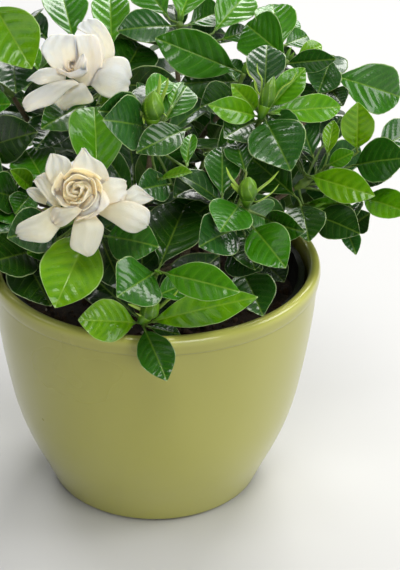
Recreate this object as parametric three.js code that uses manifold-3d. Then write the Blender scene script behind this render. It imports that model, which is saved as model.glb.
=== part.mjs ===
// Potted gardenia: a double-flowered gardenia shrub growing in a black nursery pot
// that stands inside a glazed ceramic planter. Millimetres, +Z up.
// The origin is the centre of the planter's flat base, on the surface it stands on.
// The front of the plant (its two open flowers) faces -Y.
import * as THREE from 'three';
import { mergeVertices } from 'three/addons/utils/BufferGeometryUtils.js';
import Module from 'manifold-3d';

const wasm = await Module();
wasm.setup();

// ---- driving dimensions ----------------------------------------------------
const RIM_RADIUS = 100;        // planter, widest point of the lip
const PLANTER_HEIGHT = 149.2;  // planter, top of the lip
const PLANTER_WALL = 6.6;      // wall below the lip
const PLANTER_FLOOR = 8;       // thickness of the planter's floor
const GAP = 0.3;               // clearance between pieces that touch
const POT_RIM_Z = 141.5;       // top of the nursery pot's rim
const POT_WALL = 1.6;          // nursery pot wall
const SOIL_Z = 128;            // surface of the potting mix
const ROUND = 32;              // sides of a turned piece
const LEAF_THICKNESS = 1.3;    // at the midrib; the blade thins to its margin
const PETIOLE_SHARE = 0.09;    // share of a leaf's length that is stalk
const SHORTEST_EDGE = 0.16;     // shorter edges left by a cut are closed up
const PETAL_THICKNESS = 0.9;
const PETIOLE_R = 0.85;

// outline of the leaf blade: half width against distance along the blade
const BLADE = [[0, 0.05], [0.05, 0.11], [0.12, 0.30], [0.20, 0.52], [0.30, 0.76], [0.40, 0.92], [0.50, 0.995],
  [0.60, 1.0], [0.70, 0.90], [0.80, 0.68], [0.88, 0.44], [0.94, 0.235], [0.98, 0.09], [1.0, 0.015]];
// where the blade has a section, for outer leaves, hidden ones and those inside the crown
const BLADE_STATIONS = [[0.28, 0.58, 0.86], [0.34, 0.74], [0.52]];

// ---- plant tables ----------------------------------------------------------
// leaves: [point on the twig, foot of the blade, tip, direction the upper face looks, width,
//          arch as a share of the length, fold angle, twist, which row of BLADE_STATIONS it uses (0 if left out)]

const SHOOTS = [
  { name: "leafy_shoot_01", twig: [[-28.7,38.4,241.9],[-31.4,31.2,247.0],[-34.9,22.2,253.3]], leaves: [
    [[-29.6,35.9,243.7],[-38.5,17.5,241.5],[-64.5,-25.1,243.1],[0.57,-0.32,0.76],25,0.1,14,-0.0],
    [[-31.7,30.5,247.5],[-22.2,28.1,249.3],[-8.9,68.8,259.3],[0.32,-0.32,0.89],30,0.06,10,0.0],
    [[-29.5,36.2,243.4],[-48.4,43.9,268.3],[-58.4,86.9,287.2],[0.03,-0.4,0.92],28,0.1,14,0.0],
    [[-31.2,31.7,246.6],[-25.9,41.1,264.4],[-27.8,83.2,287.3],[0.0,-0.48,0.88],24,0.1,14,0.0],
    [[-29.8,35.5,244.0],[-63.0,50.5,267.0],[-80.4,79.4,271.8],[-0.27,-0.31,0.91],18,0.08,10,-0.0],
    [[-30.3,34.2,244.9],[-34.4,16.9,240.5],[-20.0,6.5,249.8],[-0.69,-0.61,0.38],10,0.05,12,0.0],
    [[-29.5,36.2,243.5],[-53.4,27.2,229.1],[-68.5,-16.1,226.2],[0.21,-0.14,0.97],26,0.08,10,-0.0],
    [[-31.6,30.9,247.2],[-29.7,30.3,247.4],[15.6,20.3,250.1],[-0.21,-0.8,0.56],23.2,0.1,10,-6.9,2],
    [[-30.6,33.3,245.5],[-32.5,33.5,244.9],[-78.5,22.6,242.5],[0.15,-0.76,0.64],23.7,0.1,10,2.3,2],
  ] },
  { name: "leafy_shoot_02", twig: [[-35.8,-46.2,199.7],[-36.7,-53.4,205.3],[-37.8,-62.4,212.3]], leaves: [
    [[-37.0,-55.9,207.3],[-32.7,-49.9,215.7],[-35.3,-4.2,247.9],[0.08,-0.57,0.82],35,0.12,26,0.0],
    [[-37.5,-59.7,210.2],[-35.2,-66.7,201.7],[-54.1,-109.8,175.2],[0.17,-0.57,0.8],34,0.12,9,-0.0],
    [[-36.3,-50.4,203.0],[-28.7,-65.4,196.0],[1.8,-93.3,203.6],[-0.61,-0.51,0.6],26,0.12,9,-0.0],
    [[-36.3,-49.8,202.5],[-53.2,-60.9,198.7],[-79.6,-93.3,209.0],[0.7,-0.38,0.61],27,0.1,9,0.0],
    [[-36.2,-49.2,202.0],[-52.5,-58.8,190.1],[-70.0,-85.1,195.0],[0.67,-0.33,0.66],20,0.06,8,0.0],
    [[-36.1,-48.3,201.4],[-78.4,-58.0,185.9],[-56.8,-100.6,171.2],[-0.08,-0.36,0.93],32,0.06,8,-0.0],
    [[-36.1,-48.3,201.4],[-63.8,-59.4,184.1],[-90.4,-104.1,198.9],[0.72,-0.21,0.66],28,0.06,8,0.0],
    [[-36.6,-52.7,204.8],[-38.4,-52.0,205.3],[-66.5,-50.0,219.9],[0.19,-0.85,0.49],15.9,0.1,10,-5.5,2],
    [[-36.3,-50.3,202.9],[-35.6,-51.5,201.5],[-18.2,-79.5,169.1],[-0.1,-0.78,0.62],23.1,0.1,10,-1.1,2],
  ] },
  { name: "leafy_shoot_03", twig: [[-2.6,-40.5,238.1],[-2.8,-44.0,246.7],[-3.1,-48.3,257.3]], leaves: [
    [[-3.0,-47.6,255.5],[-6.9,-42.1,257.7],[-30.4,-72.9,273.9],[0.83,-0.5,0.25],24,0.1,12,-0.0],
    [[-2.9,-45.0,249.4],[-4.7,-41.3,250.8],[-27.7,-77.2,270.6],[0.87,-0.42,0.24],30,0.1,9,-0.0],
    [[-3.1,-47.8,256.1],[-6.9,-40.5,264.7],[7.0,-16.8,270.1],[0.31,-0.38,0.87],15,0.1,14,-0.0],
    [[-2.8,-43.6,245.8],[7.9,-42.4,262.0],[14.8,-18.3,269.0],[-0.29,-0.19,0.94],9,0.08,20,-0.0],
    [[-3.0,-46.1,252.0],[4.1,-42.3,253.7],[17.8,-10.5,263.5],[0.3,-0.4,0.87],20,0.08,10,-0.0],
    [[-2.7,-42.1,242.0],[19.0,-41.9,251.1],[-10.5,-71.7,249.2],[0.45,-0.5,0.74],19,0.08,10,0.0],
    [[-2.8,-43.4,245.4],[-2.0,-38.8,247.3],[11.8,-18.1,216.0],[0.58,-0.78,-0.26],24,0.06,10,0.0],
    [[-2.7,-41.5,240.6],[1.3,-62.3,229.5],[19.6,-77.2,240.6],[-0.63,-0.21,0.75],8,0.05,18,0.0],
    [[-2.7,-41.7,241.2],[9.1,-51.1,221.3],[-9.5,-78.1,230.3],[0.75,-0.32,0.59],20,0.05,10,-0.0],
    [[-2.8,-42.5,243.1],[16.8,-54.3,232.5],[20.5,-28.1,241.6],[-0.23,-0.29,0.93],10,0.06,14,-0.0],
    [[-2.7,-42.2,242.4],[-2.8,-40.4,243.1],[-4.6,2.0,259.1],[-0.02,-0.35,0.93],22.7,0.1,10,6.6,2],
  ] },
  { name: "leafy_shoot_04", twig: [[51.7,-17.2,231.5],[55.8,-18.9,239.5],[60.9,-21.0,249.6]], leaves: [
    [[60.3,-20.7,248.5],[57.8,-20.9,252.0],[41.6,-33.5,273.9],[0.5,-0.86,-0.12],14,0.1,16,0.0],
    [[60.3,-20.7,248.5],[58.4,-22.2,249.6],[28.8,-42.3,265.0],[0.63,-0.74,0.24],15,0.12,10,-0.0],
    [[60.3,-20.7,248.5],[60.5,-23.3,251.9],[106.5,-6.5,249.3],[0.33,-0.82,0.47],16.5,0.14,12,0.0],
    [[60.3,-20.7,248.5],[61.4,-20.7,248.3],[73.2,-72.6,239.2],[-0.31,-0.23,0.92],33,0.1,10,-0.0],
    [[60.3,-20.7,248.5],[63.6,-18.6,252.3],[84.2,-11.9,275.1],[-0.09,-0.93,0.36],16,0.1,14,-0.0],
    [[60.3,-20.7,248.5],[61.8,-10.8,254.0],[65.2,28.3,273.9],[-0.02,-0.45,0.89],23,0.08,9,-0.0],
    [[60.0,-20.6,247.9],[63.0,-11.7,248.2],[80.1,-44.3,244.5],[-0.63,-0.41,0.66],20,0.06,10,0.0],
    [[56.9,-19.3,241.7],[58.7,-10.1,242.6],[37.9,-44.0,246.1],[0.56,-0.26,0.79],24,0.06,10,-0.0],
    [[58.5,-20.0,244.9],[59.7,-16.6,245.2],[75.3,33.9,241.3],[0.27,-0.01,0.96],27.7,0.119,13.9,2.0,2],
  ] },
  { name: "leafy_shoot_05", twig: [[42.2,-59.0,203.3],[46.0,-64.7,209.4],[50.7,-71.8,217.1]], leaves: [
    [[43.8,-61.4,205.9],[49.8,-58.2,230.8],[45.2,-31.9,239.0],[-0.17,-0.32,0.93],17,0.06,10,0.0],
    [[45.7,-64.3,209.0],[36.6,-64.8,218.0],[37.5,-30.7,234.8],[0.05,-0.44,0.9],21,0.06,10,-0.0],
    [[49.7,-70.2,215.4],[46.3,-69.7,218.0],[34.4,-97.0,214.6],[0.31,-0.25,0.92],26,0.1,12,-0.0],
    [[49.3,-69.6,214.7],[48.6,-68.5,216.2],[61.9,-48.8,197.8],[0.79,-0.61,-0.08],22,0.08,12,-0.0],
    [[45.6,-64.1,208.8],[44.4,-70.9,203.2],[23.2,-99.7,207.0],[0.59,-0.34,0.73],27,0.12,10,0.0],
    [[49.4,-69.8,215.0],[52.8,-75.7,207.5],[69.2,-111.5,200.5],[-0.43,-0.36,0.83],26,0.14,14,0.0],
    [[49.0,-69.2,214.4],[58.7,-67.8,209.7],[79.7,-98.9,215.6],[-0.83,-0.53,0.18],17,0.1,12,-0.0],
    [[43.3,-60.6,205.1],[49.3,-62.9,197.3],[53.4,-102.5,194.5],[-0.1,-0.08,0.99],24,0.06,10,-0.0],
    [[43.5,-60.9,205.4],[47.5,-65.4,175.9],[58.1,-109.8,170.2],[-0.21,-0.17,0.96],26,0.08,8,-0.0],
    [[43.3,-60.7,205.2],[39.6,-60.3,184.7],[58.1,-91.1,188.4],[-0.61,-0.28,0.74],24,0.06,8,-0.0],
    [[44.9,-63.1,207.8],[41.4,-62.4,210.4],[10.6,-54.8,229.4],[0.43,-0.33,0.84],21.7,0.09,13.2,-7.8,2],
  ] },
  { name: "leafy_shoot_06", twig: [[-6.0,-70.7,141.5],[-6.5,-78.0,147.0],[-7.1,-87.2,153.9]], leaves: [
    [[-7.0,-85.9,153.0],[-8.7,-86.3,152.3],[-42.4,-100.6,162.5],[0.46,-0.74,0.48],24,0.1,9,-0.0],
    [[-6.9,-84.3,151.7],[-6.5,-84.9,150.8],[55.4,-105.1,179.3],[-0.46,-0.77,0.44],19.5,0.1,10,-0.0],
    [[-7.0,-86.2,153.1],[-7.0,-90.6,152.8],[6.2,-124.1,137.8],[-0.15,-0.45,0.88],20.5,0.1,9,0.0],
    [[-6.5,-77.8,146.8],[-5.4,-78.6,145.8],[14.4,-77.1,139.0],[0.29,-0.65,0.7],9,0.04,9,-0.0],
    [[-6.7,-80.6,149.0],[-8.1,-79.8,150.0],[-44.0,-62.2,177.1],[0.01,-0.83,0.55],24.1,0.1,10,7.4,2],
    [[-6.4,-77.2,146.4],[-6.5,-76.0,148.0],[-7.9,-52.2,191.9],[-0.05,-0.88,0.47],25.0,0.1,10,-1.0,2],
    [[-6.5,-78.1,147.1],[-5.0,-77.4,148.2],[36.0,-61.7,182.2],[-0.13,-0.83,0.54],27.8,0.1,10,-0.4,2],
  ] },
  { name: "leafy_shoot_07", twig: [[82.7,1.5,193.8],[90.2,1.3,199.1],[99.7,1.0,205.7]], leaves: [
    [[92.2,1.2,200.5],[88.4,-5.0,205.7],[126.0,-31.5,204.7],[-0.48,-0.7,0.53],20,0.1,10,0.0],
    [[86.7,1.4,196.6],[118.1,-1.4,218.2],[116.0,-7.1,252.7],[-0.11,-0.98,-0.17],20,0.06,10,0.0],
    [[98.6,1.0,204.9],[101.4,4.9,212.1],[106.4,22.8,228.9],[-0.2,-0.64,0.74],10,0.04,14,0.0],
    [[98.6,1.0,204.9],[100.4,-1.0,209.6],[115.6,-6.7,221.2],[-0.54,-0.78,0.32],11,0.05,16,0.0],
    [[89.0,1.3,198.2],[116.4,4.1,207.4],[144.9,-21.7,224.2],[-0.73,-0.54,0.41],27,0.1,10,0.0],
    [[86.6,1.4,196.6],[131.1,18.8,209.9],[159.7,43.6,213.0],[0.3,-0.45,0.84],24,0.1,10,-0.0],
    [[84.9,1.4,195.4],[121.2,-5.1,190.8],[146.3,-35.9,195.4],[-0.57,-0.36,0.74],20,0.1,12,0.0],
    [[87.5,1.4,197.2],[95.1,17.3,205.2],[87.7,46.7,220.8],[-0.19,-0.5,0.85],22,0.06,10,0.0],
    [[88.1,1.4,197.6],[98.7,20.1,210.6],[113.6,43.0,223.0],[0.0,-0.48,0.88],16,0.06,10,-0.0],
    [[84.9,1.4,195.4],[87.6,-4.2,186.3],[113.7,-25.6,198.7],[-0.52,-0.8,-0.28],12,0.06,8,-0.0],
    [[87.9,1.4,197.5],[120.5,2.0,195.3],[137.6,-14.9,209.7],[-0.78,-0.36,0.51],9,0.05,10,0.0],
    [[90.9,1.3,199.5],[89.8,1.6,201.2],[60.7,9.3,235.3],[0.76,-0.01,0.65],22.7,0.1,10,-5.5,2],
    [[89.9,1.3,198.8],[88.8,1.9,200.4],[60.9,15.1,233.4],[0.76,0.0,0.65],22.6,0.1,10,5.0,2],
    [[86.5,1.4,196.4],[87.4,2.5,195.1],[123.1,25.7,179.1],[0.53,-0.27,0.8],22.7,0.1,10,-1.9,2],
    [[89.6,1.3,198.6],[92.3,3.2,199.8],[122.4,21.9,213.0],[0.26,-0.8,0.54],20.4,0.114,12.6,2.2,2],
    [[97.1,1.1,203.9],[95.1,4.8,201.8],[101.1,56.7,195.9],[0.1,0.1,0.99],27.0,0.109,11.5,-2.4,2],
  ] },
  { name: "leafy_shoot_08", twig: [[68.6,35.4,242.7],[73.0,37.5,250.5],[78.4,40.0,260.3]], leaves: [
    [[77.8,39.7,259.2],[79.5,40.2,260.1],[55.2,72.6,271.0],[-0.51,-0.59,0.62],31,0.1,12,0.0],
    [[72.9,37.4,250.4],[76.6,51.8,264.6],[93.3,71.7,263.8],[0.5,-0.39,0.77],15,0.06,10,-0.0],
    [[77.8,39.7,259.2],[83.3,42.8,261.0],[100.5,56.2,263.7],[0.39,-0.64,0.66],11,0.05,10,-0.0],
    [[76.8,39.2,257.5],[75.9,39.1,258.0],[105.3,20.9,268.1],[-0.58,-0.75,0.33],14,0.06,10,0.0],
    [[70.2,36.2,245.6],[104.8,37.9,263.6],[95.9,22.1,246.4],[0.03,-0.74,0.67],21,0.06,10,0.0],
    [[77.8,39.7,259.2],[74.8,49.6,260.4],[71.9,89.8,277.9],[-0.0,-0.4,0.92],26,0.1,12,0.0],
    [[72.4,37.2,249.6],[65.0,70.8,265.3],[89.0,102.8,263.1],[0.43,-0.26,0.86],20,0.06,12,0.0],
    [[71.3,36.7,247.5],[71.4,38.6,247.0],[73.0,88.2,227.4],[0.48,0.31,0.82],26.7,0.1,10,-6.7,2],
    [[71.6,36.8,248.1],[71.5,38.8,247.7],[71.6,92.7,239.1],[0.48,0.14,0.87],27.3,0.1,10,-7.5,2],
  ] },
  { name: "leafy_shoot_09", twig: [[93.9,30.6,231.6],[99.7,32.3,238.5],[106.9,34.3,247.2]], leaves: [
    [[106.1,34.1,246.2],[103.6,37.6,252.4],[149.5,51.4,232.2],[0.38,-0.89,0.26],31,0.12,14,-0.0],
    [[104.6,33.7,244.4],[104.6,37.3,243.5],[110.5,16.3,240.6],[-0.39,-0.23,0.89],16,0.06,10,0.0],
    [[97.3,31.6,235.7],[102.1,59.1,237.4],[86.9,34.2,230.6],[0.12,-0.33,0.94],22,0.06,10,0.0],
    [[97.4,31.6,235.8],[98.0,33.3,234.9],[109.4,70.3,212.9],[0.65,0.23,0.73],22.3,0.1,10,3.8,2],
    [[101.9,32.9,241.2],[101.0,34.6,241.5],[77.4,79.8,250.4],[0.63,0.18,0.76],25.9,0.1,10,5.5,2],
    [[104.7,33.7,244.5],[103.9,38.5,244.1],[104.5,87.3,247.0],[0.45,-0.06,0.89],24.6,0.114,11.7,1.1,2],
  ] },
  { name: "leafy_shoot_10", twig: [[1.1,-81.4,182.2],[1.2,-89.5,186.4],[1.3,-99.7,191.7]], leaves: [
    [[1.3,-98.6,191.1],[2.4,-100.2,192.0],[44.0,-131.0,196.7],[-0.53,-0.63,0.57],20,0.12,10,-0.0],
    [[1.2,-91.3,187.3],[1.3,-91.1,187.7],[17.3,-39.8,203.5],[0.13,-0.33,0.94],33,0.06,8,-0.0],
    [[1.3,-94.8,189.2],[0.2,-94.9,189.1],[-20.2,-129.1,192.7],[0.61,-0.29,0.74],31,0.08,9,-0.0],
    [[1.1,-83.8,183.4],[-2.0,-96.3,173.8],[20.9,-74.0,172.2],[0.51,-0.47,0.72],17,0.06,9,0.0],
  ] },
  { name: "leafy_shoot_11", twig: [[-84.3,26.6,241.6],[-89.4,28.0,249.1],[-95.8,29.7,258.5]], leaves: [
    [[-86.7,27.3,245.0],[-94.8,35.2,296.9],[-69.9,-5.3,271.4],[-0.22,-0.61,0.76],33,0.1,12,0.0],
    [[-85.8,27.0,243.8],[-82.1,40.5,278.1],[-67.9,13.1,263.7],[0.23,-0.36,0.91],12,0.08,12,-0.0],
    [[-87.6,27.5,246.4],[-84.8,38.1,265.3],[-80.0,-0.2,254.7],[0.07,-0.26,0.96],28,0.08,8,0.0],
    [[-86.0,27.1,244.0],[-112.0,21.8,233.8],[-83.0,-1.6,248.5],[-0.67,-0.45,0.59],22,0.08,10,-0.0],
    [[-87.9,27.6,246.8],[-104.3,16.3,211.8],[-67.2,-12.8,236.0],[-0.7,-0.66,0.27],28,0.08,10,-0.0],
    [[-95.1,29.5,257.4],[-105.6,32.6,262.3],[-119.3,-3.8,293.7],[0.88,-0.45,-0.14],28,0.1,12,-0.0],
    [[-95.1,29.5,257.4],[-104.4,26.9,252.0],[-123.1,-18.8,260.3],[0.56,-0.08,0.82],28,0.1,12,0.0],
    [[-89.6,28.0,249.3],[-88.2,29.3,250.0],[-67.1,63.4,283.7],[-0.78,-0.12,0.61],26.2,0.1,10,-1.1,2],
    [[-90.2,28.2,250.2],[-91.9,28.0,249.1],[-131.5,22.1,222.3],[-0.57,0.15,0.81],24.1,0.1,10,4.2,2],
    [[-89.2,27.9,248.7],[-88.6,29.8,248.7],[-73.3,75.1,246.4],[-0.53,0.22,0.82],23.9,0.1,10,-6.5,2],
  ] },
  { name: "leafy_shoot_12", twig: [[-68.8,-30.3,195.5],[-75.4,-33.6,201.1],[-83.6,-37.7,208.0]], leaves: [
    [[-71.6,-31.7,197.9],[-62.0,-29.5,209.8],[-75.7,0.2,219.0],[-0.18,-0.37,0.91],28,0.06,10,-0.0],
    [[-71.4,-31.6,197.7],[-69.2,-39.2,212.5],[-80.4,-51.4,229.8],[0.79,-0.6,0.09],12,0.08,28,0.0],
    [[-75.9,-33.9,201.4],[-70.2,-35.1,207.4],[-78.2,-57.7,205.8],[0.34,-0.19,0.92],17,0.06,12,0.0],
    [[-77.1,-34.5,202.5],[-76.1,-34.8,203.4],[-94.4,-59.9,221.6],[0.86,-0.38,0.34],24,0.08,10,0.0],
    [[-77.8,-34.8,203.1],[-77.0,-37.7,202.3],[-93.4,-65.9,207.4],[0.6,-0.21,0.77],22,0.08,10,0.0],
    [[-77.1,-34.5,202.5],[-76.9,-42.2,198.2],[-97.0,-77.7,202.3],[0.38,-0.11,0.92],26,0.1,10,-0.0],
    [[-81.9,-36.9,206.6],[-82.9,-31.9,208.4],[-115.8,10.9,207.7],[-0.39,-0.29,0.87],30,0.1,12,0.0],
    [[-78.0,-34.9,203.3],[-78.9,-35.8,201.7],[-103.8,-56.7,171.7],[-0.63,-0.28,0.72],22.1,0.1,10,4.1,2],
  ] },
  { name: "leafy_shoot_13", twig: [[75.0,-13.6,180.2],[83.0,-15.5,184.4],[93.0,-17.8,189.6]], leaves: [
    [[87.1,-16.5,186.5],[83.5,-14.2,194.4],[56.8,21.7,205.2],[-0.42,-0.53,0.74],28,0.08,10,0.0],
    [[86.7,-16.4,186.3],[84.8,-13.9,191.0],[87.0,-53.5,186.3],[-0.11,-0.12,0.99],25,0.1,10,-0.0],
    [[89.5,-17.0,187.8],[92.2,-13.3,184.2],[117.0,-44.6,186.9],[-0.57,-0.39,0.72],23,0.08,10,-0.0],
    [[82.0,-15.3,183.8],[121.5,-15.2,194.9],[111.4,-36.3,189.8],[-0.48,0.01,0.88],12,0.05,10,0.0],
    [[82.8,-15.4,184.3],[114.9,-16.3,175.8],[124.0,-30.2,193.2],[-0.78,-0.62,-0.08],16,0.06,10,-0.0],
    [[79.4,-14.7,182.5],[109.7,-18.9,179.1],[115.7,-43.4,172.7],[-0.06,-0.27,0.96],12,0.14,20,0.0],
    [[77.3,-14.2,181.4],[65.0,3.9,143.1],[76.5,-23.8,144.3],[-0.37,-0.11,0.92],18,0.06,8,0.0],
  ] },
  { name: "leafy_shoot_14", twig: [[44.7,30.3,234.8],[48.2,32.4,243.1],[52.6,34.9,253.4]], leaves: [
    [[52.1,34.7,252.2],[52.0,35.5,253.6],[-0.3,28.8,277.7],[0.23,-0.94,0.25],28,0.08,14,-0.0],
    [[50.1,33.5,247.6],[50.7,42.3,245.2],[14.3,20.6,252.4],[0.51,-0.67,0.55],24,0.08,10,-0.0],
    [[47.3,31.8,240.9],[50.7,38.3,237.8],[25.9,7.4,243.3],[0.65,-0.41,0.64],24,0.08,10,-0.0],
    [[47.7,32.1,241.8],[49.7,45.5,242.6],[43.3,70.0,248.7],[-0.06,-0.25,0.97],16,0.06,10,-0.0],
    [[46.7,31.5,239.5],[47.5,29.7,239.7],[64.4,-15.1,239.9],[0.41,0.16,0.9],23.9,0.1,10,6.3,2],
  ] },
  { name: "leafy_shoot_15", twig: [[13.0,52.6,257.6],[13.8,55.6,266.3],[14.8,59.4,277.1]], leaves: [
    [[14.5,58.4,274.4],[12.3,58.3,274.6],[-22.6,35.4,279.5],[0.49,-0.61,0.63],22,0.08,12,0.0],
    [[14.7,58.8,275.6],[13.5,58.9,275.7],[24.9,96.3,290.9],[0.1,-0.4,0.91],24,0.1,12,-0.0],
    [[13.6,54.9,264.3],[34.2,65.0,267.2],[57.6,102.5,280.0],[0.3,-0.47,0.83],26,0.1,12,-0.0],
    [[13.3,53.6,260.7],[39.2,67.0,262.7],[58.5,84.4,261.7],[0.45,-0.45,0.77],14,0.06,12,-0.0],
    [[14.6,58.6,274.9],[18.4,65.8,272.0],[41.5,98.4,269.6],[0.56,-0.35,0.75],22,0.08,12,-0.0],
    [[14.7,58.9,275.9],[8.7,64.0,276.4],[-9.7,104.9,286.6],[-0.34,-0.37,0.86],26,0.1,12,-0.0],
    [[13.4,54.1,262.0],[11.5,54.8,262.0],[-39.9,72.3,258.0],[0.04,0.34,0.94],27.2,0.1,10,1.2,2],
    [[13.7,55.2,265.1],[13.5,57.1,264.5],[9.5,103.0,257.8],[0.1,0.15,0.98],23.3,0.1,10,-3.4,2],
    [[13.9,56.1,267.9],[16.0,58.2,265.4],[44.9,92.8,256.8],[0.52,-0.23,0.82],25.7,0.102,12.0,5.5,2],
    [[13.9,56.1,267.9],[13.0,60.9,267.1],[10.1,89.7,277.4],[0.16,-0.32,0.94],16.9,0.127,12.9,7.4,2],
  ] },
  { name: "leafy_shoot_16", twig: [[-13.4,79.7,154.4],[-15.0,88.6,155.6],[-17.0,99.9,157.1]], leaves: [
    [[-14.3,84.7,155.1],[-12.3,85.1,155.1],[30.1,118.3,148.8],[-0.43,0.66,0.61],24.5,0.125,8.7,8.9,1],
    [[-14.6,86.7,155.4],[-15.9,86.3,156.9],[-52.2,92.7,188.5],[0.34,0.92,0.2],23.5,0.121,10.4,-5.8,1],
    [[-15.0,88.6,155.6],[-16.9,88.4,155.0],[-60.2,100.2,137.0],[-0.03,0.81,0.59],21.9,0.13,14.9,-9.1,1],
    [[-15.3,90.6,155.9],[-13.8,90.7,157.1],[9.9,117.4,178.6],[-0.81,0.53,0.24],19.9,0.087,14.0,-7.2,1],
    [[-15.7,92.6,156.2],[-16.6,92.2,157.9],[-40.8,117.8,189.3],[0.65,0.75,-0.11],21.7,0.142,12.1,6.8,1],
    [[-16.0,94.5,156.4],[-14.6,94.9,155.1],[4.3,131.3,134.6],[-0.31,0.59,0.75],20.8,0.135,14.4,-9.7,1],
    [[-16.4,96.5,156.7],[-14.8,96.6,157.9],[-2.6,128.9,174.4],[-0.93,0.18,0.34],16.3,0.116,14.4,8.1,1],
    [[-16.7,98.4,156.9],[-18.5,98.2,156.0],[-37.4,126.1,152.9],[0.36,0.34,0.87],14.9,0.128,14.2,-5.3,1],
  ] },
  { name: "leafy_shoot_17", twig: [[-72.4,37.0,166.6],[-80.4,40.7,169.3],[-90.4,45.2,172.6]], leaves: [
    [[-76.9,39.1,168.1],[-77.5,37.3,168.8],[-102.1,-12.5,175.0],[-0.66,0.41,0.63],26.5,0.096,9.7,-5.8,1],
    [[-78.6,39.9,168.7],[-78.4,41.4,167.4],[-87.8,80.1,133.2],[-0.71,0.36,0.6],22.5,0.113,10.8,-1.9,1],
    [[-80.4,40.7,169.3],[-79.6,41.1,171.0],[-81.8,59.2,207.1],[-1.0,-0.03,-0.05],22.2,0.127,15.0,-2.4,1],
    [[-82.1,41.5,169.8],[-83.0,40.9,168.1],[-114.7,38.3,139.3],[-0.65,0.32,0.69],19.0,0.104,10.7,-9.8,1],
    [[-83.9,42.3,170.4],[-83.4,43.9,169.4],[-100.6,79.3,160.0],[-0.57,-0.06,0.82],16.7,0.128,15.8,3.0,1],
    [[-85.6,43.0,171.0],[-86.1,41.3,171.9],[-115.5,26.2,189.6],[-0.19,0.88,0.43],17.5,0.128,12.3,-9.4,1],
    [[-87.3,43.8,171.6],[-88.2,43.3,169.9],[-125.4,47.8,153.9],[-0.34,0.3,0.89],18.1,0.134,18.0,-7.2,1],
    [[-89.1,44.6,172.2],[-88.3,45.0,174.0],[-106.8,61.4,201.9],[-0.85,-0.4,-0.33],16.8,0.09,19.7,-3.2,1],
  ] },
  { name: "leafy_shoot_18", twig: [[51.8,60.5,153.8],[57.9,67.2,154.9],[65.6,75.7,156.3]], leaves: [
    [[55.3,64.3,154.4],[56.7,63.0,154.6],[107.6,46.4,146.7],[0.33,0.73,0.59],27.3,0.145,12.2,2.8,1],
    [[56.6,65.8,154.7],[55.6,66.5,156.3],[40.2,103.2,191.4],[0.96,0.25,0.16],30.3,0.084,10.0,-7.2,1],
    [[57.9,67.2,154.9],[56.5,68.6,155.0],[46.1,122.0,148.7],[0.73,0.22,0.65],24.0,0.082,10.8,3.6,1],
    [[59.3,68.7,155.2],[60.5,67.4,156.1],[108.6,56.8,171.7],[0.06,0.9,0.44],24.4,0.145,14.9,1.7,1],
    [[60.6,70.2,155.4],[59.4,71.0,156.8],[55.7,101.3,177.6],[0.99,0.01,0.16],16.9,0.1,11.8,-3.3,1],
    [[62.0,71.6,155.7],[63.2,70.7,154.3],[95.0,77.0,137.3],[0.28,0.6,0.75],14.4,0.113,14.5,7.9,1],
    [[63.3,73.1,155.9],[64.5,71.8,156.9],[100.9,80.3,171.6],[-0.36,0.83,0.42],17.7,0.131,14.3,9.1,1],
    [[64.6,74.6,156.2],[63.6,75.7,154.8],[73.9,102.3,148.8],[0.45,0.03,0.89],11.6,0.122,18.6,-0.0,1],
  ] },
  { name: "leafy_shoot_19", twig: [[-20.7,71.5,209.7],[-22.5,77.6,216.4],[-24.8,85.1,224.8]], leaves: [
    [[-21.7,75.0,213.5],[-19.7,75.3,213.7],[31.0,91.0,216.3],[-0.18,0.45,0.87],26.7,0.089,10.3,7.4,1],
    [[-22.1,76.3,215.0],[-24.0,76.2,214.5],[-82.4,87.3,209.3],[0.0,0.44,0.9],26.9,0.088,9.6,-6.3,1],
    [[-22.5,77.6,216.4],[-22.6,79.1,215.1],[-28.0,124.2,188.7],[-0.14,0.49,0.86],23.7,0.138,11.2,1.6,1],
    [[-22.9,78.9,217.9],[-22.3,77.6,219.2],[-15.4,67.1,259.4],[-0.36,0.89,0.29],19.1,0.149,15.9,0.6,1],
    [[-23.3,80.2,219.3],[-25.2,79.7,219.3],[-60.9,87.6,233.0],[0.41,0.42,0.81],16.9,0.087,16.9,6.3,1],
    [[-23.7,81.5,220.8],[-21.8,82.0,220.8],[3.6,112.7,241.6],[-0.66,0.04,0.75],20.5,0.134,16.5,1.0,1],
    [[-24.1,82.8,222.3],[-23.8,81.4,223.6],[-26.2,81.8,259.2],[-0.18,0.98,-0.02],14.2,0.111,13.4,7.5,1],
    [[-24.5,84.1,223.7],[-24.7,85.6,222.3],[-31.7,115.0,229.7],[0.01,-0.24,0.97],13.2,0.125,16.3,-3.4,1],
    [[-24.3,83.4,222.9],[-19.4,85.6,222.4],[17.2,110.8,225.4],[0.26,-0.48,0.84],21.8,0.128,12.8,-4.4,2],
    [[-23.2,80.0,219.1],[-25.9,77.8,220.4],[-45.4,57.9,226.1],[0.32,-0.04,0.95],14.1,0.113,12.1,-7.1,2],
  ] },
  { name: "leafy_shoot_20", twig: [[38.3,68.2,201.4],[41.8,74.2,207.4],[46.3,81.7,215.0]], leaves: [
    [[41.1,72.9,206.1],[39.5,74.1,205.8],[7.6,113.7,201.0],[0.35,0.39,0.85],24.7,0.087,12.4,6.6,1],
    [[41.8,74.2,207.4],[43.1,74.9,206.0],[77.3,100.5,175.3],[0.33,0.51,0.79],21.5,0.139,10.0,6.1,1],
    [[42.6,75.5,208.7],[41.6,74.6,210.2],[25.0,69.8,259.1],[0.65,0.7,0.29],24.9,0.083,12.8,-6.8,1],
    [[43.4,76.8,210.0],[41.8,78.0,209.8],[29.3,112.3,217.7],[0.53,-0.0,0.85],16.2,0.085,15.2,2.6,1],
    [[44.1,78.1,211.4],[45.7,76.8,211.7],[77.8,76.0,230.9],[-0.38,0.64,0.67],17.5,0.14,17.6,0.4,1],
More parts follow.
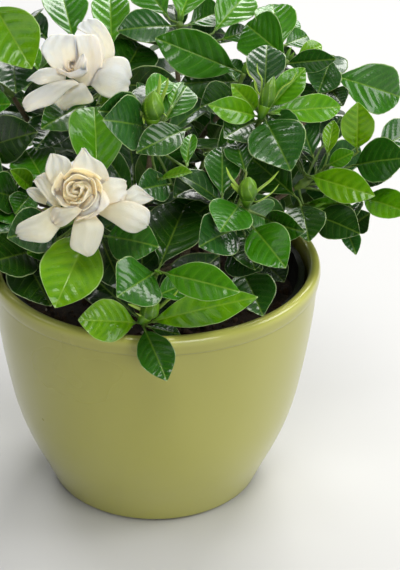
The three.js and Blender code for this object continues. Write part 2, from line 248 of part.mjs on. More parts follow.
    [[44.9,79.4,212.7],[43.8,78.5,214.1],[42.5,86.1,244.6],[0.78,0.61,-0.12],12.9,0.114,15.9,1.6,1],
    [[45.7,80.7,214.0],[46.7,81.6,212.5],[65.8,106.6,217.2],[-0.16,-0.07,0.99],14.5,0.125,19.1,3.8,1],
    [[45.0,79.5,212.8],[45.9,76.7,214.9],[63.4,71.0,246.2],[-0.82,-0.44,0.38],19.5,0.084,13.3,-7.6,2],
  ] },
  { name: "leafy_shoot_21", twig: [[74.3,24.0,154.8],[83.1,26.3,156.1],[94.1,29.3,157.7]], leaves: [
    [[79.3,25.3,155.5],[79.5,23.9,157.0],[97.4,-10.9,186.2],[0.72,0.62,0.3],25.2,0.112,13.3,-5.5,1],
    [[81.2,25.8,155.8],[80.7,27.3,157.1],[55.1,67.7,181.7],[0.82,0.2,0.53],27.5,0.12,11.6,1.3,1],
    [[83.1,26.3,156.1],[83.5,24.5,156.9],[120.4,-3.6,170.2],[0.45,0.79,0.42],20.5,0.112,10.1,9.1,1],
    [[85.0,26.9,156.4],[84.5,27.8,158.0],[90.8,55.2,191.9],[0.96,-0.27,0.04],20.3,0.096,14.3,9.6,1],
    [[88.9,27.9,156.9],[89.1,26.3,158.1],[121.0,12.3,175.7],[0.24,0.92,0.3],16.0,0.091,18.0,7.0,1],
    [[90.8,28.4,157.2],[90.3,29.5,158.8],[111.1,50.9,180.6],[0.71,-0.71,0.02],16.3,0.125,13.9,4.1,1],
    [[92.7,28.9,157.5],[93.2,27.7,156.0],[124.4,23.4,146.4],[0.32,0.36,0.88],14.4,0.129,18.8,-2.0,1],
    [[89.7,28.1,157.0],[89.1,27.6,160.5],[93.6,24.1,202.5],[0.13,-0.99,-0.09],22.4,0.108,12.0,7.2,2],
  ] },
  { name: "leafy_shoot_22", twig: [[-76.4,-2.7,154.0],[-85.5,-3.5,155.2],[-96.9,-4.5,156.6]], leaves: [
    [[-81.6,-3.2,154.6],[-81.3,-3.1,156.6],[-77.3,-2.8,205.2],[-0.99,-0.09,0.08],28.7,0.138,9.3,5.0,1],
    [[-85.5,-3.5,155.2],[-85.7,-1.5,155.4],[-119.9,44.9,156.8],[-0.64,-0.49,0.59],29.2,0.097,15.3,1.1,1],
    [[-87.5,-3.7,155.4],[-87.4,-5.6,155.0],[-106.0,-43.1,144.5],[-0.75,0.2,0.64],20.6,0.09,15.1,-0.3,1],
    [[-89.5,-3.9,155.7],[-89.8,-2.5,154.3],[-128.3,12.8,134.3],[-0.52,-0.25,0.82],20.1,0.116,14.9,3.6,1],
    [[-91.4,-4.0,155.9],[-91.2,-4.0,157.9],[-122.9,-6.6,187.6],[-0.68,-0.08,-0.73],20.0,0.085,14.6,7.6,1],
    [[-93.4,-4.2,156.2],[-93.2,-6.2,156.1],[-121.6,-32.6,157.7],[-0.47,0.54,0.7],17.1,0.125,15.5,-4.1,1],
    [[-95.4,-4.4,156.4],[-95.5,-2.4,156.7],[-126.0,7.8,162.5],[-0.08,-0.66,0.74],14.4,0.107,15.3,2.3,1],
  ] },
  { name: "leafy_shoot_23", twig: [[-46.9,68.7,179.5],[-51.8,75.4,183.5],[-57.8,83.8,188.6]], leaves: [
    [[-49.7,72.5,181.8],[-50.7,71.1,182.8],[-74.0,28.7,194.7],[-0.46,0.46,0.76],25.4,0.113,8.9,1.9,1],
    [[-50.7,74.0,182.7],[-49.0,74.9,183.0],[-8.6,103.7,187.2],[-0.45,0.53,0.72],24.3,0.103,11.0,-9.5,1],
    [[-51.8,75.4,183.5],[-51.3,74.6,185.3],[-49.2,67.5,223.8],[-0.54,0.82,0.18],21.1,0.103,10.3,-6.5,1],
    [[-52.8,76.9,184.4],[-53.3,77.6,182.6],[-75.3,112.2,149.8],[-0.37,0.5,0.78],24.3,0.137,12.1,-1.6,1],
    [[-53.9,78.3,185.3],[-52.2,79.4,185.4],[-40.3,122.5,197.1],[-0.7,0.0,0.72],20.7,0.128,15.3,-6.7,1],
    [[-54.9,79.8,186.2],[-56.5,78.6,186.3],[-93.2,82.8,197.8],[0.3,0.65,0.7],15.4,0.128,13.2,4.1,1],
    [[-56.0,81.2,187.1],[-56.8,81.7,185.3],[-83.4,108.4,173.8],[-0.12,0.29,0.95],16.1,0.105,14.4,-0.2,1],
    [[-57.0,82.7,188.0],[-58.3,81.3,188.7],[-80.7,93.8,205.6],[0.68,0.47,0.56],13.0,0.133,16.8,9.0,1],
  ] },
  { name: "leafy_shoot_24", twig: [[-75.3,8.4,199.8],[-82.3,8.8,205.7],[-91.1,9.3,213.1]], leaves: [
    [[-79.3,8.6,203.1],[-80.4,9.4,201.7],[-131.2,28.9,174.1],[-0.48,0.0,0.88],25.9,0.141,12.3,-8.5,1],
    [[-80.8,8.7,204.4],[-81.2,6.8,204.1],[-88.0,-41.4,184.6],[-0.61,-0.22,0.76],27.1,0.099,14.4,-7.4,1],
    [[-82.3,8.8,205.7],[-83.2,7.3,204.8],[-117.4,-26.6,184.3],[-0.54,0.04,0.84],23.1,0.126,11.6,0.8,1],
  ] },
  { name: "leafy_shoot_25", twig: [[65.8,44.3,194.9],[72.1,48.1,200.4],[79.9,52.9,207.3]], leaves: [
    [[69.3,46.5,198.0],[70.8,45.6,196.9],[127.8,40.0,175.9],[0.36,0.33,0.88],29.3,0.125,13.5,1.4,1],
    [[70.7,47.3,199.2],[69.9,46.3,200.7],[65.0,29.7,238.6],[0.68,0.63,0.37],23.1,0.136,9.2,8.3,1],
    [[72.1,48.1,200.4],[72.4,49.6,199.0],[103.1,89.0,188.2],[0.3,0.03,0.95],25.0,0.092,15.5,9.5,1],
  ] },
  { name: "leafy_shoot_26", twig: [[-57.4,41.1,213.4],[-62.5,44.4,220.3],[-68.8,48.4,229.1]], leaves: [
    [[-60.3,43.0,217.3],[-58.6,43.8,218.1],[-21.0,72.6,236.9],[-0.53,0.15,0.83],28.2,0.115,10.0,-7.2,1],
    [[-61.4,43.7,218.8],[-61.2,41.9,219.8],[-63.1,4.1,243.8],[-0.39,0.51,0.77],22.7,0.141,12.5,-3.4,1],
    [[-62.5,44.4,220.3],[-62.8,46.1,219.3],[-79.4,86.5,206.6],[-0.35,0.15,0.93],19.1,0.105,15.0,-4.2,1],
    [[-63.6,45.1,221.9],[-62.6,43.9,223.1],[-54.9,26.0,267.3],[-0.65,0.66,0.38],23.7,0.101,12.2,9.7,1],
    [[-64.7,45.8,223.4],[-66.3,44.8,222.7],[-103.8,42.0,231.4],[0.19,0.35,0.92],16.2,0.127,13.3,-8.7,1],
    [[-65.8,46.5,224.9],[-64.3,47.8,225.3],[-58.2,73.6,247.8],[-0.7,-0.36,0.61],16.8,0.113,14.4,1.7,1],
    [[-66.9,47.2,226.4],[-65.8,46.1,227.7],[-67.3,41.3,265.6],[-0.7,0.71,0.06],16.8,0.119,19.0,4.1,1],
    [[-67.9,47.9,227.9],[-68.4,49.5,226.8],[-88.0,75.2,237.6],[0.02,-0.38,0.93],13.0,0.117,14.5,4.6,1],
    [[-62.0,44.0,219.6],[-64.7,45.4,217.6],[-108.3,69.3,215.0],[-0.2,-0.25,0.95],26.7,0.095,8.5,7.4,2],
    [[-67.6,47.7,227.5],[-70.3,49.0,225.1],[-116.0,73.2,220.9],[-0.19,-0.19,0.96],26.9,0.105,8.3,-3.2,2],
  ] },
  { name: "leafy_shoot_27", twig: [[16.4,82.3,171.5],[18.2,90.7,174.7],[20.4,101.3,178.8]], leaves: [
    [[17.8,88.9,174.0],[15.8,89.2,174.3],[-27.5,130.1,185.1],[0.59,0.45,0.67],28.0,0.132,13.1,-4.0,1],
    [[18.2,90.7,174.7],[20.0,90.7,173.8],[68.2,114.2,150.6],[0.03,0.67,0.74],27.6,0.094,10.1,-4.6,1],
    [[18.6,92.6,175.4],[16.9,92.4,176.6],[-14.2,116.8,205.6],[0.76,0.53,0.38],23.4,0.106,14.3,-4.8,1],
    [[19.0,94.4,176.1],[18.2,95.2,174.5],[11.0,127.9,152.6],[0.19,0.58,0.8],16.5,0.12,15.4,3.7,1],
    [[19.3,96.2,176.8],[19.5,95.5,178.7],[28.3,116.8,210.0],[-0.3,0.83,-0.48],18.2,0.12,12.6,8.2,1],
    [[19.7,98.1,177.5],[18.0,98.1,178.5],[-6.4,120.2,200.6],[0.79,0.47,0.4],18.1,0.139,15.4,-4.6,1],
    [[20.1,99.9,178.2],[21.7,100.0,177.0],[38.4,126.7,178.2],[-0.33,0.17,0.93],11.9,0.137,14.2,-4.2,1],
    [[19.7,98.2,177.6],[23.5,95.8,181.3],[42.4,100.5,201.8],[-0.47,-0.66,0.58],15.4,0.103,13.0,-4.6,2],
  ] },
  { name: "leafy_shoot_28", twig: [[2.0,2.0,212.8],[2.0,2.0,222.0],[2.0,2.0,233.5]], leaves: [
    [[2.0,2.0,218.0],[3.8,1.0,218.0],[46.5,-22.3,225.3],[-0.13,0.07,0.99],22.3,0.12,8.7,8.7,2],
    [[2.0,2.0,220.8],[0.6,3.4,220.8],[-33.1,38.3,232.3],[0.16,-0.17,0.97],26.9,0.105,12.7,-8.2,2],
    [[2.0,2.0,223.6],[3.6,3.1,223.6],[38.6,27.5,241.7],[-0.32,-0.22,0.92],20.8,0.08,10.9,-7.6,2],
    [[2.0,2.0,226.4],[0.2,1.2,226.4],[-26.1,-9.6,248.1],[0.56,0.23,0.79],16.2,0.104,14.7,-4.1,2],
    [[2.0,2.0,229.2],[0.8,3.6,229.2],[-10.9,20.3,253.6],[0.44,-0.63,0.64],13.4,0.116,17.0,-7.6,2],
    [[2.0,2.0,232.0],[2.7,0.1,232.0],[8.2,-14.3,260.0],[-0.31,0.82,0.48],12.5,0.136,19.2,1.3,2],
  ] },
  { name: "leafy_shoot_29", twig: [[27.1,16.8,198.8],[30.4,19.3,207.1],[34.5,22.4,217.3]], leaves: [
    [[29.0,18.2,203.5],[28.6,20.2,203.1],[23.3,66.8,189.7],[0.23,0.29,0.93],22.0,0.148,9.5,-8.1,2],
    [[30.0,19.0,206.0],[29.9,17.1,206.6],[31.6,-21.4,217.7],[0.24,0.28,0.93],20.5,0.082,14.1,-8.6,2],
    [[31.0,19.7,208.5],[29.1,20.2,209.1],[3.3,33.4,232.1],[0.67,0.01,0.74],18.0,0.087,10.4,-7.8,2],
    [[32.0,20.5,211.0],[33.8,20.8,210.2],[70.0,32.8,216.4],[-0.19,0.05,0.98],18.8,0.102,12.5,7.3,2],
    [[33.0,21.2,213.5],[32.9,19.3,214.1],[38.0,-0.2,234.8],[0.17,0.74,0.65],12.8,0.113,15.9,-6.7,2],
    [[34.0,22.0,216.0],[33.9,23.9,215.5],[41.3,44.7,231.6],[0.06,-0.62,0.78],11.5,0.149,19.5,-9.7,2],
    [[29.9,18.9,205.7],[28.3,15.8,206.3],[19.7,-3.3,212.7],[0.4,0.12,0.91],11.5,0.08,13.0,-3.9,2],
  ] },
  { name: "leafy_shoot_30", twig: [[-29.0,16.5,196.5],[-32.3,18.2,204.9],[-36.5,20.3,215.4]], leaves: [
    [[-30.9,17.4,201.2],[-30.5,19.4,201.0],[-25.6,65.7,196.3],[-0.25,0.12,0.96],22.4,0.115,12.7,9.4,2],
    [[-31.9,18.0,203.8],[-32.7,16.1,203.8],[-54.9,-17.6,216.4],[-0.09,0.4,0.91],22.5,0.128,12.5,9.0,2],
    [[-32.9,18.5,206.3],[-34.7,18.9,205.5],[-77.7,31.1,204.6],[-0.01,0.06,1.0],20.1,0.126,14.8,5.2,2],
    [[-34.0,19.0,208.9],[-32.2,19.9,209.4],[-3.2,40.4,229.2],[-0.53,-0.06,0.84],19.4,0.131,16.0,-2.5,2],
    [[-35.0,19.5,211.4],[-35.5,17.6,211.6],[-51.9,5.6,239.6],[0.3,0.8,0.52],14.0,0.1,17.1,5.7,2],
    [[-36.0,20.0,214.0],[-35.4,21.9,213.8],[-40.3,42.5,236.3],[-0.21,-0.74,0.64],12.4,0.09,14.8,-8.2,2],
  ] },
  { name: "leafy_shoot_31", twig: [[4.0,42.1,197.5],[4.0,46.9,205.4],[4.0,52.8,215.3]], leaves: [
    [[4.0,44.8,202.0],[6.0,45.0,201.9],[49.5,47.3,184.3],[0.33,0.39,0.86],22.4,0.097,9.0,-8.6,2],
    [[4.0,46.2,204.4],[2.0,46.0,204.6],[-38.5,50.0,214.8],[0.26,0.34,0.9],18.7,0.14,13.0,4.3,2],
    [[4.0,47.7,206.8],[4.0,49.4,205.8],[4.8,95.8,197.7],[-0.0,0.17,0.99],19.4,0.147,11.3,1.6,2],
    [[4.0,49.1,209.2],[4.0,47.4,210.2],[3.5,36.2,244.6],[0.02,0.95,0.31],16.5,0.104,14.5,-1.6,2],
    [[4.0,50.6,211.6],[2.0,50.2,211.8],[-17.2,58.6,232.5],[0.76,0.21,0.62],12.9,0.091,14.7,-0.3,2],
    [[4.0,52.0,214.0],[5.9,52.4,213.7],[20.8,67.1,230.4],[-0.69,-0.12,0.72],10.8,0.099,16.0,3.9,2],
  ] },
  { name: "leafy_shoot_32", twig: [[-10.3,-25.4,188.9],[-11.1,-29.5,197.1],[-12.1,-34.7,207.3]], leaves: [
    [[-10.8,-27.8,193.5],[-12.4,-28.8,192.9],[-49.6,-55.5,174.4],[-0.17,-0.39,0.91],22.2,0.121,9.4,-9.0,2],
    [[-11.0,-29.0,196.0],[-9.5,-27.9,196.7],[23.3,-10.1,213.8],[-0.24,-0.41,0.88],18.7,0.089,10.9,-4.6,2],
    [[-11.3,-30.3,198.5],[-9.8,-31.5,198.0],[16.9,-59.7,192.8],[-0.1,-0.27,0.96],16.3,0.088,14.0,-1.7,2],
    [[-11.5,-31.5,201.0],[-12.7,-30.0,201.6],[-33.8,-16.6,229.1],[0.38,-0.68,0.62],16.3,0.091,14.7,-3.6,2],
    [[-11.8,-32.8,203.5],[-10.6,-31.3,204.3],[2.5,-21.3,231.4],[-0.48,-0.72,0.5],14.6,0.086,18.4,-3.2,2],
    [[-12.0,-34.0,206.0],[-13.3,-35.3,205.2],[-27.6,-58.5,222.5],[0.42,0.36,0.83],12.6,0.093,19.9,9.8,2],
    [[-11.2,-30.0,198.1],[-6.7,-29.7,198.3],[18.7,-34.8,211.7],[-0.48,-0.52,0.71],16.7,0.106,13.4,1.1,2],
    [[-11.4,-31.2,200.4],[-12.1,-27.1,204.4],[-16.3,7.4,226.9],[0.13,-0.53,0.84],20.1,0.125,13.1,3.1,2],
  ] },
  { name: "leafy_shoot_33", twig: [[33.3,-19.3,189.3],[36.5,-22.5,197.3],[40.5,-26.5,207.3]], leaves: [
    [[35.1,-21.1,193.8],[35.7,-22.8,192.9],[52.6,-63.1,169.5],[0.3,-0.38,0.87],23.3,0.093,11.4,4.0,2],
    [[36.1,-22.1,196.3],[34.5,-23.2,196.5],[9.6,-46.2,218.3],[0.76,-0.25,0.6],19.0,0.082,12.2,-6.7,2],
    [[37.1,-23.1,198.7],[38.2,-24.4,197.7],[61.0,-57.0,186.7],[0.33,-0.08,0.94],20.4,0.144,12.0,-9.6,2],
    [[38.1,-24.1,201.1],[37.8,-22.2,201.9],[41.3,-0.3,237.5],[0.54,-0.74,0.4],18.2,0.092,13.5,-0.3,2],
    [[39.0,-25.0,203.6],[37.2,-25.3,204.2],[26.7,-37.7,233.7],[0.92,0.13,0.38],13.5,0.109,18.0,9.0,2],
    [[40.2,-26.2,206.4],[37.7,-29.0,207.4],[9.9,-63.0,218.7],[0.41,-0.03,0.91],25.1,0.129,10.0,5.1,2],
    [[36.1,-22.1,196.2],[32.2,-24.8,196.8],[4.5,-40.7,195.0],[0.25,-0.52,0.82],18.2,0.125,13.8,0.8,2],
    [[39.6,-25.6,205.1],[41.7,-29.1,203.1],[56.4,-50.3,202.8],[-0.24,-0.18,0.95],14.0,0.119,11.7,6.0,2],
    [[40.2,-26.2,206.4],[38.8,-29.3,205.0],[36.6,-60.0,212.2],[-0.19,0.24,0.95],17.1,0.127,13.1,3.8,2],
    [[38.0,-24.0,201.1],[34.8,-27.0,199.2],[16.4,-49.7,193.9],[0.06,-0.27,0.96],16.5,0.083,13.8,1.5,2],
    [[38.3,-24.3,201.7],[42.9,-24.3,200.3],[76.4,-22.8,183.2],[0.36,-0.66,0.66],18.9,0.087,9.6,3.6,2],
    [[40.0,-26.0,205.9],[39.8,-31.8,204.5],[43.6,-53.1,210.2],[-0.41,0.17,0.9],13.1,0.126,12.6,0.8,2],
  ] },
  { name: "leafy_shoot_34", twig: [[-38.3,-12.8,183.8],[-42.9,-14.3,191.5],[-48.8,-16.3,201.3]], leaves: [
    [[-40.9,-13.6,188.2],[-40.7,-15.6,187.9],[-45.2,-63.1,182.6],[-0.35,-0.07,0.94],23.9,0.138,12.5,-3.4,2],
    [[-43.7,-14.6,192.9],[-42.0,-15.0,193.8],[-31.6,-27.7,229.5],[-0.91,0.22,0.35],17.7,0.114,13.5,-1.1,2],
    [[-45.2,-15.1,195.3],[-46.9,-15.2,194.2],[-85.8,-20.9,195.6],[0.05,-0.06,1.0],17.5,0.14,16.5,7.0,2],
    [[-46.6,-15.5,197.6],[-47.7,-13.9,197.3],[-76.2,6.6,210.9],[0.07,-0.49,0.87],15.8,0.127,16.3,6.0,2],
    [[-48.0,-16.0,200.0],[-47.8,-18.0,199.7],[-58.4,-35.2,218.0],[-0.05,0.74,0.67],10.9,0.091,19.4,7.8,2],
  ] },
  { name: "leafy_shoot_35", twig: [[47.7,31.4,182.3],[52.6,35.5,188.8],[58.8,40.7,197.1]], leaves: [
    [[50.5,33.7,186.0],[48.9,33.8,187.1],[18.9,44.7,218.6],[0.74,0.24,0.63],25.6,0.132,10.5,-8.5,2],
    [[52.0,35.0,188.0],[52.6,36.3,186.7],[81.9,73.4,182.2],[0.15,0.0,0.99],21.5,0.133,12.3,-7.7,2],
    [[53.5,36.2,190.0],[53.9,34.5,190.8],[73.7,15.6,213.3],[0.06,0.79,0.61],17.8,0.098,13.4,9.8,2],
    [[55.0,37.5,192.0],[55.0,39.2,191.0],[68.8,76.3,190.3],[0.26,-0.08,0.96],16.2,0.148,14.1,-5.0,2],
    [[58.0,40.0,196.0],[56.3,40.3,197.0],[58.4,53.2,220.8],[0.92,-0.38,0.12],11.8,0.088,15.6,4.5,2],
  ] },
];
// woody stems: [points along the axis, radius at the root end, radius at the far end]
const STEMS = [
  { name: "stem_1", tubes: [
    [[[-8.9,-24.4,112.0],[-9.4,-25.6,128.6],[-10.5,-28.5,141.2],[-12.1,-32.7,152.8],[-13.7,-37.6,166.0]],3.6,2.5],
    [[[-13.7,-37.6,166.0],[-13.4,-38.8,174.0],[-20.4,-31.6,183.2],[-29.5,-29.4,192.0],[-35.7,-45.5,199.2]],2.1,1.45],
    [[[-13.7,-37.6,166.0],[-12.6,-38.9,179.8],[-8.6,-37.6,199.0],[-4.4,-37.0,219.5],[-2.6,-40.2,237.4]],2.1,1.45],
    [[[-13.7,-37.6,166.0],[-13.0,-42.2,165.7],[-10.0,-49.0,153.5],[-7.0,-58.2,141.2],[-6.0,-70.0,141.0]],2.1,1.45],
    [[[-12.1,-32.7,152.8],[-12.4,-37.4,156.0],[0.1,-46.8,164.9],[9.9,-61.2,175.0],[1.1,-80.7,181.8]],2.1,1.45],
    [[[-13.7,-37.6,166.0],[-13.5,-36.3,172.2],[-11.8,-29.5,174.6],[-10.2,-23.6,178.3],[-10.2,-25.1,188.2]],2.1,1.45],
  ] },
  { name: "stem_2", tubes: [
    [[[24.7,-8.0,112.0],[26.4,-8.5,128.6],[30.3,-9.7,141.2],[34.7,-11.1,152.8],[38.0,-12.4,166.0]],3.6,2.5],
    [[[38.0,-12.4,166.0],[37.9,-14.6,175.0],[41.2,-17.7,189.6],[46.3,-19.4,208.5],[51.3,-17.1,230.8]],2.1,1.45],
    [[[34.7,-11.1,152.8],[27.1,-16.0,167.4],[25.4,-27.4,179.6],[30.1,-42.6,190.9],[41.8,-58.5,202.7]],2.1,1.45],
    [[[38.0,-12.4,166.0],[43.8,-10.6,174.2],[54.6,-5.7,180.0],[68.1,-0.6,185.7],[82.1,1.5,193.4]],2.1,1.45],
    [[[38.0,-12.4,166.0],[42.5,-12.4,172.5],[50.3,-11.7,174.2],[61.1,-11.6,175.3],[74.3,-13.5,179.8]],2.1,1.45],
    [[[38.0,-12.4,166.0],[37.6,-12.9,172.5],[33.9,-13.3,175.2],[31.1,-14.9,178.9],[33.0,-19.0,188.6]],2.1,1.45],
  ] },
  { name: "stem_3", tubes: [
    [[[16.0,20.5,112.0],[16.7,20.8,128.6],[18.5,22.2,141.2],[21.3,25.5,152.8],[24.6,31.5,166.0]],3.6,2.5],
    [[[21.3,25.5,152.8],[26.2,31.6,175.3],[34.2,34.1,199.9],[47.5,34.8,223.2],[68.2,35.3,242.0]],2.1,1.45],
    [[[24.6,31.5,166.0],[32.2,28.6,170.4],[51.9,26.2,184.4],[75.1,26.3,205.4],[93.4,30.5,231.0]],2.1,1.45],
    [[[24.6,31.5,166.0],[23.0,31.0,181.0],[23.0,30.5,201.0],[32.0,31.0,221.0],[44.4,30.1,234.1]],2.1,1.45],
    [[[24.6,31.5,166.0],[23.9,36.2,182.5],[19.2,41.3,208.3],[14.4,46.8,235.7],[12.9,52.3,256.9]],2.1,1.45],
    [[[24.6,31.5,166.0],[28.0,36.1,168.9],[33.6,41.8,163.5],[41.3,49.5,156.2],[51.2,59.9,153.7]],2.1,1.45],
    [[[24.6,31.5,166.0],[26.8,37.6,174.6],[29.3,46.4,182.7],[32.7,56.9,191.0],[38.0,67.7,200.8]],2.1,1.45],
    [[[24.6,31.5,166.0],[30.6,31.9,169.0],[42.4,27.7,163.9],[57.5,23.4,156.9],[73.6,23.8,154.7]],2.1,1.45],
    [[[21.3,25.5,152.8],[27.5,33.7,165.8],[36.4,38.5,177.0],[48.6,41.4,186.4],[65.2,43.9,194.4]],2.1,1.45],
    [[[24.6,31.5,166.0],[24.1,38.9,171.0],[20.0,51.1,170.3],[16.2,66.0,168.9],[16.3,81.6,171.2]],2.1,1.45],
    [[[24.6,31.5,166.0],[22.4,29.3,175.3],[14.5,18.9,185.4],[6.0,7.4,197.3],[2.0,2.0,212.0]],2.1,1.45],
    [[[24.6,31.5,166.0],[25.2,30.8,173.5],[24.0,24.0,179.3],[23.6,17.3,186.5],[26.8,16.6,198.1]],2.1,1.45],
    [[[24.6,31.5,166.0],[22.7,33.9,173.4],[15.5,34.5,179.0],[7.7,36.1,185.8],[4.0,41.7,196.9]],2.1,1.45],
    [[[24.6,31.5,166.0],[27.8,32.5,171.5],[32.7,29.7,172.6],[39.2,27.8,174.3],[47.3,31.1,181.7]],2.1,1.45],
  ] },
  { name: "stem_4", tubes: [
    [[[-14.9,21.3,112.0],[-15.5,22.1,128.6],[-17.2,24.3,141.2],[-19.8,27.9,152.8],[-22.9,32.8,166.0]],3.6,2.5],
    [[[-22.9,32.8,166.0],[-16.0,33.0,184.3],[-12.7,39.8,211.1],[-16.0,44.6,234.2],[-28.4,39.0,241.5]],2.1,1.45],
    [[[-22.9,32.8,166.0],[-22.2,38.9,169.2],[-17.8,49.5,163.9],[-13.6,63.3,156.7],[-13.2,78.9,154.3]],2.1,1.45],
    [[[-22.9,32.8,166.0],[-29.2,34.1,170.6],[-41.3,33.2,168.6],[-56.4,33.1,165.4],[-71.7,36.7,166.3]],2.1,1.45],
    [[[-22.9,32.8,166.0],[-23.2,38.7,175.9],[-21.2,48.2,186.4],[-19.4,59.6,197.4],[-20.5,71.0,209.1]],2.1,1.45],
    [[[-22.9,32.8,166.0],[-26.3,38.0,172.1],[-31.5,46.2,173.7],[-38.4,56.5,174.8],[-46.5,68.1,179.1]],2.1,1.45],
    [[[-22.9,32.8,166.0],[-27.9,34.9,176.4],[-36.6,35.6,187.9],[-47.0,36.9,200.2],[-57.0,40.8,212.8]],2.1,1.45],
    [[[-22.9,32.8,166.0],[-24.0,31.6,173.2],[-24.0,24.8,178.2],[-24.8,17.9,184.4],[-28.7,16.3,195.7]],2.1,1.45],
  ] },
  { name: "stem_5", tubes: [
    [[[-24.4,-8.9,112.0],[-25.2,-8.9,128.6],[-27.5,-9.4,141.2],[-31.6,-10.8,152.8],[-37.6,-13.7,166.0]],3.6,2.5],
    [[[-37.6,-13.7,166.0],[-45.5,-9.0,180.4],[-58.3,4.1,201.4],[-72.3,18.4,223.4],[-83.9,26.5,240.9]],2.1,1.45],
    [[[-37.6,-13.7,166.0],[-42.6,-16.3,173.9],[-49.2,-20.0,180.2],[-57.6,-24.6,186.6],[-68.3,-30.1,195.0]],2.1,1.45],
    [[[-37.6,-13.7,166.0],[-42.9,-12.9,169.0],[-50.6,-8.5,163.6],[-61.3,-3.9,156.4],[-75.6,-2.6,153.9]],2.1,1.45],
    [[[-37.6,-13.7,166.0],[-43.4,-11.5,174.5],[-52.0,-4.1,182.0],[-62.6,4.1,189.9],[-74.7,8.4,199.3]],2.1,1.45],
    [[[-37.6,-13.7,166.0],[-38.5,-14.2,171.3],[-35.7,-12.8,172.3],[-33.9,-11.6,174.3],[-37.9,-12.6,183.1]],2.1,1.45],
  ] },
];
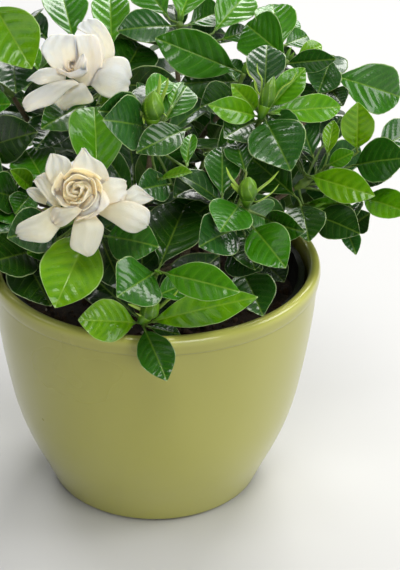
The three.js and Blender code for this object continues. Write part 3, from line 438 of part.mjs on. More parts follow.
// petals: rows from the throat to the tip, each row left edge to right edge
const FLOWERS = [
  { name: "flower_1", centre: [-44.3,-2.3,270.6], facing: [-0.3,-0.78,0.55], twigEnd: [-34.9,22.2,253.3], petals: [
    { name: "Q1", net: [[[-27.6,-3.5,271.4],[-31.6,-2.8,272.6],[-35.6,-2.0,273.8]],[[-23.5,-2.4,278.0],[-28.8,0.1,279.0],[-34.1,-0.3,281.1]],[[-23.7,-0.7,285.2],[-30.1,2.4,285.8],[-36.3,1.2,287.9]],[[-27.4,3.3,292.2],[-34.3,4.7,290.6],[-41.0,2.7,290.4]],[[-32.7,7.9,296.2],[-38.6,7.4,293.6],[-44.4,5.7,291.5]],[[-37.0,10.3,296.2],[-40.0,9.8,295.1],[-43.1,9.3,293.9]]] },
    { name: "Q4", net: [[[-38.3,-9.7,263.8],[-35.5,-7.5,267.9],[-32.7,-5.3,272.1]],[[-35.4,-13.2,263.7],[-32.2,-12.7,271.6],[-29.3,-6.1,277.1]],[[-30.7,-15.6,259.7],[-26.4,-14.4,270.9],[-22.3,-5.2,279.0]],[[-22.8,-13.1,256.4],[-19.5,-11.0,267.5],[-16.3,-2.5,276.1]],[[-15.9,-7.1,257.3],[-14.7,-5.4,262.9],[-13.5,-1.5,267.7]]] },
    { name: "Q7", net: [[[-40.5,-12.9,266.0],[-44.4,-13.0,265.6],[-48.4,-13.2,265.1]],[[-38.1,-15.0,263.4],[-44.3,-16.8,262.9],[-50.7,-15.8,261.2]],[[-35.4,-15.2,256.0],[-45.4,-16.4,256.8],[-55.6,-14.3,256.3]],[[-45.9,-13.3,252.6],[-51.6,-13.8,253.3],[-57.4,-12.5,253.3]],[[-50.8,-11.7,248.8],[-51.5,-11.6,249.0],[-52.2,-11.6,249.1]]] },
    { name: "Q3", net: [[[-40.2,-10.3,262.5],[-43.9,-8.7,265.1],[-47.7,-7.2,267.8]],[[-32.5,-12.7,267.0],[-39.2,-7.5,270.9],[-45.6,-7.0,276.6]],[[-29.9,-10.6,277.1],[-37.8,-5.8,279.2],[-45.4,-6.7,283.4]],[[-31.0,-6.6,286.4],[-38.5,-4.0,286.6],[-45.9,-5.1,288.3]],[[-33.1,-2.2,291.2],[-39.3,-1.7,290.9],[-45.5,-2.0,290.9]]] },
    { name: "Q2", net: [[[-51.4,-6.9,268.1],[-47.2,-6.0,270.0],[-43.0,-5.0,271.9]],[[-58.6,-9.2,274.0],[-51.1,-5.4,275.8],[-43.2,-6.6,279.5]],[[-62.6,-8.5,280.1],[-53.5,-4.8,282.0],[-44.0,-6.1,285.7]],[[-64.3,-5.9,283.8],[-54.6,-3.2,285.9],[-44.8,-3.6,289.2]],[[-60.0,0.3,290.1],[-52.8,0.3,290.1],[-45.6,-0.1,290.2]]] },
    { name: "Q5", net: [[[-50.6,-13.9,267.9],[-50.4,-13.0,269.5],[-50.2,-12.1,271.2]],[[-59.5,-13.4,266.1],[-58.5,-12.5,270.3],[-57.7,-9.4,273.6]],[[-65.3,-11.8,264.5],[-64.7,-11.2,269.1],[-64.4,-7.5,272.4]],[[-69.7,-8.0,265.0],[-69.2,-7.7,267.3],[-68.8,-5.9,268.9]],[[-73.3,-5.0,264.0],[-73.2,-4.9,264.2],[-73.2,-4.8,264.4]]] },
    { name: "Q8", net: [[[-40.9,-12.1,269.7],[-43.7,-11.9,269.9],[-46.5,-11.7,270.0]],[[-38.9,-13.2,275.1],[-42.0,-14.5,275.8],[-45.4,-12.8,275.4]],[[-38.3,-12.8,279.4],[-40.9,-14.5,279.8],[-43.7,-12.9,278.9]],[[-40.1,-11.4,282.7],[-40.6,-11.5,282.8],[-41.1,-11.3,282.7]]] },
    { name: "Q9", net: [[[-41.5,-8.3,268.2],[-46.0,-8.4,267.7],[-50.4,-7.6,268.9]],[[-38.2,-12.8,272.6],[-46.4,-15.6,270.4],[-54.8,-12.2,272.9]],[[-38.4,-12.8,277.9],[-47.5,-16.1,273.8],[-55.9,-13.5,275.6]]] },
    { name: "Q6", net: [[[-42.7,-15.9,266.7],[-44.5,-15.2,267.8],[-46.4,-14.6,268.9]],[[-48.7,-18.3,264.2],[-51.6,-18.7,266.9],[-54.7,-15.8,268.2]],[[-57.6,-20.0,256.3],[-59.8,-19.8,261.9],[-62.3,-14.8,265.5]],[[-67.3,-16.6,251.5],[-69.5,-16.5,256.2],[-72.0,-12.3,259.2]],[[-72.9,-12.9,247.5],[-74.4,-12.0,250.3],[-76.1,-10.0,252.7]]] },
    { name: "S0", net: [[[-46.8,1.2,272.4],[-47.9,0.6,271.0],[-48.2,-0.4,269.5],[-47.7,-1.5,268.2],[-46.5,-2.5,267.3],[-45.0,-3.3,267.1],[-43.5,-3.6,267.4]],[[-48.0,-0.4,274.2],[-49.3,-1.5,272.8],[-49.8,-2.8,271.2],[-49.2,-4.1,269.8],[-47.9,-5.2,268.8],[-46.1,-5.9,268.3],[-44.2,-5.9,268.4]],[[-49.3,-1.4,276.0],[-51.1,-3.0,274.5],[-51.6,-4.8,272.7],[-51.0,-6.5,271.0],[-49.4,-7.7,269.7],[-47.1,-8.4,269.0],[-44.7,-8.2,268.9]],[[-50.1,-2.4,277.1],[-52.5,-4.6,276.0],[-52.3,-6.1,273.6],[-51.9,-7.9,271.8],[-50.6,-10.0,270.7],[-47.7,-9.9,270.0],[-45.0,-9.2,269.3]]] },
    { name: "S1", net: [[[-43.8,-3.4,267.5],[-42.2,-3.5,268.3],[-41.3,-2.9,269.6],[-41.2,-2.1,270.9],[-41.9,-1.1,271.8],[-43.2,-0.3,272.2],[-44.6,0.0,271.9]],[[-44.6,-6.0,268.6],[-42.9,-6.4,269.9],[-41.9,-6.1,271.5],[-41.9,-5.1,273.1],[-42.7,-3.9,274.2],[-44.1,-2.8,274.4],[-45.6,-1.9,273.8]],[[-45.3,-8.4,269.4],[-43.4,-9.2,271.1],[-42.2,-9.0,273.2],[-42.2,-7.9,275.2],[-43.2,-6.4,276.4],[-44.8,-4.8,276.6],[-46.5,-3.5,275.6]],[[-45.9,-10.3,270.3],[-44.0,-10.4,272.1],[-43.0,-10.7,274.4],[-42.7,-10.2,276.9],[-43.9,-8.0,277.4],[-45.3,-6.2,277.5],[-47.2,-5.1,277.2]]] },
    { name: "S2", net: [[[-42.8,-0.9,271.6],[-44.0,-0.4,271.6],[-45.1,-0.4,271.2],[-45.7,-0.7,270.3],[-45.7,-1.3,269.5],[-45.1,-1.9,268.9],[-44.2,-2.4,268.8]],[[-43.4,-3.1,273.6],[-45.0,-2.9,274.0],[-46.5,-3.1,273.6],[-47.3,-3.6,272.6],[-47.3,-4.3,271.4],[-46.5,-4.8,270.5],[-45.1,-4.9,270.1]],[[-43.8,-4.9,275.4],[-45.9,-5.0,276.1],[-47.8,-5.4,275.7],[-48.8,-6.1,274.6],[-48.8,-6.9,273.1],[-47.7,-7.3,271.9],[-45.9,-7.2,271.1]],[[-44.3,-6.0,276.0],[-46.6,-7.0,277.1],[-48.8,-7.5,277.5],[-49.3,-7.8,275.7],[-49.1,-8.7,274.5],[-48.7,-9.6,273.2],[-46.4,-8.4,272.2]]] },
    { name: "S3", net: [[[-44.3,-1.3,270.2],[-44.1,-1.7,269.7],[-43.5,-2.1,269.5],[-42.9,-2.3,269.6],[-42.4,-2.2,270.0],[-42.3,-1.9,270.5],[-42.6,-1.5,270.9]],[[-45.5,-3.6,271.9],[-45.4,-4.6,271.5],[-44.8,-5.3,271.5],[-44.0,-5.6,271.7],[-43.4,-5.4,272.1],[-43.2,-4.7,272.6],[-43.4,-3.8,272.7]],[[-46.6,-5.5,273.3],[-46.6,-7.1,273.1],[-46.0,-8.1,273.1],[-45.0,-8.6,273.5],[-44.3,-8.2,274.0],[-43.9,-7.2,274.3],[-44.0,-5.8,274.3]],[[-46.7,-7.4,274.5],[-47.4,-9.1,274.5],[-46.5,-9.6,274.3],[-46.0,-10.3,275.2],[-45.1,-10.6,275.6],[-44.6,-8.7,275.4],[-44.8,-7.2,274.9]]] },
  ] },
  { name: "flower_2", centre: [-40.9,-87.2,231.5], facing: [-0.1,-0.79,0.61], twigEnd: [-37.8,-62.4,212.3], petals: [
    { name: "P9", net: [[[-59.1,-83.8,224.2],[-58.2,-82.6,226.5],[-57.3,-81.4,228.8]],[[-64.5,-81.1,224.8],[-62.4,-80.3,227.6],[-60.4,-78.4,229.9]],[[-67.8,-77.8,226.4],[-66.2,-77.2,228.7],[-64.6,-75.6,230.6]],[[-69.8,-75.3,228.7],[-69.3,-75.0,229.3],[-68.7,-74.8,229.8]]] },
    { name: "P4", net: [[[-25.2,-90.0,225.3],[-26.3,-88.3,228.3],[-27.5,-86.6,231.3]],[[-16.0,-89.0,223.5],[-18.8,-87.7,227.7],[-21.8,-84.7,231.1]],[[-9.6,-86.2,224.8],[-12.6,-85.3,228.8],[-15.7,-82.2,231.8]],[[-5.5,-83.9,225.1],[-8.0,-80.5,229.0],[-10.4,-79.0,233.7]],[[-0.6,-80.2,225.8],[-1.3,-80.0,226.2],[-2.1,-79.7,226.7]]] },
    { name: "P5", net: [[[-30.9,-93.9,224.0],[-28.5,-92.2,227.3],[-26.2,-90.5,230.6]],[[-22.2,-98.4,220.4],[-19.2,-97.6,226.8],[-16.4,-92.8,231.1]],[[-15.8,-99.7,216.4],[-12.6,-98.9,224.2],[-9.5,-92.8,229.4]],[[-10.7,-96.7,213.9],[-7.2,-96.2,220.2],[-3.6,-91.2,224.3]],[[-5.2,-92.1,214.2],[-4.3,-91.3,215.7],[-3.3,-90.6,217.2]]] },
    { name: "P7", net: [[[-48.7,-95.7,219.7],[-51.3,-93.5,223.7],[-53.9,-91.2,227.7]],[[-52.2,-97.9,215.6],[-55.8,-96.7,220.8],[-59.7,-92.7,224.5]],[[-57.5,-98.8,209.5],[-62.2,-97.9,216.2],[-67.3,-92.4,220.5]],[[-65.9,-94.8,207.8],[-69.5,-94.3,212.7],[-73.3,-90.3,215.8]],[[-73.1,-91.4,207.5],[-74.4,-90.5,209.1],[-75.7,-89.5,210.7]]] },
    { name: "P6", net: [[[-33.0,-97.2,226.2],[-37.0,-97.3,225.9],[-41.0,-97.3,225.6]],[[-30.4,-99.8,223.7],[-36.8,-102.2,223.6],[-43.4,-100.6,221.5]],[[-27.3,-101.4,219.0],[-35.9,-104.6,218.9],[-44.7,-102.4,216.0]],[[-30.0,-101.4,208.4],[-37.6,-103.4,208.9],[-45.3,-101.4,207.4]],[[-32.7,-100.6,203.4],[-36.6,-101.2,203.7],[-40.6,-100.4,203.3]],[[-36.0,-99.5,201.1],[-36.7,-99.4,201.2],[-37.5,-99.3,201.4]]] },
    { name: "P3", net: [[[-26.1,-94.5,229.4],[-28.4,-92.4,235.4],[-30.7,-88.4,240.4]],[[-21.6,-94.2,230.4],[-23.8,-92.0,236.7],[-26.1,-87.6,242.0]],[[-18.1,-92.0,230.4],[-19.9,-89.5,236.1],[-21.6,-85.9,241.2]],[[-15.8,-87.1,229.0],[-15.7,-84.0,233.5],[-15.6,-82.0,238.4]]] },
    { name: "P10", net: [[[-50.3,-94.8,227.6],[-50.3,-91.9,231.9],[-50.3,-89.8,236.7]],[[-54.9,-93.9,229.0],[-54.4,-90.8,233.0],[-53.7,-89.2,237.6]],[[-59.7,-88.5,232.2],[-58.2,-85.8,235.7],[-56.7,-84.5,239.8]],[[-63.4,-82.6,234.5],[-61.1,-80.6,237.5],[-58.8,-79.2,240.9]],[[-65.3,-78.2,236.2],[-64.1,-77.7,237.1],[-63.0,-77.2,238.1]]] },
    { name: "P1", net: [[[-50.3,-90.6,233.2],[-47.5,-88.6,234.8],[-44.6,-88.5,237.3]],[[-55.5,-88.1,238.4],[-50.1,-86.3,240.1],[-44.6,-86.2,242.6]],[[-58.5,-83.2,243.1],[-51.6,-81.7,244.6],[-44.7,-81.6,246.8]],[[-58.0,-77.5,246.2],[-52.9,-76.6,247.3],[-47.7,-76.4,248.7]],[[-56.2,-72.5,249.1],[-55.5,-72.5,249.2],[-54.8,-72.5,249.3]]] },
    { name: "P2", net: [[[-45.7,-89.6,235.3],[-38.3,-87.9,234.5],[-30.8,-89.9,235.5]],[[-45.1,-88.1,242.2],[-36.3,-86.9,240.4],[-27.3,-89.6,240.4]],[[-44.3,-85.4,247.2],[-34.6,-85.5,244.5],[-24.7,-88.3,243.0]],[[-42.9,-80.7,249.5],[-35.5,-80.7,248.3],[-27.9,-82.2,247.7]],[[-40.2,-76.1,251.9],[-37.0,-76.6,250.5],[-33.8,-77.6,249.4]],[[-39.6,-72.5,252.2],[-38.7,-72.5,252.3],[-37.8,-72.5,252.3]]] },
    { name: "P11", net: [[[-42.3,-93.5,228.3],[-36.4,-94.5,233.2],[-30.8,-89.9,235.5]],[[-40.7,-99.4,226.0],[-33.8,-99.4,233.0],[-27.2,-93.7,237.2]],[[-36.3,-102.4,224.8],[-30.2,-102.4,230.6],[-24.4,-97.7,234.1]],[[-30.5,-102.3,227.5],[-27.4,-101.9,230.1],[-24.3,-100.0,232.1]]] },
    { name: "P8", net: [[[-38.5,-101.0,229.4],[-40.5,-100.3,230.6],[-42.5,-99.6,231.8]],[[-41.9,-102.6,226.3],[-44.7,-102.7,229.1],[-47.6,-100.0,230.6]],[[-46.6,-102.5,222.0],[-49.9,-102.0,226.5],[-53.5,-98.3,229.4]],[[-50.3,-99.5,219.0],[-52.9,-98.9,222.1],[-55.6,-96.5,224.2]],[[-52.7,-97.4,218.6],[-54.1,-96.9,219.3],[-55.5,-96.5,220.1]]] },
    { name: "S0", net: [[[-34.3,-87.4,236.0],[-35.9,-86.3,237.1],[-37.8,-85.5,237.8],[-39.9,-85.1,238.0],[-42.0,-85.1,237.7],[-43.8,-85.4,237.0],[-45.2,-86.0,236.0]],[[-31.6,-88.8,238.8],[-34.0,-87.6,240.8],[-36.8,-86.7,241.9],[-39.8,-86.2,242.3],[-42.7,-86.1,241.8],[-45.2,-86.3,240.6],[-47.1,-86.8,238.9]],[[-29.8,-90.1,241.1],[-32.6,-88.9,243.7],[-36.1,-88.0,245.2],[-39.7,-87.4,245.7],[-43.2,-87.2,245.1],[-46.2,-87.3,243.5],[-48.6,-87.6,241.2]],[[-28.8,-91.1,242.6],[-31.8,-90.3,246.0],[-35.8,-89.0,246.9],[-39.7,-88.3,247.6],[-43.6,-88.5,247.7],[-46.7,-88.4,245.1],[-49.3,-88.0,242.4]]] },
    { name: "S1", net: [[[-45.5,-85.1,237.1],[-46.9,-86.1,235.6],[-47.7,-87.3,234.0],[-47.7,-88.5,232.4],[-47.0,-89.7,230.9],[-45.8,-90.8,229.8],[-44.2,-91.5,229.1]],[[-47.5,-85.6,240.4],[-49.6,-87.4,238.6],[-50.7,-89.3,236.5],[-50.7,-91.1,234.3],[-49.7,-92.7,232.2],[-48.0,-93.9,230.4],[-45.7,-94.6,229.1]],[[-49.0,-86.3,243.0],[-51.6,-88.7,241.1],[-52.9,-91.1,238.7],[-52.9,-93.4,236.0],[-51.8,-95.3,233.4],[-49.6,-96.6,231.2],[-46.8,-97.1,229.4]],[[-50.2,-87.0,245.3],[-52.6,-89.4,242.5],[-54.2,-92.4,240.1],[-54.8,-95.5,237.6],[-52.9,-96.9,234.3],[-50.6,-98.2,231.6],[-47.8,-99.5,229.7]]] },
    { name: "S2", net: [[[-41.5,-93.7,226.7],[-38.4,-93.5,227.5],[-35.9,-92.6,229.0],[-34.5,-91.2,231.0],[-34.1,-89.6,233.1],[-34.9,-88.1,235.0],[-36.5,-86.8,236.4]],[[-41.8,-97.9,225.3],[-37.3,-98.0,226.7],[-33.8,-96.9,229.2],[-31.7,-95.0,232.2],[-31.2,-92.5,235.2],[-32.2,-90.0,237.8],[-34.6,-87.7,239.6]],[[-42.1,-101.1,224.7],[-36.7,-101.4,226.6],[-32.4,-100.3,229.7],[-29.9,-98.0,233.4],[-29.2,-95.0,237.0],[-30.5,-91.8,240.1],[-33.4,-88.7,242.1]],[[-42.3,-102.8,224.1],[-36.4,-103.8,226.9],[-31.4,-103.2,230.3],[-28.7,-99.7,234.0],[-28.2,-96.6,238.2],[-29.2,-93.4,242.1],[-32.7,-89.4,243.6]]] },
    { name: "S3", net: [[[-39.2,-92.5,228.6],[-36.8,-92.0,229.7],[-35.3,-90.9,231.3],[-34.8,-89.6,233.1],[-35.4,-88.2,234.8],[-36.8,-87.1,236.0],[-38.7,-86.4,236.6]],[[-38.9,-96.5,228.3],[-35.5,-96.2,230.2],[-33.4,-94.9,232.8],[-32.7,-93.0,235.5],[-33.5,-90.9,237.9],[-35.5,-89.0,239.5],[-38.3,-87.5,240.0]],[[-38.8,-99.7,228.5],[-34.8,-99.6,231.1],[-32.1,-98.2,234.3],[-31.3,-96.0,237.7],[-32.3,-93.4,240.5],[-34.7,-90.9,242.3],[-38.1,-88.8,242.7]],[[-38.9,-101.7,229.5],[-34.4,-102.1,232.0],[-31.6,-100.0,235.2],[-31.2,-98.0,239.2],[-31.7,-95.6,242.6],[-34.4,-92.1,243.8],[-38.1,-89.9,243.9]]] },
    { name: "S4", net: [[[-47.6,-88.0,233.0],[-47.4,-89.2,231.6],[-46.6,-90.2,230.3],[-45.3,-91.1,229.4],[-43.8,-91.7,229.0],[-42.1,-91.9,228.9],[-40.6,-91.8,229.3]],[[-50.4,-89.8,235.0],[-50.2,-91.9,233.3],[-49.1,-93.7,231.7],[-47.3,-95.0,230.5],[-45.0,-95.8,229.7],[-42.6,-95.8,229.5],[-40.3,-95.2,229.7]],[[-52.4,-91.5,236.7],[-52.2,-94.3,234.8],[-50.9,-96.7,233.1],[-48.7,-98.3,231.6],[-45.9,-99.1,230.7],[-42.9,-99.0,230.2],[-40.1,-98.0,230.3]],[[-53.7,-92.8,238.0],[-53.4,-95.6,235.6],[-51.6,-98.8,234.4],[-49.6,-100.9,232.8],[-46.4,-101.1,231.1],[-43.1,-100.9,231.2],[-40.1,-100.4,231.1]]] },
    { name: "S5", net: [[[-36.9,-87.3,235.7],[-38.4,-86.4,236.6],[-40.3,-86.0,236.8],[-42.1,-86.0,236.5],[-43.5,-86.5,235.6],[-44.3,-87.3,234.5],[-44.4,-88.3,233.3]],[[-35.4,-89.4,238.6],[-37.7,-88.6,240.3],[-40.4,-88.3,240.9],[-43.1,-88.4,240.4],[-45.1,-89.0,239.1],[-46.3,-89.9,237.2],[-46.4,-90.7,235.1]],[[-34.5,-91.2,241.0],[-37.3,-90.7,243.3],[-40.6,-90.5,244.2],[-43.8,-90.7,243.7],[-46.3,-91.4,242.0],[-47.7,-92.2,239.6],[-47.8,-92.9,236.7]],[[-34.2,-92.3,242.2],[-37.6,-92.9,244.9],[-40.9,-92.6,246.1],[-44.2,-92.2,245.4],[-46.5,-93.6,243.7],[-48.2,-94.4,241.4],[-48.4,-94.1,237.7]]] },
    { name: "S6", net: [[[-42.4,-90.9,230.1],[-40.7,-91.4,229.8],[-38.9,-91.3,230.2],[-37.7,-90.8,231.1],[-37.1,-89.9,232.3],[-37.3,-89.0,233.4],[-38.2,-88.3,234.2]],[[-43.7,-94.4,231.0],[-41.2,-95.5,231.0],[-38.8,-95.7,231.8],[-36.9,-95.0,233.2],[-36.1,-93.7,234.8],[-36.4,-92.1,236.3],[-37.6,-90.4,237.1]],[[-44.7,-97.2,232.1],[-41.7,-98.9,232.3],[-38.7,-99.4,233.5],[-36.5,-98.6,235.2],[-35.5,-96.9,237.1],[-35.8,-94.7,238.7],[-37.3,-92.4,239.4]],[[-44.8,-99.2,233.8],[-41.9,-100.9,233.9],[-38.8,-101.3,234.6],[-37.0,-101.0,237.2],[-35.8,-99.3,239.0],[-35.7,-96.3,240.0],[-37.6,-94.2,240.6]]] },
    { name: "S7", net: [[[-41.9,-86.9,235.4],[-43.2,-87.2,234.8],[-44.0,-87.8,233.9],[-44.0,-88.6,232.9],[-43.3,-89.3,232.1],[-42.2,-89.7,231.7],[-41.0,-89.8,231.8]],[[-42.4,-88.9,238.4],[-44.4,-89.8,238.1],[-45.5,-91.1,236.9],[-45.6,-92.3,235.5],[-44.6,-93.3,234.3],[-42.9,-93.6,233.5],[-41.1,-93.1,233.3]],[[-42.7,-90.8,240.9],[-45.2,-92.3,240.7],[-46.7,-94.0,239.6],[-46.7,-95.6,237.9],[-45.5,-96.7,236.3],[-43.4,-96.8,235.2],[-41.2,-95.9,234.7]],[[-42.9,-92.6,241.9],[-45.6,-93.9,242.2],[-46.7,-96.7,241.5],[-46.7,-98.0,239.8],[-45.9,-98.6,237.6],[-43.7,-98.9,237.1],[-41.6,-97.7,236.5]]] },
    { name: "S8", net: [[[-40.4,-89.9,231.7],[-39.4,-89.7,232.2],[-39.0,-89.2,232.9],[-39.2,-88.6,233.6],[-39.9,-88.2,234.1],[-40.8,-88.0,234.1],[-41.6,-88.2,233.7]],[[-40.6,-93.2,233.3],[-39.3,-93.4,234.4],[-38.7,-93.0,235.7],[-39.0,-92.3,236.8],[-40.1,-91.5,237.4],[-41.3,-91.0,237.2],[-42.4,-90.7,236.2]],[[-40.8,-96.0,234.8],[-39.3,-96.6,236.4],[-38.6,-96.3,238.1],[-39.0,-95.5,239.6],[-40.2,-94.5,240.2],[-41.8,-93.7,239.8],[-43.0,-93.0,238.3]],[[-41.0,-97.6,235.9],[-39.8,-99.0,238.4],[-39.4,-98.4,239.9],[-39.2,-97.4,241.1],[-40.7,-97.2,242.1],[-42.0,-96.2,241.1],[-43.2,-94.2,239.4]]] },
    { name: "S9", net: [[[-41.7,-88.4,233.4],[-42.1,-88.7,233.0],[-42.0,-89.1,232.5],[-41.5,-89.4,232.2],[-40.9,-89.4,232.3],[-40.5,-89.3,232.6],[-40.4,-89.0,233.0]],[[-42.3,-91.1,235.8],[-42.8,-92.0,235.6],[-42.7,-92.8,235.2],[-42.1,-93.3,235.0],[-41.3,-93.3,234.9],[-40.7,-92.7,235.0],[-40.5,-91.8,235.2]],[[-42.8,-93.4,237.9],[-43.4,-94.9,237.9],[-43.4,-96.1,237.6],[-42.6,-96.7,237.3],[-41.6,-96.6,237.2],[-40.8,-95.7,237.2],[-40.6,-94.2,237.1]],[[-43.0,-95.5,239.5],[-43.2,-96.8,239.3],[-43.6,-98.1,239.2],[-43.0,-99.5,239.5],[-42.1,-98.6,239.4],[-41.0,-97.4,238.5],[-40.8,-96.2,238.7]]] },
  ] },
];
// flower buds: base, tip, greatest radius, sepals as [foot, tip]
const BUDS = [
  { name: "flower_bud_1", twigEnd: [-3.1,-48.3,257.3], base: [-1.9,-53.7,259.6], tip: [-0.8,-57.6,279.2], r: 6.0, sepals: [[[1.3,-47.7,272.9],[2.4,-45.6,283.7]],[[4.0,-48.0,272.5],[6.7,-48.6,283.2]],[[-9.5,-51.8,264.7],[-18.1,-55.3,268.4]],[[1.3,-52.1,264.8],[6.2,-59.7,265.1]],[[-5.2,-51.9,264.8],[-6.3,-58.7,260.6]]] },
  { name: "flower_bud_2", twigEnd: [60.9,-21.0,249.6], base: [59.8,-26.1,253.0], tip: [66.3,-18.9,272.9], r: 4.2, sepals: [[[56.3,-18.9,268.1],[50.7,-15.2,276.8]],[[59.7,-18.4,269.1],[56.8,-15.5,279.3]],[[59.1,-22.7,261.3],[55.2,-19.0,270.0]],[[69.8,-20.8,265.3],[79.2,-17.9,275.0]]] },
  { name: "flower_bud_3", twigEnd: [50.7,-71.8,217.1], base: [49.7,-75.6,222.0], tip: [50.2,-79.1,238.6], r: 5.2, sepals: [[[44.8,-72.7,229.1],[38.0,-72.2,241.3]],[[45.3,-73.8,227.2],[40.7,-75.7,233.4]],[[54.5,-74.0,227.3],[66.9,-70.1,238.1]],[[56.2,-76.4,223.0],[67.0,-73.2,231.7]]] },
  { name: "flower_bud_4", twigEnd: [-7.1,-87.2,153.9], base: [-7.0,-93.1,158.7], tip: [1.3,-92.9,170.0], r: 5.0, sepals: [[[-8.1,-90.0,166.5],[-18.0,-87.5,171.4]],[[-6.9,-91.9,163.1],[-15.1,-93.7,168.6]],[[-2.0,-88.3,170.0],[-6.9,-87.2,181.9]],[[5.2,-89.8,167.6],[12.8,-91.4,176.7]],[[-5.3,-93.8,159.8],[-10.8,-95.3,163.8]]] },
];

// ---- solids ----------------------------------------------------------------
const V = (a) => new THREE.Vector3(a[0], a[1], a[2]);

function toManifold(geometry) {
  const g = geometry.index ? geometry.toNonIndexed() : geometry.clone();
  g.deleteAttribute('normal');
  g.deleteAttribute('uv');
  const m = mergeVertices(g, 1e-4);
  // drop the collapsed triangles that lie on a turning axis
  const idx = m.index.array, keep = [];
  for (let i = 0; i < idx.length; i += 3) {
    const [a, b, c] = [idx[i], idx[i + 1], idx[i + 2]];
    if (a !== b && b !== c && a !== c) keep.push(a, b, c);
  }
  return new wasm.Manifold(new wasm.Mesh({ numProp: 3,
    vertProperties: new Float32Array(m.attributes.position.array), triVerts: new Uint32Array(keep) }));
}

function fromTriangles(points, tris) {
  return new wasm.Manifold(new wasm.Mesh({ numProp: 3,
    vertProperties: new Float32Array(points.flat()), triVerts: new Uint32Array(tris.flat()) }));
}

// a closed skin through sections that all have the same number of points;
// the ends are closed with flat fans, or with a point where the section is one point
function loft(sections) {
  const pts = [], tris = [], start = [];
  for (const s of sections) { start.push(pts.length); for (const p of s) pts.push([p.x, p.y, p.z]); }
  for (let k = 0; k + 1 < sections.length; k++) {
    const a = start[k], b = start[k + 1], n = sections[k].length, m = sections[k + 1].length;
    if (m === 1) { for (let i = 0; i < n; i++) tris.push([a + i, a + (i + 1) % n, b]); continue; }
    if (n === 1) { for (let i = 0; i < m; i++) tris.push([a, b + (i + 1) % m, b + i]); continue; }
    for (let i = 0; i < n; i++) {
      const j = (i + 1) % n;
      tris.push([a + i, a + j, b + j], [a + i, b + j, b + i]);
    }
  }
  const cap = (k, flip) => {
    const n = sections[k].length;
    for (let i = 1; i + 1 < n; i++) tris.push(flip ? [start[k], start[k] + i + 1, start[k] + i] : [start[k], start[k] + i, start[k] + i + 1]);
  };
  if (sections[0].length > 1) cap(0, true);
  if (sections[sections.length - 1].length > 1) cap(sections.length - 1, false);
  let solid = fromTriangles(pts, tris);
  if (solid.volume() < 0) solid = fromTriangles(pts, tris.map((t) => [t[0], t[2], t[1]]));
  return solid;
}

function ring(centre, dir, r, n) {
  const d = dir.clone().normalize();
  const u = new THREE.Vector3().crossVectors(d, Math.abs(d.z) < 0.9 ? new THREE.Vector3(0, 0, 1) : new THREE.Vector3(1, 0, 0)).normalize();
  const v = new THREE.Vector3().crossVectors(d, u);
  return Array.from({ length: n }, (_, i) => {
    const a = 2 * Math.PI * i / n;
    return centre.clone().addScaledVector(u, r * Math.cos(a)).addScaledVector(v, r * Math.sin(a));
  });
}

// a tapered rod through points; its section keeps one orientation along the way
function rod(points, r0, r1, n, grow = 0) {
  const P = points.map(V), N = P.length;
  const dirs = P.map((_, i) => P[Math.min(i + 1, N - 1)].clone().sub(P[Math.max(i - 1, 0)]).normalize());
  let u = new THREE.Vector3().crossVectors(dirs[0], Math.abs(dirs[0].z) < 0.9 ? new THREE.Vector3(0, 0, 1) : new THREE.Vector3(1, 0, 0)).normalize();
  const sections = P.map((p, i) => {
    u = u.clone().addScaledVector(dirs[i], -u.dot(dirs[i])).normalize();
    const v = new THREE.Vector3().crossVectors(dirs[i], u);
    const r = r0 + (r1 - r0) * i / (N - 1) + grow;
    const c = p.clone();
    if (grow && i === 0) c.addScaledVector(dirs[0], -grow);
    if (grow && i === N - 1) c.addScaledVector(dirs[i], grow);
    return Array.from({ length: n }, (_, k) => {
      const a = 2 * Math.PI * k / n;
      return c.clone().addScaledVector(u, r * Math.cos(a)).addScaledVector(v, r * Math.sin(a));
    });
  });
  return loft(sections);
}

function bladeWidth(u) {
  for (let i = 1; i < BLADE.length; i++) {
    if (u <= BLADE[i][0]) {
      const f = (u - BLADE[i - 1][0]) / (BLADE[i][0] - BLADE[i - 1][0]);
      return BLADE[i - 1][1] + f * (BLADE[i][1] - BLADE[i - 1][1]);
    }
  }
  return BLADE[BLADE.length - 1][1];
}

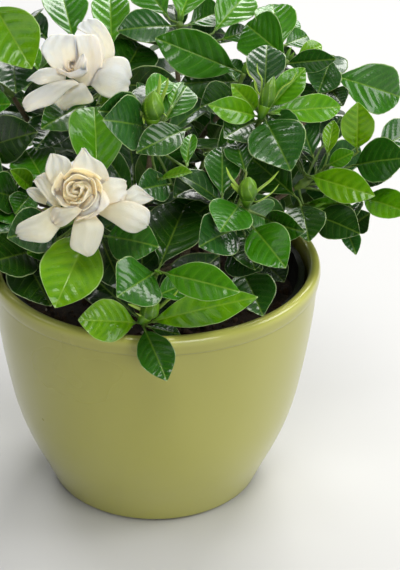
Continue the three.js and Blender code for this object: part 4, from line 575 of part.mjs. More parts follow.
// one leaf with its stalk: a chain of four-cornered sections, margin - upper midrib - margin - lower midrib
function leaf([at, foot, tip, up, width, arch, fold, twist, coarse], grow = 0, stalkOnly = false) {
  const A = V(at), B = V(foot), T = V(tip), N = V(up).normalize();
  const D = T.clone().sub(B), L = D.length();
  const c1 = B.clone().addScaledVector(D, 0.30).addScaledVector(N, arch * L * 0.9);
  const c2 = B.clone().addScaledVector(D, 0.72).addScaledVector(N, arch * L * 1.15);
  const curve = new THREE.CubicBezierCurve3(B, c1, c2, T);
  const fo = THREE.MathUtils.degToRad(fold);
  const at0 = curve.getTangent(0.001);
  const frameAt = (d, t) => {
    const S = new THREE.Vector3().crossVectors(d, N).normalize();
    const Nn = new THREE.Vector3().crossVectors(S, d).normalize();
    const w = THREE.MathUtils.degToRad(twist) * t;
    return [S.clone().multiplyScalar(Math.cos(w)).addScaledVector(Nn, Math.sin(w)),
      Nn.clone().multiplyScalar(Math.cos(w)).addScaledVector(S, -Math.sin(w))];
  };
  const square = (c, d, r) => {
    const [S, Nn] = frameAt(d, 0);
    const corner = (x, y) => c.clone().addScaledVector(S, x * r).addScaledVector(Nn, y * r);
    return grow ? [corner(1.1, 0.6), corner(0, 1.2), corner(-1.1, 0.6), corner(-1.1, -0.6), corner(0, -1.2), corner(1.1, -0.6)]
      : [corner(1, 0), corner(0, 1), corner(-1, 0), corner(0, -1)];
  };
  const reach = B.distanceTo(A);
  const r = PETIOLE_R + (reach > 12 ? 0.3 : 0) + grow;
  const side = B.clone().sub(A).normalize();
  const sections = [[A]];
  if (reach > 5) sections.push(square(A.clone().lerp(B, reach > 12 ? 0.4 : 0.5).addScaledVector(at0, -0.06 * reach), side, r));
  sections.push(square(B.clone().addScaledVector(at0, 1), at0, PETIOLE_R + grow));
  if (stalkOnly) return loft([...sections, [B.clone().addScaledVector(at0, 3)]]);
  for (const u of BLADE_STATIONS[coarse || 0]) {
    const t = PETIOLE_SHARE + (1 - PETIOLE_SHARE) * u;
    const M = curve.getPoint(t), d = curve.getTangent(t), [S, Nn] = frameAt(d, t);
    const w = bladeWidth(u) * width / 2;
    const h = w * (Math.sin(fo) + 0.06), half = (LEAF_THICKNESS / 2) * (1 - 0.35 * u) + grow;
    const e = w * Math.cos(fo) + grow;
    const pt = (x, y) => M.clone().addScaledVector(S, x).addScaledVector(Nn, y);
    // the grown copy has a blunt margin, so that it clears the sharp one all round
    sections.push(grow ? [pt(e, h + grow), pt(0, half), pt(-e, h + grow), pt(-e, h - grow), pt(0, -half), pt(e, h - grow)]
      : [pt(e, h), pt(0, half), pt(-e, h), pt(0, -half)]);
  }
  const dT = curve.getTangent(1);
  sections.push([T.clone().addScaledVector(dT, 2 * grow)]);
  return loft(sections);
}

function spline(points, t) {
  const n = points.length - 1, x = Math.min(Math.max(t, 0), 1) * n, i = Math.min(Math.floor(x), n - 1), f = x - i;
  const p1 = points[i], p2 = points[i + 1];
  const p0 = i > 0 ? points[i - 1] : p1.clone().multiplyScalar(2).sub(p2);
  const p3 = i + 2 <= n ? points[i + 2] : p2.clone().multiplyScalar(2).sub(p1);
  const out = p1.clone().multiplyScalar(2);
  out.addScaledVector(p2.clone().sub(p0), f);
  out.addScaledVector(p0.clone().multiplyScalar(2).addScaledVector(p1, -5).addScaledVector(p2, 4).sub(p3), f * f);
  out.addScaledVector(p0.clone().negate().addScaledVector(p1, 3).addScaledVector(p2, -3).add(p3), f * f * f);
  return out.multiplyScalar(0.5);
}

// a petal: a thin sheet through its net, thickened to both sides along the sheet's own normals
function petal(net, rows, cols, thickness, grow = 0) {
  const N = net.map((row) => row.map(V));
  const G = [];
  for (let i = 0; i < rows; i++) {
    const row = N[0].map((_, c) => spline(N.map((q) => q[c]), i / (rows - 1)));
    G.push(Array.from({ length: cols }, (_, j) => spline(row, j / (cols - 1))));
  }
  const at = (i, j) => G[Math.min(Math.max(i, 0), rows - 1)][Math.min(Math.max(j, 0), cols - 1)];
  const pts = [], tris = [];
  const id = (s, i, j) => s * rows * cols + i * cols + j;
  for (const s of [1, -1]) for (let i = 0; i < rows; i++) for (let j = 0; j < cols; j++) {
    const du = at(i + 1, j).clone().sub(at(i - 1, j)), dv = at(i, j + 1).clone().sub(at(i, j - 1));
    const n = du.cross(dv).normalize();
    const p = at(i, j).clone().addScaledVector(n, s * (thickness / 2 + grow));
    const u = at(i + 1, j).clone().sub(at(i - 1, j)).normalize(), v = at(i, j + 1).clone().sub(at(i, j - 1)).normalize();
    p.addScaledVector(u, grow * ((i === rows - 1) - (i === 0))).addScaledVector(v, grow * ((j === cols - 1) - (j === 0)));
    pts.push([p.x, p.y, p.z]);
  }
  const quad = (a, b, c, d) => tris.push([a, b, c], [a, c, d]);
  for (let i = 0; i + 1 < rows; i++) for (let j = 0; j + 1 < cols; j++) {
    quad(id(0, i, j), id(0, i + 1, j), id(0, i + 1, j + 1), id(0, i, j + 1));
    quad(id(1, i, j), id(1, i, j + 1), id(1, i + 1, j + 1), id(1, i + 1, j));
  }
  for (let j = 0; j + 1 < cols; j++) {
    quad(id(0, 0, j), id(0, 0, j + 1), id(1, 0, j + 1), id(1, 0, j));
    quad(id(0, rows - 1, j + 1), id(0, rows - 1, j), id(1, rows - 1, j), id(1, rows - 1, j + 1));
  }
  for (let i = 0; i + 1 < rows; i++) {
    quad(id(0, i + 1, 0), id(0, i, 0), id(1, i, 0), id(1, i + 1, 0));
    quad(id(0, i, cols - 1), id(0, i + 1, cols - 1), id(1, i + 1, cols - 1), id(1, i, cols - 1));
  }
  let solid = fromTriangles(pts, tris);
  if (solid.volume() < 0) solid = fromTriangles(pts, tris.map((t) => [t[0], t[2], t[1]]));
  return solid;
}

const union = (list) => list.reduce((a, b) => (a ? a.add(b) : b), null);

// the largest connected body of a cut solid, as plain geometry
function largestBody(solid) {
  const mesh = solid.getMesh();
  const np = mesh.numProp, pos = mesh.vertProperties, tri = mesh.triVerts;
  const pts = [];
  for (let i = 0; i < pos.length; i += np) pts.push([pos[i], pos[i + 1], pos[i + 2]]);
  const parent = pts.map((_, i) => i);
  const find = (a) => { while (parent[a] !== a) { parent[a] = parent[parent[a]]; a = parent[a]; } return a; };
  const T = [];
  for (let i = 0; i < tri.length; i += 3) {
    const t = [tri[i], tri[i + 1], tri[i + 2]];
    T.push(t);
    parent[find(t[0])] = find(t[1]);
    parent[find(t[1])] = find(t[2]);
  }
  const vol = new Map();
  for (const [a, b, c] of T) {
    const A = V(pts[a]), B = V(pts[b]), C = V(pts[c]);
    vol.set(find(a), (vol.get(find(a)) || 0) + A.dot(B.cross(C)) / 6);
  }
  const best = [...vol.entries()].sort((x, y) => y[1] - x[1])[0][0];
  return tidy(pts, T.filter((x) => find(x[0]) === best), vol.size);
}

// takes out the very short edges that a cut leaves, where that neither pinches the skin nor turns a facet
function tidy(pts, tris, bodies) {
  const near = new Map();
  tris.forEach((t, k) => t.forEach((v) => { if (!near.has(v)) near.set(v, new Set()); near.get(v).add(k); }));
  const live = tris.map(() => true);
  const normal = (a, b, c) => {
    const e = [b[0] - a[0], b[1] - a[1], b[2] - a[2]], f = [c[0] - a[0], c[1] - a[1], c[2] - a[2]];
    const n = [e[1] * f[2] - e[2] * f[1], e[2] * f[0] - e[0] * f[2], e[0] * f[1] - e[1] * f[0]];
    const l = Math.hypot(...n);
    return l > 1e-9 ? n.map((x) => x / l) : null;
  };
  const ringOf = (v) => { const s = new Set(); for (const k of near.get(v)) for (const w of tris[k]) if (w !== v) s.add(w); return s; };
  const tryMerge = (a, b) => {
    const ra = ringOf(a), rb = ringOf(b);
    let common = 0;
    for (const v of ra) if (rb.has(v)) common++;
    if (common !== 2) return false;
    for (const k of near.get(b)) {
      if (tris[k].includes(a)) continue;
      const was = normal(...tris[k].map((v) => pts[v]));
      const now = normal(...tris[k].map((v) => pts[v === b ? a : v]));
      if (!now || (was && was[0] * now[0] + was[1] * now[1] + was[2] * now[2] < 0.5)) return false;
    }
    for (const k of [...near.get(b)]) {
      if (tris[k].includes(a)) {
        live[k] = false;
        for (const v of tris[k]) near.get(v).delete(k);
      } else {
        tris[k] = tris[k].map((v) => (v === b ? a : v));
        near.get(a).add(k);
      }
    }
    near.get(b).clear();
    return true;
  };
  for (let pass = 0; pass < 6; pass++) {
    let done = 0;
    for (let k = 0; k < tris.length; k++) {
      if (!live[k]) continue;
      for (let e = 0; e < 3; e++) {
        const a = tris[k][e], b = tris[k][(e + 1) % 3];
        if (Math.hypot(pts[a][0] - pts[b][0], pts[a][1] - pts[b][1], pts[a][2] - pts[b][2]) > SHORTEST_EDGE) continue;
        if (tryMerge(a, b) || tryMerge(b, a)) { done++; break; }
      }
    }
    if (!done) break;
  }
  // where two sheets of the skin meet in a point, each draws back a little into its own solid
  const seen = new Map(), kept = [...near.entries()].filter(([, s]) => s.size).map(([v]) => v);
  const drawBack = (v) => {
    const n = [0, 0, 0];
    for (const k of near.get(v)) { const m = normal(...tris[k].map((w) => pts[w])); if (m) m.forEach((x, i) => { n[i] += x; }); }
    const l = Math.hypot(...n) || 1;
    return pts[v].map((x, i) => x - 0.02 * n[i] / l);
  };
  for (const v of kept) {
    const k = pts[v].map((x) => Math.round(x * 2e3)).join();
    if (seen.has(k)) seen.get(k).push(v); else seen.set(k, [v]);
  }
  for (const same of seen.values()) if (same.length > 1) { const moved = same.map(drawBack); same.forEach((v, i) => { pts[v] = moved[i]; }); }
  const used = new Map(), P = [], I = [];
  tris.forEach((t, k) => {
    if (!live[k]) return;
    for (const v of t) { if (!used.has(v)) { used.set(v, P.length / 3); P.push(...pts[v]); } I.push(used.get(v)); }
  });
  return { points: new Float32Array(P), index: new Uint32Array(I), bodies };
}

const boxesMeet = (a, b, m) => [0, 1, 2].every((i) => a.min[i] - m < b.max[i] && b.min[i] - m < a.max[i]);

// ---- the pieces, in the order they claim their space ------------------------
// every piece has a solid and a slightly grown copy; later pieces are cut back from the grown copies
const placed = [];
const group = new THREE.Group();
const MATERIALS = {
  glaze: new THREE.MeshStandardMaterial({ color: 0x9a9a5c, roughness: 0.25, metalness: 0 }),
  pot_plastic: new THREE.MeshStandardMaterial({ color: 0x16160f, roughness: 0.6, metalness: 0 }),
  mix: new THREE.MeshStandardMaterial({ color: 0x1f1712, roughness: 0.95, metalness: 0 }),
  bark: new THREE.MeshStandardMaterial({ color: 0x6b5c45, roughness: 0.8, metalness: 0 }),
  leaf: new THREE.MeshStandardMaterial({ color: 0x2f6b1c, roughness: 0.3, metalness: 0 }),
  petal: new THREE.MeshStandardMaterial({ color: 0xf3ecdd, roughness: 0.5, metalness: 0 }),
  petal_cream: new THREE.MeshStandardMaterial({ color: 0xf0dfc0, roughness: 0.5, metalness: 0 }),
  sepal: new THREE.MeshStandardMaterial({ color: 0x7ea83a, roughness: 0.4, metalness: 0 }),
};

function place(name, material, solid, grown) {
  const box = solid.boundingBox();
  for (const other of placed) {
    if (other.grown && boxesMeet(box, other.box, 2 * GAP)) solid = solid.subtract(other.grown);
  }
  const body = largestBody(solid);
  const g = new THREE.BufferGeometry();
  g.setAttribute('position', new THREE.BufferAttribute(body.points, 3));
  g.setIndex(new THREE.BufferAttribute(body.index, 1));
  g.computeVertexNormals();
  const mesh = new THREE.Mesh(g, MATERIALS[material].clone());
  mesh.name = name;
  group.add(mesh);
  placed.push({ name, box, grown });
  return mesh;
}

const lathe = (profile, n = ROUND) => {
  const g = new THREE.LatheGeometry(profile.map(([r, z]) => new THREE.Vector2(r, z)), n);
  g.rotateX(Math.PI / 2);
  let s = toManifold(g);
  if (s.volume() < 0) {
    const i = g.index.array;
    for (let k = 0; k < i.length; k += 3) { const t = i[k + 1]; i[k + 1] = i[k + 2]; i[k + 2] = t; }
    s = toManifold(g);
  }
  return s;
};

// planter: conical wall that swells to a rounded lip
const LIP = PLANTER_HEIGHT;
const outer = [[62.6, 0], [67.9, 5.8], [72.9, 17.4], [81.1, 36.2], [88.0, 57.9], [93.3, 86.9], [97.0, 115.8], [98.7, 138.5],
  [99.6, 140.2], [RIM_RADIUS, 144.6], [99.0, 147.8]];
const inner = [[96.4, LIP], [93.6, LIP - 1.0], [92.4, 138], [90.4, 115.8], [86.6, 86.9], [81.2, 57.9], [74.2, 36.2], [66.2, 17.4], [60.5, PLANTER_FLOOR]];
const planterProfile = (g) => [[0, 0 - g], ...outer.map(([r, z]) => [r + g, z <= 0 ? z - g : z]),
  ...inner.map(([r, z], i) => [r - g, i < 2 ? z + g : (i === inner.length - 1 ? z + g : z)]), [0, PLANTER_FLOOR + g]];
place('planter', 'glaze', lathe(planterProfile(0)), lathe(planterProfile(GAP)));

// nursery pot: thin plastic wall, rolled rim, six drain holes in its floor
const potOuter = [[0, 8.4], [57, 8.4], [88.4, 134], [90.9, 135.5], [90.9, POT_RIM_Z]];
const potInner = [[87.2, POT_RIM_Z], [86.8, 134], [57 - POT_WALL, 10.4], [0, 10.4]];
const potSolid = (g) => lathe([...potOuter.map(([r, z], k) => [r ? r + g : 0, k < 2 ? z - g : (k === 4 ? z + g : z)]),
  ...potInner.map(([r, z], k) => [r ? r - g : 0, k === 0 ? z + g : (k > 1 ? z + g : z)])]);
const drains = (r) => union(Array.from({ length: 6 }, (_, i) => {
  const c = new THREE.CylinderGeometry(r, r, 8, 8);
  c.rotateX(Math.PI / 2);
  c.translate(38 * Math.cos(i * Math.PI / 3), 38 * Math.sin(i * Math.PI / 3), 9.4);
  return toManifold(c);
}));
place('grower_pot', 'pot_plastic', potSolid(0).subtract(drains(6)), potSolid(GAP));

// stems come first, so that the mix closes round their feet
const stemSolid = (s, g) => union(s.tubes.map(([p, r0, r1], i) => rod(p, r0, r1, i === 0 ? 6 : 4, g)));
for (const s of STEMS) place(s.name, 'bark', stemSolid(s, 0), stemSolid(s, GAP));

const mixProfile = [[0, 10.9], [54.8, 10.9], [84.0, SOIL_Z - 2], [60, SOIL_Z + 0.3], [0, SOIL_Z + 1.6]];
place('potting_mix', 'mix', lathe(mixProfile), lathe(mixProfile.map(([r, z], i) => [r ? r + GAP : 0, i < 2 ? z - GAP : z + GAP]), ROUND));

// the stalks and twigs of every shoot, grown by the clearance: petals, buds and blades are notched round them
const cores = SHOOTS.map((s) => {
  const stalks = (g) => union([rod(s.twig, 1.6, 1.2, 4, g), ...s.leaves.map((l) => leaf(l, g, true))]);
  const solid = stalks(GAP);
  return { solid, guard: stalks(0.04), box: solid.boundingBox() };
});
const earlier = [];
function placeAround(name, material, solid, grown) {
  const box = solid.boundingBox();
  for (const c of cores) if (boxesMeet(box, c.box, 2 * GAP)) solid = solid.subtract(c.solid);
  for (const e of earlier) if (boxesMeet(box, e.box, 2 * GAP)) solid = solid.subtract(e.grown);
  earlier.push({ box, grown });
  place(name, material, solid, null);
}

// corollas: petals that spring from one throat, with a tube behind them
for (const f of FLOWERS) {
  const o = V(f.centre), ax = V(f.facing).normalize();
  const throat = o.clone().addScaledVector(ax, -7);
  const withFoot = (net) => {
    const L = V(net[0][0]), R = V(net[0][net[0].length - 1]);
    const across = R.clone().sub(L).setLength(1.6);
    const mid = L.clone().add(R).multiplyScalar(0.5);
    const out = mid.clone().sub(o);
    out.addScaledVector(ax, -out.dot(ax));
    if (out.length() > 1e-3) out.setLength(1.2);
    const n = net[0].length;
    const foot = Array.from({ length: n }, (_, i) => throat.clone().add(out).addScaledVector(across, 2 * i / (n - 1) - 1).toArray());
    return [foot, ...net];
  };
  const corolla = (t) => union([
    rod([o.clone().addScaledVector(ax, -21).toArray(), o.clone().addScaledVector(ax, -12).toArray(), o.clone().addScaledVector(ax, -4).toArray()], 2.2 + t, 4.2 + t, 8),
    ...f.petals.filter((p) => !/S[134789]/.test(p.name)).map((p) => petal(withFoot(p.net), p.name[0] === 'S' ? 3 : 4, p.name[0] === 'S' ? 5 : 3, PETAL_THICKNESS, t)),
  ]);
  placeAround(`${f.name}_corolla`, f.name === 'flower_1' ? 'petal' : 'petal_cream', corolla(0), corolla(GAP));
}

// green calyx and flower stalk behind each corolla
for (const f of FLOWERS) {
  const o = V(f.centre), ax = V(f.facing).normalize();
  const foot = o.clone().addScaledVector(ax, -21.4);
  const low = foot.clone().addScaledVector(ax, -6);
  const end = V(f.twigEnd).lerp(low, 0.04);
  const bend = low.clone().lerp(end, 0.5).addScaledVector(ax, -2);
  const u = new THREE.Vector3().crossVectors(ax, new THREE.Vector3(0, 0, 1)).normalize(), v = new THREE.Vector3().crossVectors(ax, u);
  const calyx = (g) => union([
    rod([end.toArray(), bend.toArray(), low.toArray(), foot.clone().addScaledVector(ax, -0.3).toArray()], 1.5, 3.0, 5, g),
    ...Array.from({ length: 5 }, (_, i) => {
      const a = 2 * Math.PI * i / 5, r = u.clone().multiplyScalar(Math.cos(a)).addScaledVector(v, Math.sin(a));
      return rod([low.clone().addScaledVector(ax, 3).toArray(), foot.clone().addScaledVector(r, 4.8).addScaledVector(ax, 0.5).toArray(), foot.clone().addScaledVector(r, 8).addScaledVector(ax, 7).toArray()], 1.1, 0.4, 3, g);
    }),
  ]);
  placeAround(`${f.name}_calyx`, 'sepal', calyx(0), calyx(GAP));
}

// buds: a spindle of rolled petals in a calyx with long narrow sepals
for (const b of BUDS) {
  const B = V(b.base), T = V(b.tip), d = T.clone().sub(B), L = d.length();
  const bud = (g) => {
    const shape = [[0.0, 0.42], [0.2, 0.75], [0.45, 1.0], [0.7, 0.82], [0.88, 0.42]];
    const sections = shape.map(([t, r]) => ring(B.clone().addScaledVector(d, t), d, b.r * r + g, 7));
    sections.push([T.clone().addScaledVector(d, g / L)]);
    return union([loft(sections),
      rod([b.twigEnd, B.clone().lerp(V(b.twigEnd), 0.4).toArray(), B.clone().addScaledVector(d, 0.12).toArray()], 1.4, 1.9, 5, g),
      ...b.sepals.map(([p, q]) => rod([B.clone().addScaledVector(d, 0.15).toArray(), p, q], 1.15, 0.45, 3, g))]);
  };
  placeAround(b.name, 'sepal', bud(0), bud(GAP));
}

// leafy shoots: a green twig with its leaves. Where blades of two shoots meet, the later one is cut
// back; where a stalk or twig runs through another shoot's blade, the blade is notched round it
SHOOTS.forEach((s, i) => {
  const build = (g) => union([rod(s.twig, 1.6, 1.2, 4, g), ...s.leaves.map((l) => leaf(l, g))]);
  let solid = build(0);
  const box = solid.boundingBox();
  for (const e of earlier) if (boxesMeet(box, e.box, 2 * GAP)) solid = solid.subtract(e.grown.subtract(cores[i].guard));
  cores.forEach((c, k) => { if (k !== i && boxesMeet(box, c.box, 2 * GAP)) solid = solid.subtract(c.solid); });
  earlier.push({ box, grown: build(GAP) });
  place(s.name, 'leaf', solid, null);
});

export default group;
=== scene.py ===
import math
import bpy
import numpy as np
from mathutils import Matrix, Vector


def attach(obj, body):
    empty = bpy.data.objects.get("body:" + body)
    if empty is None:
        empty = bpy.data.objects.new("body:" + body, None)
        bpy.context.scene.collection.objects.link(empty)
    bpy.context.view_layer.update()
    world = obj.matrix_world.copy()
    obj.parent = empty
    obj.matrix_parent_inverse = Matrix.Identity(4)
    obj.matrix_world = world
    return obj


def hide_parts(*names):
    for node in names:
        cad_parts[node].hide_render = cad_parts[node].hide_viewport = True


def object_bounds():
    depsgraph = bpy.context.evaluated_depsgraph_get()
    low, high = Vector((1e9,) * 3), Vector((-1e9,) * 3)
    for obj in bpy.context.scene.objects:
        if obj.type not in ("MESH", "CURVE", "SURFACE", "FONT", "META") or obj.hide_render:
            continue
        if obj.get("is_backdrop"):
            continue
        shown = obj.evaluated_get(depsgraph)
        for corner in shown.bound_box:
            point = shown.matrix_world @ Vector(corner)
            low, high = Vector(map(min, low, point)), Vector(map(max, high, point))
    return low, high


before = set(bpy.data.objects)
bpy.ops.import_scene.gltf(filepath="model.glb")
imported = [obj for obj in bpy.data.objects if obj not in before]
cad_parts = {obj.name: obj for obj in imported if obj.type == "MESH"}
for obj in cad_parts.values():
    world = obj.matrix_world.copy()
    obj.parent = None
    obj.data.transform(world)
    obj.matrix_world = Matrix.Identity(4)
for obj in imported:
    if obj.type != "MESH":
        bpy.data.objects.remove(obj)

CAD_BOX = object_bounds()
MM = 0.001

# ---- tables ------------------------------------------------------------------
# leaf: [stalk foot, blade foot, tip, up, width, arch, fold, twist, tone, detail, seed]

